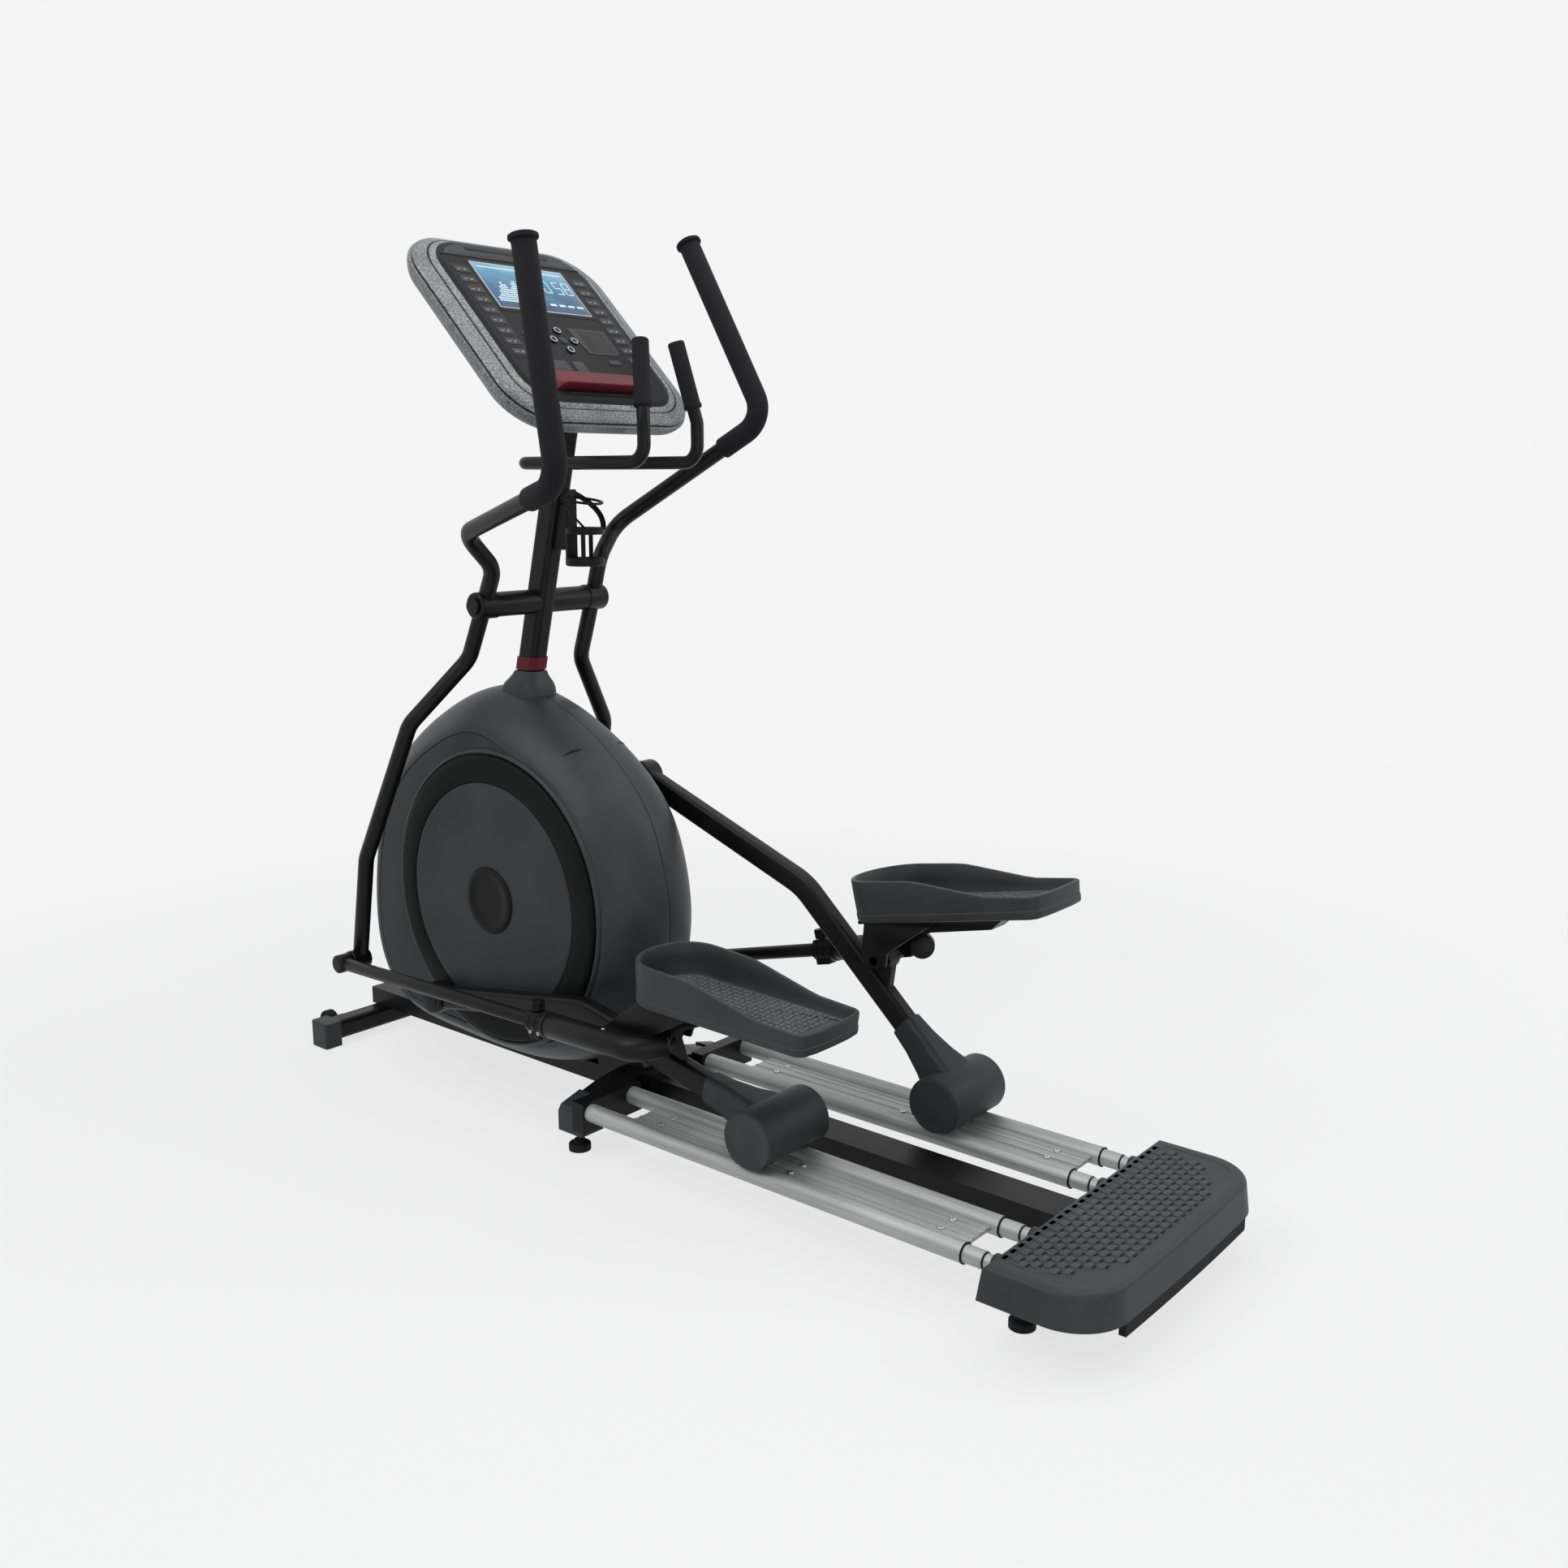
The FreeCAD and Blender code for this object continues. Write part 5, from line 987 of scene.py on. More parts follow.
# ---------------------------------------------------------------- pedals and links
@dataclass
class Pedal:
    """Foot tray, tread, carrier and link of one side."""

    linkage: Linkage
    front: float = -0.028
    base: float = 0.083
    tilt: float = -2.7
    length: float = 0.428
    inner: float = 0.086
    outer: float = 0.269
    nose: float = 0.080
    tail: float = 0.022
    pinch: float = 0.005
    rim_front: float = 0.082
    rim_rear: float = 0.040
    floor: float = 0.020
    wall: float = 0.008
    link_plane: float = 0.276
    sleeve_radius: float = 0.0245
    sleeve_length: float = 0.215
    rod_radius: float = 0.014

    def build(self) -> None:
        """Makes the tray, tread, carrier, sleeve, link and clamp."""
        word = self.linkage.side.word
        add = adder("pedal_" + word, "_" + word)
        add("tray", self._hung(self._tray()), Finish.TRAY, "step_plastic", "foot_pedal_" + word)
        add("tread", self._hung(self._tread()), Finish.TREAD, "tread_rubber", "pedal_mat_" + word)
        add("tread_studs", self._hung(self._studs()), Finish.STUD, "tread_rubber", sharp=25)
        add("carrier", self._linked(self._carrier()), Finish.FRAME, "frame_black", "pedal_frame_" + word)
        add("link_rod", self._linked(self._rod()), Finish.FRAME, "frame_black", "link_tube_" + word)
        add("link_clamp", self._linked(self._clamp()), Finish.BLACK, "knob_plastic")
        add("link_screws", self._linked(self._screws()), Finish.STEEL, "screw_steel")

    def _linked(self, shape: Shape) -> Shape:
        """From the link's frame, pivot at the origin, to the machine."""
        return turned(self.linkage.side.of(shape), self.linkage.pivot, self.linkage.link)

    def _hung(self, shape: Shape) -> Shape:
        """From the tray's frame to the machine."""
        return self._linked(turned(shape, (0, 0), self.tilt).moved((self.front, 0, self.base)))

    def _outline(self, inset: float = 0.0) -> Array:
        """Plan outline: blunt round front, square rear with round corners, from the front clockwise."""
        y0, y1, nose, tail, pinch = self.inner, self.outer, self.nose, self.tail, self.pinch
        middle, half = (y0 + y1) / 2, (y1 - y0) / 2
        turn = np.linspace(-np.pi / 2, np.pi / 2, 33)
        front = np.stack([nose - nose * np.cos(turn) ** 0.9, middle - half * np.sin(turn)], -1)
        along = np.linspace(nose, self.length - tail, 14)[1:-1]
        narrow = pinch * (along - nose) / (self.length - tail - nose)
        left = np.stack([along, y0 + narrow], -1)
        right = np.stack([along, y1 - narrow], -1)[::-1]
        corner = np.linspace(0, np.pi / 2, 9)
        low = np.stack([self.length - tail + tail * np.sin(corner),
                        y0 + pinch + tail - tail * np.cos(corner)], -1)
        rear = np.linspace(y0 + pinch + tail, y1 - pinch - tail, 8)[1:-1]
        back = np.stack([np.full_like(rear, self.length) + 0.004 * np.cos((rear - middle) / half * 1.5),
                         rear], -1)
        high = low[::-1] * (1, -1) + (0, 2 * middle)
        outline = np.vstack([front, left, low, back, high, right])
        return shrunk(outline, inset)

    def _rim(self, x: Array) -> Array:
        """Wall height along the tray: nearly level to 39%, an eased slope to 77%, then low."""
        high, low = self.rim_front - 0.006, self.rim_rear + 0.004
        return np.interp(x / self.length, (0, .39, .42, .45, .71, .74, .77, 1),
                         (self.rim_front, high + .0004, high - .0012, high - .0036, low + .0042,
                          low + .0012, low - .0004, self.rim_rear))

    def _tray(self) -> Shape:
        """Tray wall and floor: one (inset, height) profile carried round the outline."""
        rim, wall, floor = self._rim(self._outline()[:, 0]), self.wall, self.floor
        profile = ((0.010, 0.0), (0.004, 0.0), (0.0018, 0.0012), (0.0008, 0.004), (0.0, 0.014),
                   (0.0015, 0.016), (0.0012, 0.018), (-0.0005, rim * 0.6 + 0.01), (-0.0008, rim - 0.004),
                   (-0.0004, rim - 0.0016), (0.0012, rim - 0.0002), (wall * 0.5, rim),
                   (wall - 0.0012, rim - 0.0004), (wall, rim - 0.002),
                   (wall + 0.002, rim * 0.5 + floor * 0.5), (wall + 0.004, floor + 0.006),
                   (wall + 0.006, floor + 0.0015), (wall + 0.010, floor))
        return Shape.loft([at_height(self._outline(inset), height) for inset, height in profile])

    def _tread(self) -> Shape:
        """Rubber mat with a soft raised border."""
        top, gap = self.floor + 0.003, self.wall + 0.0125
        profile = ((0, self.floor), (0, top - .001), (.0012, top), (.006, top), (.0075, top - .0014),
                   (.010, top - .0014))
        return Shape.loft([at_height(self._outline(gap + inset), height) for inset, height in profile])

    def _studs(self) -> Shape:
        """Woven tread: short bars in turn along and across, on a grid that a round front border cuts."""
        pitch, border, round_x, round_half = 0.0142, 0.022, 0.1, 0.066
        xs = np.arange(0.04, self.length - 0.045, pitch)
        ys = np.arange(self.inner + 0.034, self.outer - 0.030, pitch)
        gx, gy = (g.ravel() for g in np.meshgrid(xs, ys, indexing="ij"))
        index = (np.round((gx - xs[0]) / pitch) + np.round((gy - ys[0]) / pitch)).astype(int)
        middle, half = (self.inner + self.outer) / 2, (self.outer - self.inner) / 2
        keep = (gx - round_x) ** 2 / round_half ** 2 + (gy - middle) ** 2 / (half - border) ** 2 < 1
        keep |= gx > 0.095
        along = np.where((index[keep] % 2 == 1)[:, None], (0.0, 1.0, 0.0), (1.0, 0.0, 0.0))
        return studs(np.column_stack([gx[keep], gy[keep]]), self.floor + 0.0016, (0.0058, 0.0026),
                     0.0022, along)

    def _carrier(self) -> Shape:
        """Sleeve tube with its rear end turned in, pivot shaft, cheeks and deck."""
        y = self.link_plane
        sleeve = tube([(-self.sleeve_length, y, 0), (.012, y, 0), (.05, .222, .004)], self.sleeve_radius,
                      0.042, 40, round_end=0.003)
        lip = lathe([(self.sleeve_radius - .001, 0), (self.sleeve_radius + .0012, .0006),
                     (self.sleeve_radius + .0012, .009), (self.sleeve_radius - .001, .0096)],
                    (-self.sleeve_length + .001, y, 0), (1, 0, 0), 48)
        shaft = lathe([(0, .128), (.009, .128), (.009, .187), (.015, .187), (.015, .262), (0, .262)],
                      (0, 0, 0), count=40)
        slope = math.tan(math.radians(self.tilt))

        def under(x: float) -> float:
            """Height of the tray's underside above the pivot."""
            return self.base + (x - self.front) * slope - 0.0002

        a, b = self.front + .022, self.front + .33
        deck = np.array([(a, under(a) - .006), (b, under(b) - .006), (b, under(b)), (a, under(a))])
        cheek = np.array([(-.024, -.014), (.024, -.014), (.034, .012), (.17, under(.17) - .004),
                          (a + .002, under(a) - .004), (-.024, .02)])
        wing = np.array([(-.09, .012), (.02, .012), (.13, under(.13) - .004),
                         (a + .002, under(a) - .004)])
        parts = [sleeve, lip, shaft]
        for outline, low, high in ((deck, .112, .25), (cheek, .128, .136), (cheek, .214, .222),
                                   (wing, .244, .25)):
            parts.append(plate(outline, low, high, 0.001, 3).upright())
        keel = np.array([(.03, under(.03) - .006), (.06, under(.06) - .034), (.265, under(.265) - .028),
                         (b - .006, under(b) - .006)])
        parts.append(plate(keel, .146, .196, 0.002, 3).upright())
        bridge = np.array([(-.09, .012), (.02, .012), (.034, .02), (-.08, .02)])
        parts.append(plate(bridge, .244, y - .004, 0.001, 3).upright())
        return together(parts)

    def _rod(self) -> Shape:
        """Slim tube and the eye at its front end."""
        y, length = self.link_plane, self.linkage.link_length
        rod = tube([(-length + .012, y, 0), (-self.sleeve_length + .06, y, 0)], self.rod_radius, 0.05)
        eye = lathe([(0, .2595), (.0185, .2595), (.02, .261), (.02, .2885), (.0195, .290), (.0165, .292),
                     (.012, .2925), (0, .2927)], (-length, 0, 0), count=48)
        return rod + eye

    def _clamp(self) -> Shape:
        """Split clamp: ribbed collar, lug block and the knob's stud."""
        y, x1 = self.link_plane, -self.sleeve_length - 0.0004
        r = self.rod_radius
        rows = [(r, -.046), (.0195, -.046), (.021, -.0445), (.021, -.034), (.0195, -.033),
                (.0195, -.029), (.021, -.028), (.021, -.016), (.0195, -.015), (.0195, -.011),
                (.021, -.010), (.021, -.0015), (.0195, 0), (r, 0)]
        collar = lathe(rows, (x1, y, 0), (1, 0, 0), 56)
        lug = plate(rounded_box(.036, .026, .004) + (x1 - .026, y), -.030, .022, 0.002)
        stud = lathe([(0, .018), (.005, .018), (.005, .0265), (0, .0265)], (x1 - .026, y, 0), (0, 0, 1),
                     24)
        return collar + lug + stud

    def _screws(self) -> Shape:
        """Socket screw on the sleeve and two on the clamp."""
        head = [(0, -.0008), (.0018, -.0008), (.0018, .0012), (.0034, .0012), (.004, .0006),
                (.0042, -.001)]
        spots = (((-.06, self.link_plane, self.sleeve_radius), (0, 0, 1)),
                 ((-self.sleeve_length - .014, self.link_plane + .0131, -.018), (0, 1, 0)),
                 ((-self.sleeve_length - .036, self.link_plane + .0131, -.018), (0, 1, 0)))
        return together(lathe(head, spot, axis, 20) for spot, axis in spots)


# ---------------------------------------------------------------- shroud and crank discs
@dataclass
class Shroud:
    """Egg-shaped shell in two halves, its side panels painted darker as shade, disc lips, slots whose
    shade is painted as black slivers, and collar.
    """

    centre: tuple = (-0.46, 0.40)
    outline: tuple = ((-.5, .872), (-.69, .806), (-.848, .67), (-.925, .47), (-.93, .24), (-.83, .108),
                      (-.6, .076), (-.34, .08), (-.165, .15), (-.078, .31), (-.064, .48), (-.128, .664),
                      (-.29, .8))
    half: float = 0.125
    parts: tuple = (0, 0.3, 0.58, 0.82, 1)
    scales: tuple = (1, 0.992, 0.962, 0.908, 0.84)
    crank: tuple = (-0.443, 0.438)
    lip_in: float = 0.3085
    lip_out: float = 0.3172
    slots: tuple = (((-.268, -.089, .754), (-.247, -.044, .7665)),
                    ((-.088, -.089, .444), (-.067, -.044, .453)))
    collar_corner: float = 0.8
    fold: tuple = (62, 24, 0.016)

    def build(self) -> None:
        """Makes both halves and the collar."""
        for side in Side:
            add = adder("frame", "_" + side.word)
            add("shroud_shell", side.of(self._shell()), Finish.SHELL, "shroud_plastic",
                "shroud_" + side.word)
            # the side panel takes the shell's plastic painted darker as shade
            add("shroud_panel", side.of(self._panel()), Finish.PANEL, "shroud_plastic")
            add("disc_lip", side.of(self._lip()), Finish.SHELL, "shroud_plastic")
            # painted shade: black slivers stand for the shade inside the shoulder's slots
            add("shroud_slots", side.of(self._slots()), Finish.BLACK, "shroud_plastic")
        adder("frame")("collar", self._collar(), Finish.SHELL, "shroud_plastic", "shroud_collar")

    def _scaled(self, scale: float) -> Array:
        """The side outline about its centre, smaller."""
        curve = closed_spline(self.outline, 14)
        return (curve - self.centre) * scale + self.centre

    def _scale_at(self, part: float) -> float:
        """Outline scale at a fraction of the half width: the quartic through the five stations."""
        return float(np.polyval(np.polyfit(self.parts, self.scales, 4), part))

    def _border(self, inset: float) -> Array:
        """Edge of the side panel: the flat side's outline, inset, but never inside the disc's lip."""
        edge = shrunk(self._scaled(self.scales[-1]), 0.010 + inset)
        offset = edge - self.crank
        radius = np.linalg.norm(offset, axis=1, keepdims=True)
        angle = np.degrees(np.arctan2(offset[:, 1:], offset[:, :1]))
        fold_at, fold_width, fold_depth = self.fold
        fold = np.exp(-((angle - fold_at) / fold_width) ** 2) * fold_depth
        least = self.lip_out - 0.002 - inset
        return np.asarray(self.crank) + offset / radius * np.maximum(radius - fold, least)

    def _row(self, loop: Array, y: float) -> Array:
        """A side-view loop placed at y."""
        return np.column_stack([loop[:, 0], np.full(len(loop), y), loop[:, 1]])

    def _shell(self) -> Shape:
        """Right half: stations from the seam to the flat side, then a step down at the panel."""
        rows = [self._row(shrunk(self._scaled(1.0), inset), y)
                for inset, y in ((0.0022, 0.0002), (0.0004, 0.0008))]
        for part in np.linspace(0.02, 1, 26):
            rows.append(self._row(self._scaled(self._scale_at(part)), self.half * part))
        rows[-1] = self._row(shrunk(self._scaled(self.scales[-1]), 0.0006), self.half)
        rows += [self._row(self._border(inset), self.half + lift)
                 for inset, lift in ((-0.0006, 0.0002), (0.0, -0.0004), (0.0008, -0.0026))]
        return Shape.loft(rows)

    def _panel(self) -> Shape:
        """Flat panel set in the side, in the shell's plastic painted darker and bluer as shade."""
        y = self.half
        return Shape.loft([self._row(self._border(a), b) for a, b in (
            (0.002, y - 0.0028), (0.002, y - 0.001), (0.003, y - 0.0002), (0.006, y), (0.009, y))])

    def _lip(self) -> Shape:
        """Raised lip round the disc."""
        a, b, y = self.lip_in, self.lip_out, self.half
        rows = [(a, y - 0.012), (a, y + 0.0058), (a + 0.0008, y + 0.0068), (a + 0.0035, y + 0.0072),
                (b - 0.0022, y + 0.006), (b - 0.0004, y + 0.0032), (b, y), (b, y - 0.012), (a, y - 0.012)]
        return lathe(rows, (self.crank[0], 0, self.crank[1]), count=160)

    def _slots(self) -> Shape:
        """Painted shade for the service slots in the shoulder: a slim black bar pointed at both ends,
        standing for the shade inside each slot.
        """
        shapes = []
        for start, end in self.slots:
            t = np.linspace(0, 1, 13)[:, None]
            path = (np.array(start) * (1 - t) + np.array(end) * t) * (1, -1, 1)
            path[:, 2] += 0.0035 * np.sin(np.pi * t[:, 0])
            shapes.append(sweep(path, circle(0.0032, 10), 0.15 + 0.85 * np.sin(np.pi * t[:, 0]),
                                (1, 0, 0)))
        return together(shapes)

    def _collar(self) -> Shape:
        """Skirt where the post leaves the shroud: the post's section, wider by less and less going up."""
        stations = ((.832, .034), (.852, .030), (.868, .0265), (.880, .021), (.890, .0135), (.897, .0085),
                    (.9035, .0058), (.9062, .004), (.9055, .0008), (.9, -.001))
        return Shape.loft([POST.ring(z, margin, self.collar_corner) for z, margin in stations])


@dataclass
class CrankDiscs:
    """Covers that turn with the crank: inner face, outer ring and hub cap each side."""

    centre: tuple = (-0.443, 0.438)
    radius: float = 0.305
    face: float = 0.142
    inner: float = 0.249
    cap: float = 0.069

    def build(self) -> None:
        """Makes the two discs; the left face stands for the CAD node of both."""
        for side in Side:
            replaced = ("crank_discs",) if side is Side.LEFT else ()
            for name, rows, count, finish, nodes in (
                    ("disc_face_", self._face_rows(), 192, Finish.DISC, replaced),
                    ("disc_ring_", self._ring_rows(), 192, Finish.DISC_RIM, ()),
                    ("hub_cap_", self._cap_rows(), 120, Finish.BLACK, ()),
                    ("hub_ring_", self._groove_rows(), 120, Finish.BLACK, ())):
                shape = lathe(rows, (self.centre[0], 0, self.centre[1]), count=count)
                adder("crank", side.word)(name, side.of(shape), finish, "shroud_plastic", *nodes)

    def _face_rows(self) -> list:
        """Inner face with a rounded rim that drops into the groove."""
        r, y = self.inner, self.face
        return [(0, y - 0.003), (0, y), (r - .008, y), (r - .0045, y - .0004), (r - .0022, y - .0013),
                (r - .0014, y - .0026), (0, y - 0.003)]

    def _ring_rows(self) -> list:
        """Outer ring, a little lower, with a rolled rim."""
        r, y = self.radius, self.face
        return [(self.inner - .003, y - .0036), (self.inner - .0004, y - .0036),
                (self.inner + .0006, y - .0018), (self.inner + .0022, y - .0012),
                (self.inner + .02, y - .0014), (r - .012, y - .0022), (r - .005, y - .0034),
                (r - .0014, y - .006), (r, y - .009), (r, y - .015), (r - .004, y - .015),
                (r - .006, y - .0045), (self.inner - .003, y - .0036)]

    def _cap_rows(self) -> list:
        """Hub cap: shallow dished centre inside a raised rim."""
        r, y = self.cap, self.face
        return [(0, y + .0028), (r * .5, y + .003), (r - .014, y + .0034), (r - .0125, y + .0043),
                (r - .010, y + .0046), (r - .004, y + .0044), (r - .0012, y + .0034), (r, y + .0018),
                (r, y - .001), (0, y - .001)]

    def _groove_rows(self) -> list:
        """Dark ring round the cap."""
        r, y = self.cap, self.face
        return [(r - .002, y), (r - .001, y + .0012), (r + .0022, y + .001), (r + .003, y), (r - .002, y)]


# ---------------------------------------------------------------- console
CHARCOAL = "console_charcoal"
GREY = "console_grey"
KEYS = "key_plastic"


@dataclass
class Console:
    """Tilted console: silver shell, grooved bezel, dark face, display, keys and ledge."""

    centre: tuple = (-0.346, 1.6)
    tilt: float = 45.0
    shift: float = -0.006
    shell: tuple = (0.486, 0.510, 0.105)
    face: tuple = (0.372, 0.430, 0.070)
    screen: tuple = (0.236, 0.128, 0.098)
    cluster: tuple = (-0.014, -0.050)
    pitch: float = 0.027
    keys: tuple = (("up", 0, 1), ("down", 0, -1), ("left", -1, 0), ("right", 1, 0))
    stop: tuple = (0.136, -0.150)
    columns: tuple = (0.152, 0.134, 0.0285, 9)
    back: tuple = ((110, 120, 30, -.068), (90, 96, 24, -.0672), (60, 64, 18, -.063), (38, 40, 12, -.0565),
                   (34, 36, 11, -.054))
    layers: tuple = (
        ("console_side", Finish.SILVER, GREY, (
            (34, 36, 11, -.0555), (27, 30, 9, -.0553), (20, 22, 7, -.0525), (12, 13, 4, -.047),
            (4, 4, 1, -.038), (0, 0, 0, -.030), (1, 1, 0, -.0255), (5, 5, 2, -.0238),
            (12, 12, 4, -.0236))),
        ("console_core", Finish.FACE, CHARCOAL, ((10, 10, 3, -.03), (11, 11, 4, -.0175))),
        ("console_band", Finish.SILVER, GREY, (
            (12, 12, 4, -.0205), (8, 8, 3, -.0202), (7, 7, 3, -.0185), (13, 13, 5, -.0142),
            (30, 26, 10, -.0118), (52, 40, 17, -.0086), (60, 45, 19, -.0074), (63, 46.6, 20.3, -.0092),
            (64, 47, 20.5, -.0170))),
        ("console_groove", Finish.BLACK, CHARCOAL, (
            (60, 45, 19, -.0100), (60.5, 45.2, 19.2, -.0089), (76, 54, 24, -.0078),
            (77, 54.5, 24, -.0165))),
        ("console_bezel", Finish.BEZEL, GREY, (
            (70, 50.5, 22.5, -.0180), (70, 50.5, 22.5, -.0080), (71, 51, 22.8, -.0066),
            (88, 62, 27, -.0036), (96, 66, 29, -.0028), (100, 69, 30, -.0042), (101, 70, 30, -.0160))))

    def build(self) -> None:
        """Makes the shell, bezel, face, display, pads, key rings and ledge."""
        self._put("console_back_cover", self._layers(self.back), Finish.FACE, CHARCOAL, "console_back")
        adder("frame")("console_neck", self._neck(), Finish.BLACK, CHARCOAL)
        for name, finish, slot, rows in self.layers:
            self._put(name, self._layers(rows), finish, slot)
        self._put("console_panel", self._face_plate(), Finish.FACE, CHARCOAL, "console_face")
        self._display()
        self._pads()
        self._controls()
        self._ledge()

    def _put(self, name: str, shape: Shape, finish: Finish, slot: str = CHARCOAL, *replaced: str,
             body: str = "frame") -> None:
        """Places a shape made in the face's own axes: x to the right, y up the face, z out of it."""
        s, c = math.sin(math.radians(self.tilt)), math.cos(math.radians(self.tilt))
        shape = shape.mapped([[0, -s, c], [1, 0, 0], [0, c, s]], (self.centre[0], 0, self.centre[1]))
        adder(body)(name, shape, finish, slot, *replaced)

    def _layers(self, rows: Sequence[tuple]) -> Shape:
        """Skins rounded boxes, each the shell's outline made smaller by millimetres at its depth.

        The outline slides down the face by shift over the first 14 mm behind it.
        """
        loops, (w, h, r), fade = [], self.shell, .014
        for less_w, less_h, less_r, z in rows:
            drop = self.shift * (1 - min(1.0, max(0.0, (z + fade) / fade)))
            loop = rounded_box(w - less_w / 1000, h - less_h / 1000, r - less_r / 1000, 16)
            loops.append(at_height(loop + (0, drop), z))
        return Shape.loft(loops)

    def _face_plate(self) -> Shape:
        """Dark face, its edge rounded over."""
        w, h, r = self.face
        profile = ((-.012, -.0052), (-.006, -.0032), (.0, -.0014), (.002, -.0004), (.005, 0), (.0065, 0))
        return Shape.loft([at_height(rounded_box(w - 2 * inset, h - 2 * inset, r - inset, 16), z)
                           for inset, z in profile])

    def _neck(self) -> Shape:
        """Socket that takes the post's top: the post's section, made wider."""
        stations = ((1.392, .010), (1.3925, .0125), (1.395, .013), (1.492, .013), (1.494, .011))
        return Shape.loft([POST.ring(z, margin) for z, margin in stations])

    @staticmethod
    def _pad(x: float, y: float, w: float, h: float, r: float, top: float, low: float = -0.0005) -> Shape:
        """A low plate on the face."""
        return plate(rounded_box(w, h, r, 5) + (x, y), low, top, min(0.0005, (top - low) / 2), 3)

    def _display(self) -> None:
        """Screen pane in a thin pale frame, with a bar chart, four digits and two rows of marks."""
        w, h, v = self.screen
        pad = self._pad
        self._put("screen_surround", pad(0, v, w + .022, h + .022, .006, .0006), Finish.BLACK)
        self._put("screen_frame", pad(0, v, w + .004, h + .004, .003, .0009), Finish.INK)
        self._put("screen_pane", pad(0, v, w - .002, h - .002, .002, .0012), Finish.SCREEN,
                  "screen_glass", "console_screen")
        bars = (2, 3, 5, 7, 9, 8, 6, 7, 9, 10, 8, 5, 4, 3)
        cells = np.array([(x, y) for x, top in enumerate(bars) for y in range(top)], float)
        places = np.column_stack([-.104 + cells[:, 0] * .0072, v - .044 + cells[:, 1] * .0066])
        marks = studs(places, .0012, (.0029, .0024), .0003)
        for k, digit in enumerate("2058"):
            marks = marks + self._digit(digit, .020 + k * .0245 + (.008 if k > 1 else 0), v + .012)
        for k in range(4):
            marks = marks + pad(.03 + k * .024, v - .042, .017, .006, .001, .0014, .0009)
        marks = marks + pad(0, v + .052, w - .02, .0035, .001, .0014, .0009)
        self._put("screen_marks", marks, Finish.LIT, "screen_glass")

    def _digit(self, digit: str, x: float, y: float) -> Shape:
        """Seven-segment digit about (x, y)."""
        w, h, t = .0165, .034, .0038
        spots = {"a": (0, h / 2, w, t), "g": (0, 0, w, t), "d": (0, -h / 2, w, t),
                 "f": (-w / 2, h / 4, t, h / 2), "b": (w / 2, h / 4, t, h / 2),
                 "e": (-w / 2, -h / 4, t, h / 2), "c": (w / 2, -h / 4, t, h / 2)}
        lit = {"2": "abged", "0": "abcdef", "5": "afgcd", "8": "abcdefg"}[digit]
        return together(self._pad(x + spots[k][0], y + spots[k][1], spots[k][2] - .0012,
                                  spots[k][3] - .0012, .0008, .0014, .0009) for k in lit)

    def _pads(self) -> None:
        """Two columns of membrane pads with two short marks on each, the brow and its slot."""
        pads, marks, wells = [], [], []
        column, top, pitch, count = self.columns
        for sign in (-1, 1):
            x = sign * column
            wells.append(self._pad(x, .020, .046, .262, .008, .0005))
            for y in (top - k * pitch for k in range(count)):
                pads.append(self._pad(x, y, .036, .0165, .003, .0013))
                marks.append(self._pad(x - .008, y, .009, .0014, .0006, .0015, .001))
                marks.append(self._pad(x + .006, y, .0045, .0028, .001, .0015, .001))
        self._put("pad_wells", together(wells), Finish.BLACK)
        self._put("membrane_pads", together(pads), Finish.PAD, KEYS)
        self._put("pad_marks", together(marks), Finish.INK, KEYS)
        w, h, r = self.face
        foot, margin = .176, .007
        outline = rounded_box(w - .014, h - .012, r - .006, 14)
        brow = np.vstack([outline[outline[:, 1] > foot],
                          [[-(w / 2 - margin), foot], [w / 2 - margin, foot]]])
        self._put("console_brow", plate(brow, -.0005, .0014, .0008, 3), Finish.COVER)
        self._put("console_slot", self._pad(0, .2005, .215, .010, .004, .0019, .0008), Finish.BLACK)

    def _controls(self) -> None:
        """Round keys' pale rings, centre key, stop key ring, mesh patch and lower pads."""
        x0, y0 = self.cluster
        out = (0, 0, 1)
        ring = [(.0058, .0), (.0062, .0006), (.0078, .0006), (.0082, 0), (.0058, 0)]
        for name, dx, dy in self.keys:
            at = (x0 + dx * self.pitch, y0 + dy * self.pitch, .003)
            self._put("key_ring_" + name, lathe(ring, at, out, 40), Finish.INK, KEYS, body="key_" + name)
        dome = [(0, .0022), (.0085, .002), (.0095, .0012), (.0098, -.0004), (0, -.0004)]
        self._put("key_centre", lathe(dome, (x0, y0, 0), out, 40), Finish.PAD, KEYS)
        patch = np.array([(.035, -.012), (.018, -.012), (.034, -.082), (.110, -.082), (.118, -.074),
                          (.118, -.012), (.07, -.012)])
        self._put("speaker_plate", plate(patch[::-1], -.0005, .0008, .0006, 3), Finish.MESH)
        pitch = .0046
        xs, ys = np.meshgrid(np.arange(.042, .114, pitch), np.arange(-.077, -.014, pitch), indexing="ij")
        gx, gy = xs.ravel(), ys.ravel()
        gx = gx + (np.round(gy / pitch).astype(int) % 2) * .0023
        keep = gx < .115
        holes = studs(np.column_stack([gx[keep], gy[keep]]), .0008, (.0013, .0013), .0004)
        self._put("speaker_holes", holes, Finish.BLACK)
        lower = ((-.075, -.125, .052, .030, .005), (-.02, -.125, .03, .03, .005),
                 (.086, -.105, .03, .012, .003), (-.1, -.05, .026, .03, .004))
        self._put("lower_pads", together(self._pad(*pad, .0014) for pad in lower), Finish.PAD, KEYS)
        rim = [(.0168, -.0004), (.0172, .0014), (.0192, .0014), (.0198, -.0004), (.0168, -.0004)]
        self._put("stop_ring", lathe(rim, (*self.stop, 0), out, 48), Finish.BLACK)

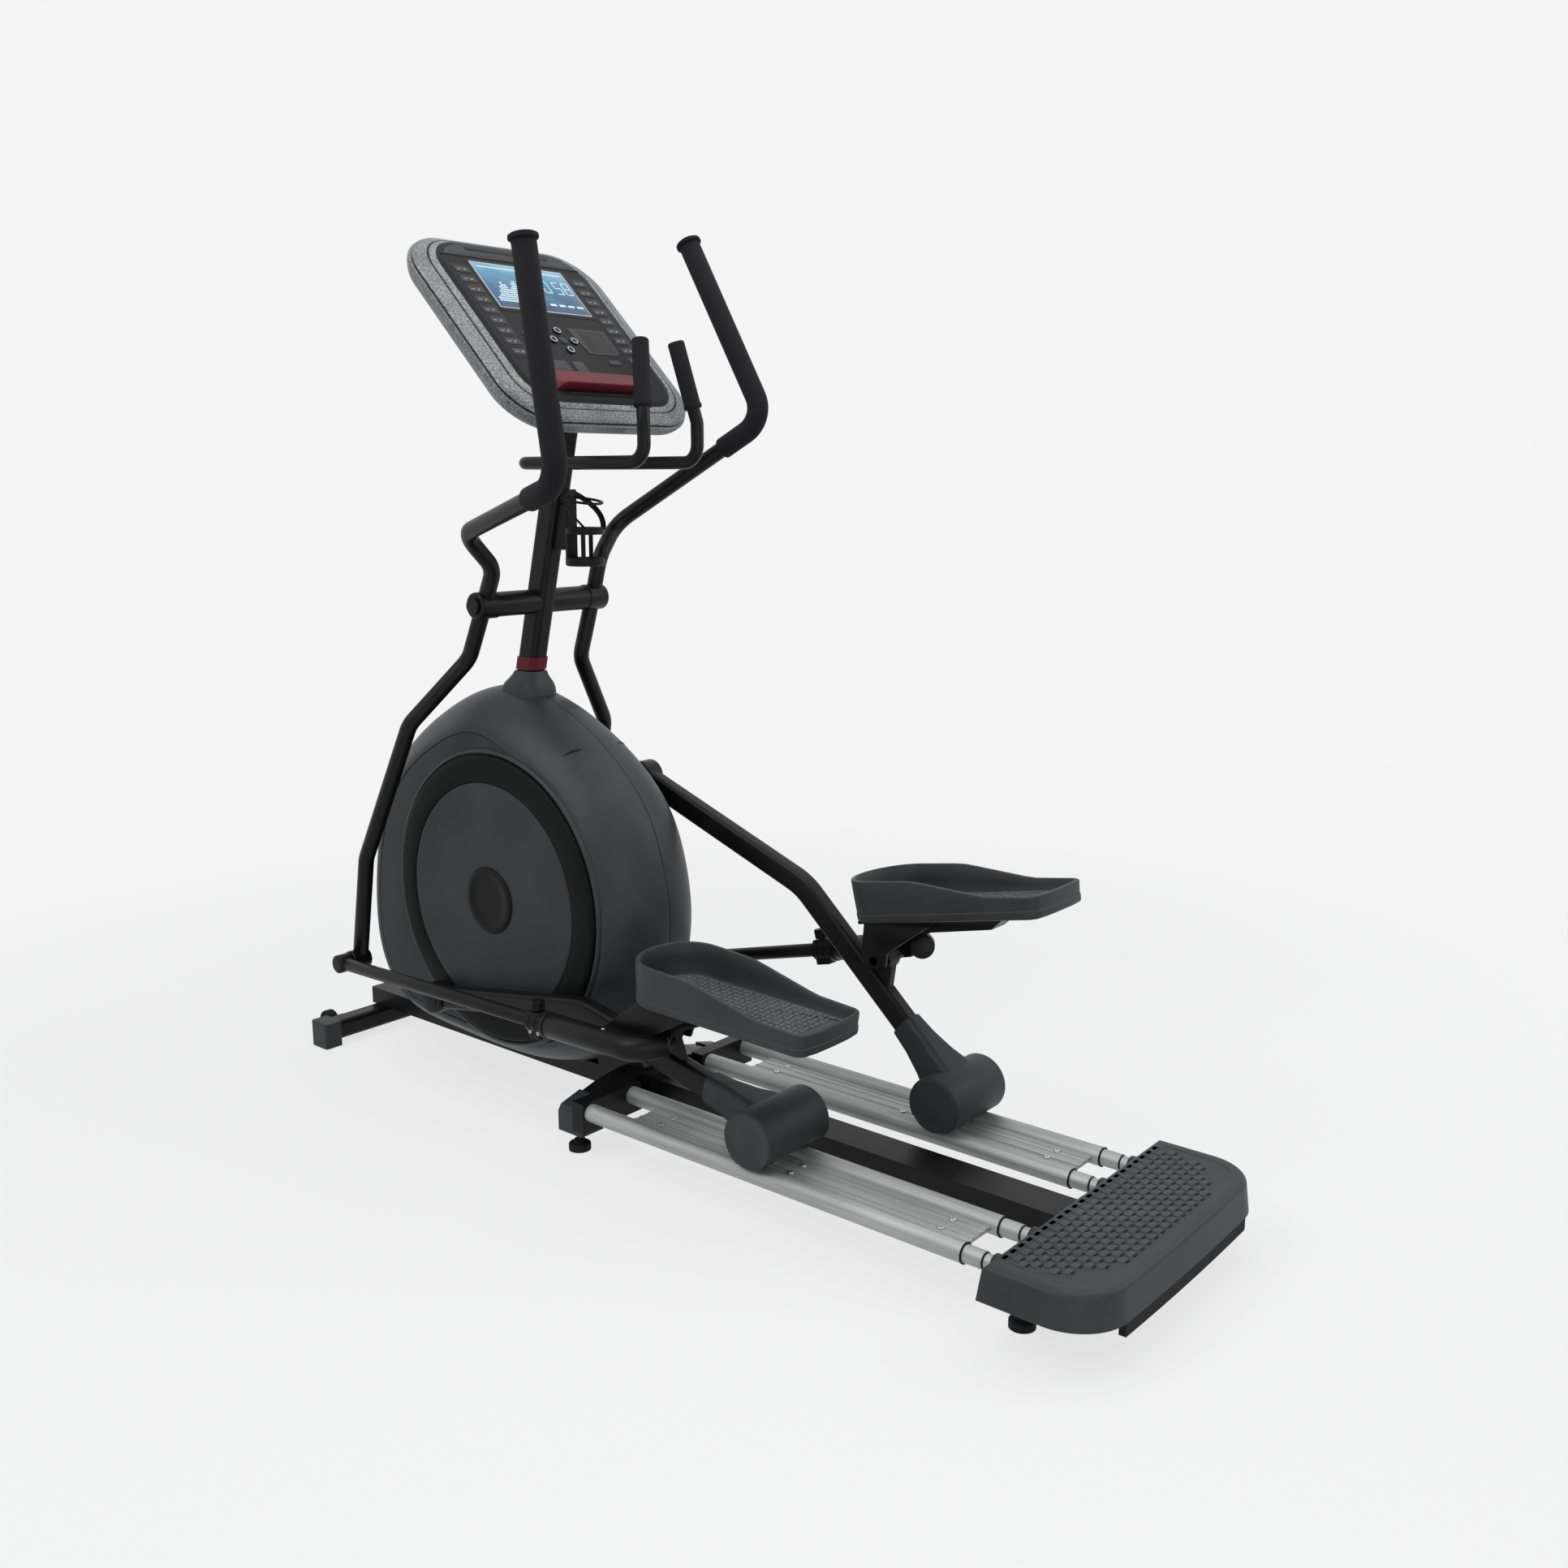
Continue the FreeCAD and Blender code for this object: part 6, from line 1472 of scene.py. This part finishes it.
    def _ledge(self) -> None:
        """Red ramp up to the book ledge, carried across the face and tapered at both ends."""
        profile = np.array([(-.138, -.0004), (-.1385, .0012), (-.152, .0034), (-.166, .0076),
                            (-.176, .0128), (-.183, .0178), (-.1865, .0196), (-.189, .0196),
                            (-.1905, .018), (-.1905, .012), (-.190, .004), (-.1895, -.0004)])
        spots = np.concatenate([[-.122, -.1205, -.116], np.linspace(-.105, .105, 15),
                                [.116, .1205, .122]])
        size = np.clip((0.122 - np.abs(spots)) / .014, 0, 1) ** 0.5
        loops = []
        for x, k in zip(spots, np.maximum(size, .08)):
            loops.append(np.column_stack([np.full(len(profile), x),
                                          -.19 + (profile[:, 0] + .19) * (.55 + .45 * k),
                                          profile[:, 1] * k]))
        self._put("console_ledge", Shape.loft(loops), Finish.RED, "band_red")
        self._put("ledge_pad", self._pad(.0, -.1975, .2, .010, .004, .0016), Finish.BLACK)


# ---------------------------------------------------------------- bottle cage
@dataclass
class BottleCage:
    """Cup on the rear of the post: dished floor, band, rim, two falling straps and a spine."""

    centre: float = -0.2796
    base: float = 1.130
    radius: float = 0.039
    height: float = 0.150

    def build(self) -> None:
        """Makes the cage as one piece."""
        parts = [self._floor(), self._ring(.062, .014), self._spine(), self._bracket()]
        parts += [self._strap(sign) for sign in (-1, 1)]
        parts += [self._strut(degrees) for degrees in (-48, 48, -118, 118)]
        parts.append(self._rim())
        adder("frame")("cage", together(parts), Finish.BLACK, "cage_plastic", "bottle_cage")

    def _floor(self) -> Shape:
        """Dished floor with a low wall."""
        r = self.radius
        rows = [(0, 0), (r - .003, 0), (r, .0025), (r, .015), (r - .0012, .0162), (r - .0026, .015),
                (r - .0026, .005), (0, .005)]
        return lathe(rows, (self.centre, 0, self.base), (0, 0, 1), 56)

    def _ring(self, low: float, tall: float) -> Shape:
        """Flat band round the bottle."""
        r = self.radius
        high = low + tall
        rows = [(r - .0028, low + .001), (r - .0018, low), (r - .001, low), (r, low + .001),
                (r, high - .001), (r - .001, high), (r - .0018, high), (r - .0028, high - .001),
                (r - .0028, low + .001)]
        return lathe(rows, (self.centre, 0, self.base), (0, 0, 1), 56)

    def _around(self, turn: Array, z: Array, inset: float = 0.0016) -> Array:
        """Points on the cage's wall at angles from the rear and heights above the base."""
        r = self.radius - inset
        return np.stack([self.centre + r * np.cos(turn), r * np.sin(turn), self.base + z], -1)

    def _strap(self, sign: int) -> Shape:
        """Strap falling from the spine's top: z = 0.144 - 0.072 t^1.4, angle 178 - 140 t."""
        t = np.linspace(0, 1, 28)
        path = self._around(np.radians(sign * (178 - 140 * t)), .144 - .072 * t ** 1.4)
        return sweep(path, rounded_box(.011, .003, .0012, 4), side=(0, 0, 1))

    def _strut(self, degrees: float) -> Shape:
        """Upright from the floor's wall to the band."""
        z = np.linspace(.008, .072, 6)
        return sweep(self._around(np.full(6, math.radians(degrees)), z),
                     rounded_box(.009, .003, .0012, 4),
                     side=(-math.sin(math.radians(degrees)), math.cos(math.radians(degrees)), 0))

    def _rim(self) -> Shape:
        """Slim rim that dips toward the rear: z = 0.134 - 0.006 (1 + cos angle)."""
        turn = np.linspace(0, 2 * np.pi, 73)[:-1]
        path = self._around(turn, .134 - .006 * (1 + np.cos(turn)), 0.0026)
        ahead = np.roll(path, -1, 0) - np.roll(path, 1, 0)
        ahead /= np.linalg.norm(ahead, axis=1, keepdims=True)
        out = np.stack([np.cos(turn), np.sin(turn), np.zeros_like(turn)], -1)
        third = np.cross(ahead, out)
        section = circle(.0026, 12)
        rings = (path[:, None] + section[None, :, :1] * out[:, None]
                 + section[None, :, 1:] * third[:, None])
        return Shape.grid(rings, close_u=True, close_v=True)

    def _spine(self) -> Shape:
        """Upright plate at the cage's front."""
        spot = (self.centre - self.radius + .001, 0)
        return plate(rounded_box(.006, .028, .0025) + spot, self.base, self.base + self.height, .002)

    def _bracket(self) -> Shape:
        """Block that joins the spine to the post."""
        low, high = self.base + .030, self.base + .120
        rear = self.centre - self.radius + .002
        front = [POST.at(z) + .0268 for z in (low, high)]
        outline = np.array([(front[0], low), (rear, low), (rear, high), (front[1], high)])
        return plate(outline, -.010, .010, .0015).upright()


# ---------------------------------------------------------------- fixed handlebar
@dataclass
class FixedHandlebar:
    """U-shaped bar on the post with two foam grips."""

    radius: float = 0.0125
    bend: float = 0.034
    grip_radius: float = 0.016
    grip_length: float = 0.128
    height: float = 1.331
    half: float = 0.072
    rear: float = -0.038
    front: float = -0.3889
    shoulder: float = 1.405
    top: tuple = (-0.067, 0.048, 1.548)

    def build(self) -> None:
        """Makes the bar and its grips."""
        shoulder = (self.rear, self.half, self.shoulder)
        half_run = [(self.front, self.half, self.height), (self.rear, self.half, self.height), shoulder,
                    self.top]
        run = [(x, -y, z) for x, y, z in half_run[::-1]] + half_run
        add = adder("frame")
        add("fixed_bar", tube(run, self.radius, self.bend, 36, side=(1, 0, 0)), Finish.FRAME,
            "frame_black", "fixed_handlebar")
        grips = []
        for side in (-1, 1):
            low, high = np.array(shoulder) * (1, side, 1), np.array(self.top) * (1, side, 1)
            along = (high - low) / np.linalg.norm(high - low)
            end = high + along * .006
            r, n = self.grip_radius, self.grip_length
            rows = [(0, 0), (r - .005, 0), (r - .002, -.001), (r, -.004), (r, -n + .010),
                    (r + .0012, -n + .008), (r + .0016, -n + .005), (r + .001, -n + .001), (r - .001, -n),
                    (self.radius - .001, -n)]
            grips.append(lathe(rows, end, along, 48))
        add("fixed_foam", together(grips), Finish.FOAM, "foam", "fixed_grips")
        LOG.info("fixed bar: %d grips", len(grips))


# ---------------------------------------------------------------- rails and rear step
@dataclass
class Rails:
    """Trim on the two double rails: joint rings, web ribs and the rods' bright sleeves."""

    centre: float = 0.1705
    spread: float = 0.056
    height: float = 0.100
    radius: float = 0.0175
    rod_radius: float = 0.0142
    web: tuple = (0.030, 0.783)
    tube_end: float = 0.795
    sleeve_start: float = 0.797
    rod_ring: float = 0.8335
    ribs: tuple = (-.0265, -.0115, .0115, .0265)

    def build(self) -> None:
        """Makes the trim of both rails."""
        rings, ribs, sleeves = [], [], []
        for side in (-1, 1):
            for offset in (-self.spread, self.spread):
                y = side * self.centre + offset
                rings.append(self._ring(self.tube_end, y, self.radius + .0007))
                rings.append(self._ring(self.rod_ring, y, self.rod_radius))
                sleeves.append(lathe([(.0132, 0), (.0152, .0006), (.0152, .036), (.0132, .0366)],
                                     (self.sleeve_start, y, self.height), (1, 0, 0), 40))
            for dy in self.ribs:
                path = np.array([(x, side * self.centre + dy, self.height + .0031) for x in self.web])
                ribs.append(sweep(path, rounded_box(.0042, .0026, .0009, 3)))
        add = adder("frame")
        add("rail_rings", together(rings), Finish.BLACK, "step_plastic")
        add("rail_ribs", together(ribs), Finish.RAIL, "rail_aluminium")
        add("rod_sleeves", together(sleeves), Finish.RAIL, "rail_aluminium")
        LOG.info("rails: %d ribs", len(ribs))

    def _ring(self, x: float, y: float, radius: float) -> Shape:
        """Slim dark ring round a tube."""
        rows = [(radius - .002, 0), (radius, .0003), (radius, .0022), (radius - .002, .0025)]
        return lathe(rows, (x, y, self.height), (1, 0, 0), 40)


@dataclass
class RearStep:
    """Moulded step: skirted shell, patterned top, rod collars."""

    front: float = 0.863
    rear: float = 1.075
    half: float = 0.302
    corner: float = 0.096
    bow: float = 0.003
    top: float = 0.134
    skirt: float = 0.076
    lean: float = 0.007
    edge: float = 0.0105
    rods: tuple = (-.2265, -.1145, .1145, .2265)
    pitch: tuple = (0.0158, 0.0240)

    def build(self) -> None:
        """Makes the shell, the raised pads, the dark ticks painted as the shade in the gaps, and the
        collars.
        """
        add = adder("frame")
        add("step_shell", self._shell(), Finish.TRAY, "step_plastic", "step_platform")
        pads, shade_ticks = self._pattern()
        add("step_pads", pads, Finish.PADS, "tread_rubber", sharp=25)
        # painted shade: black ticks stand for the shaded recesses between the pad rows
        add("step_ticks", shade_ticks, Finish.BLACK, "tread_rubber", sharp=25)
        rows = [(.0132, 0), (.016, 0), (.0175, .0012), (.018, .003), (.018, .018), (.0132, .018),
                (.0132, 0)]
        collars = [lathe(rows, (self.front - .014, y, .1), (1, 0, 0), 48) for y in self.rods]
        collars.append(plate(rounded_box(.016, .088, .007) + (self.front + .001, 0), .058, .1165, .002))
        add("step_collars", together(collars), Finish.TRAY, "step_plastic")

    def _outline(self, inset: float) -> Array:
        """Plan outline: straight front, bowed rear, corners on three-point arcs."""
        x0, x1, half = self.front + inset, self.rear - inset, self.half - inset
        corner = self.corner - inset
        straight = x1 - self.bow - corner
        cut = corner * (1 - math.sqrt(0.5))
        mid = (x1 - self.bow - cut, half - cut)
        join = (x1 - self.bow, half - corner)
        low = arc((straight, -half), (mid[0], -mid[1]), (join[0], -join[1]), 22)
        rear = arc((join[0], -join[1]), (x1, 0), join, 22)
        high = arc(join, mid, (straight, half), 22)
        side = np.column_stack([np.linspace(straight, x0, 8), np.full(8, half)])
        front = np.column_stack([np.full(20, x0), np.linspace(half, -half, 20)])
        return np.vstack([low[:-1], rear[:-1], high[:-1], side[:-1], front[:-1],
                          (side * (1, -1))[::-1][:-1]])

    def _shell(self) -> Shape:
        """Skirt, leaning wall, rounded edge, a border step and the ceiling underneath."""
        t, s, edge = self.top, self.skirt, self.edge
        slope = self.lean / (t - s)
        reach = slope * (t - edge - s)
        profile = [(.018, t - .008), (.0046, s + .0006), (.0036, s), (.0008, s), (0, s + .001)]
        profile += [(slope * (z - s), z) for z in np.linspace(s + .004, t - edge, 4)]
        profile += [(reach + edge * (1 - math.cos(a)), t - edge * (1 - math.sin(a)))
                    for a in np.linspace(0.15, np.pi / 2, 8)]
        profile += [(.029, t), (.030, t - .0001), (.0312, t - .0011), (.034, t - .0012)]
        return Shape.loft([at_height(self._outline(inset), z) for inset, z in profile])

    def _pattern(self) -> tuple:
        """Raised pads in rows along Y, and a black tick in each gap as painted shade for the gap's
        recess, kept inside the border.
        """
        (row_pitch, pad_pitch), border, y_end = self.pitch, .040, .252
        limit_x = np.max(self._outline(border)[:, 0]) - .006
        xs = np.arange(self.front + .020, limit_x, row_pitch)
        ys = np.arange(-y_end, y_end + .0001, pad_pitch)
        gx, gy = (g.ravel() for g in np.meshgrid(xs, ys, indexing="ij"))
        gy = gy + (np.round((gx - xs[0]) / row_pitch).astype(int) % 2) * pad_pitch / 2
        keep = np.abs(gy) < self.half - .046 - np.clip(gx - (self.rear - .150), 0, None) ** 2 / .105
        gx, gy = gx[keep], gy[keep]
        level, along = self.top - .0012, (0.0, 1.0, 0.0)
        pads = studs(np.column_stack([gx, gy]), level, (.0095, .0054), .0012, along)
        # the ticks are painted shade for the recesses between the pad rows
        shade_ticks = studs(np.column_stack([gx + .0079, gy + .002]), level, (.0052, .0016), .0014, along)
        return pads, shade_ticks


# ---------------------------------------------------------------- carried-over nodes and studio
SLOT_FINISHES = {
    "frame_black": Finish.FRAME, "shroud_plastic": Finish.SHELL, "step_plastic": Finish.TRAY,
    "tread_rubber": Finish.TREAD, "foam": Finish.FOAM, "band_red": Finish.RED,
    "rail_aluminium": Finish.RAIL,
    "screw_steel": Finish.STEEL, "bright_steel": Finish.STEEL, "flywheel_iron": Finish.IRON,
    "pulley_plastic": Finish.BLACK, "belt_rubber": Finish.RUBBER, "roller_urethane": Finish.RUBBER,
    "wheel_rubber": Finish.RUBBER, "foot_rubber": Finish.RUBBER, "console_grey": Finish.SILVER,
    "console_charcoal": Finish.FACE, "screen_glass": Finish.SCREEN, "key_plastic": Finish.BLACK,
    "key_red": Finish.RED, "knob_plastic": Finish.BLACK, "cage_plastic": Finish.BLACK,
}
# nodes that take another finish than their slot's
NODE_FINISHES = {"swing_axle": Finish.FRAME, "step_bumper": Finish.RUBBER, "crank_bearings": Finish.IRON}


def dress_nodes(frame: dict) -> None:
    """Gives every CAD node its slot's finish.
    """
    slots = {part["node"]: part["material_slot"] for part in frame["record"]["subparts"]}
    for name, node in frame["nodes"].items():
        material = NODE_FINISHES.get(name, SLOT_FINISHES[slots[name]]).material()
        if not node.material_slots:
            node.data.materials.append(material)
        for slot in node.material_slots:
            slot.material = material


@dataclass
class Studio:
    """Pale floor, soft lamps, pale surroundings and the camera."""

    place: tuple = (1.99, -2.12, 1.30)
    heading: float = 39.6
    dip: float = 11.3
    lens: float = 35.03
    pale: float = 0.91
    sky: tuple = (.9, .93, 1, 1)
    sky_strength: float = 0.34
    floor_size: tuple = (14, -.002)
    fade: tuple = (1.1, 3.4, 0.8, 1.0)
    lamps: tuple = (("key", (-.6, -2.6, 3.6), (0, 0, .5), 2.4, 62.0),
                    ("top", (.4, .6, 3.6), (0, 0, .4), 3.0, 42.0),
                    ("rim", (2.6, 2.4, 2.4), (0, 0, .7), 1.8, 26.0),
                    ("low", (2.4, -1.6, .9), (0, 0, .5), 1.6, 9.0))

    def build(self) -> None:
        """Makes the floor, world, lamps and camera."""
        self._floor()
        self._world()
        for name, place, target, size, power in self.lamps:
            self._lamp(name, place, target, size, power)
        self._camera()

    @staticmethod
    def _combined(tree: bpy.types.NodeTree, operation: str, first: bpy.types.NodeSocket,
                  second: bpy.types.NodeSocket) -> bpy.types.NodeSocket:
        """One Math node on two sockets."""
        made = tree.nodes.new("ShaderNodeMath")
        made.operation = operation
        tree.links.new(first, made.inputs[0])
        tree.links.new(second, made.inputs[1])
        return made.outputs[0]

    def _pale_for_eye(self, tree: bpy.types.NodeTree) -> bpy.types.NodeSocket:
        """1 on camera, glossy and transmission rays."""
        path = tree.nodes.new("ShaderNodeLightPath")
        total = path.outputs["Is Camera Ray"]
        for name in ("Is Glossy Ray", "Is Transmission Ray"):
            total = self._combined(tree, "MAXIMUM", total, path.outputs[name])
        return total

    def _distance(self, tree: bpy.types.NodeTree) -> bpy.types.NodeSocket:
        """0.8 under the machine, rising to 1 far out, where the floor meets the surroundings."""
        where = tree.nodes.new("ShaderNodeTexCoord")
        length = tree.nodes.new("ShaderNodeVectorMath")
        length.operation = "LENGTH"
        tree.links.new(where.outputs["Object"], length.inputs[0])
        ramp = tree.nodes.new("ShaderNodeMapRange")
        ramp.interpolation_type = "SMOOTHSTEP"
        for index, value in enumerate(self.fade, 1):
            ramp.inputs[index].default_value = value
        tree.links.new(length.outputs["Value"], ramp.inputs[0])
        return ramp.outputs[0]

    def _shader(self, tree: bpy.types.NodeTree, kind: str,
                colour: Sequence[float]) -> bpy.types.ShaderNode:
        """A one-colour shader node."""
        made = tree.nodes.new(kind)
        made.inputs["Color"].default_value = colour
        return made

    @staticmethod
    def _mixed(tree: bpy.types.NodeTree, output: str, factor: bpy.types.NodeSocket,
               low: bpy.types.ShaderNode, high: bpy.types.ShaderNode) -> None:
        """Mixes two shaders by a factor and feeds the tree's output."""
        mix, end = tree.nodes.new("ShaderNodeMixShader"), tree.nodes.new(output)
        for start, stop in ((factor, mix.inputs[0]), (low.outputs[0], mix.inputs[1]),
                            (high.outputs[0], mix.inputs[2]), (mix.outputs[0], end.inputs[0])):
            tree.links.new(start, stop)

    def _floor(self) -> None:
        """Wide disc a hair under the feet, pale, with the object's shadow on it."""
        radius, z = self.floor_size
        shape = lathe([(0, z), (radius, z)], (0, 0, 0), (0, 0, 1), 64)
        mesh = bpy.data.meshes.new("studio_floor")
        mesh.from_pydata(shape.points.tolist(), [], [tuple(f) for f in shape.faces[0].tolist()])
        floor = bpy.data.objects.new("studio_floor", mesh)
        bpy.context.scene.collection.objects.link(floor)
        material = bpy.data.materials.new("studio_floor")
        material.use_nodes = True
        tree, white = material.node_tree, (self.pale, self.pale, self.pale, 1)
        tree.nodes.clear()
        factor = self._combined(tree, "MULTIPLY", self._pale_for_eye(tree), self._distance(tree))
        self._mixed(tree, "ShaderNodeOutputMaterial", factor,
                    self._shader(tree, "ShaderNodeBsdfDiffuse", white),
                    self._shader(tree, "ShaderNodeEmission", white))
        mesh.materials.append(material)

    def _world(self) -> None:
        """Pale to the eye and in reflections, a soft grey as light."""
        world = bpy.data.worlds.new("studio")
        bpy.context.scene.world = world
        world.use_nodes = True
        tree = world.node_tree
        tree.nodes.clear()
        light = self._shader(tree, "ShaderNodeBackground", self.sky)
        light.inputs["Strength"].default_value = self.sky_strength
        seen = self._shader(tree, "ShaderNodeBackground", (self.pale, self.pale, self.pale, 1))
        self._mixed(tree, "ShaderNodeOutputWorld", self._pale_for_eye(tree), light, seen)

    @staticmethod
    def _lamp(name: str, place: tuple, target: tuple, size: float, power: float) -> None:
        """Square area lamp turned to a target."""
        data = bpy.data.lights.new("lamp_" + name, "AREA")
        data.size, data.energy = size, power
        lamp = bpy.data.objects.new("lamp_" + name, data)
        lamp.location = place
        lamp.rotation_euler = (Vector(target) - Vector(place)).to_track_quat("-Z", "Y").to_euler()
        bpy.context.scene.collection.objects.link(lamp)

    def _camera(self) -> None:
        """Camera at the given place, looking along its heading and dip."""
        h, d = math.radians(self.heading), math.radians(self.dip)
        ahead = Vector((-math.sin(h) * math.cos(d), math.cos(h) * math.cos(d), -math.sin(d)))
        data = bpy.data.cameras.new("view")
        data.lens, data.sensor_width = self.lens, 36.0
        camera = bpy.data.objects.new("view", data)
        camera.location = self.place
        camera.rotation_euler = ahead.to_track_quat("-Z", "Y").to_euler()
        bpy.context.scene.collection.objects.link(camera)
        bpy.context.scene.camera = camera


def main() -> None:
    """Loads the frame, builds each sub-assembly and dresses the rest."""
    logging.basicConfig(level=logging.INFO, format="%(name)s %(message)s")
    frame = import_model()
    joints = {joint["name"]: joint for joint in frame["joints"]}
    dress_nodes(frame)
    assemblies = [Studio(), Shroud(), CrankDiscs()]
    for linkage in (Linkage(side, joints) for side in Side):
        assemblies += [SwingArm(linkage), PedalArm(linkage), Pedal(linkage)]
    assemblies += [Console(), BottleCage(), FixedHandlebar(), Rails(), RearStep()]
    for assembly in assemblies:
        assembly.build()
    bpy.context.scene.view_settings.view_transform = "Standard"
    bpy.context.view_layer.update()


if __name__ == "__main__":
    main()
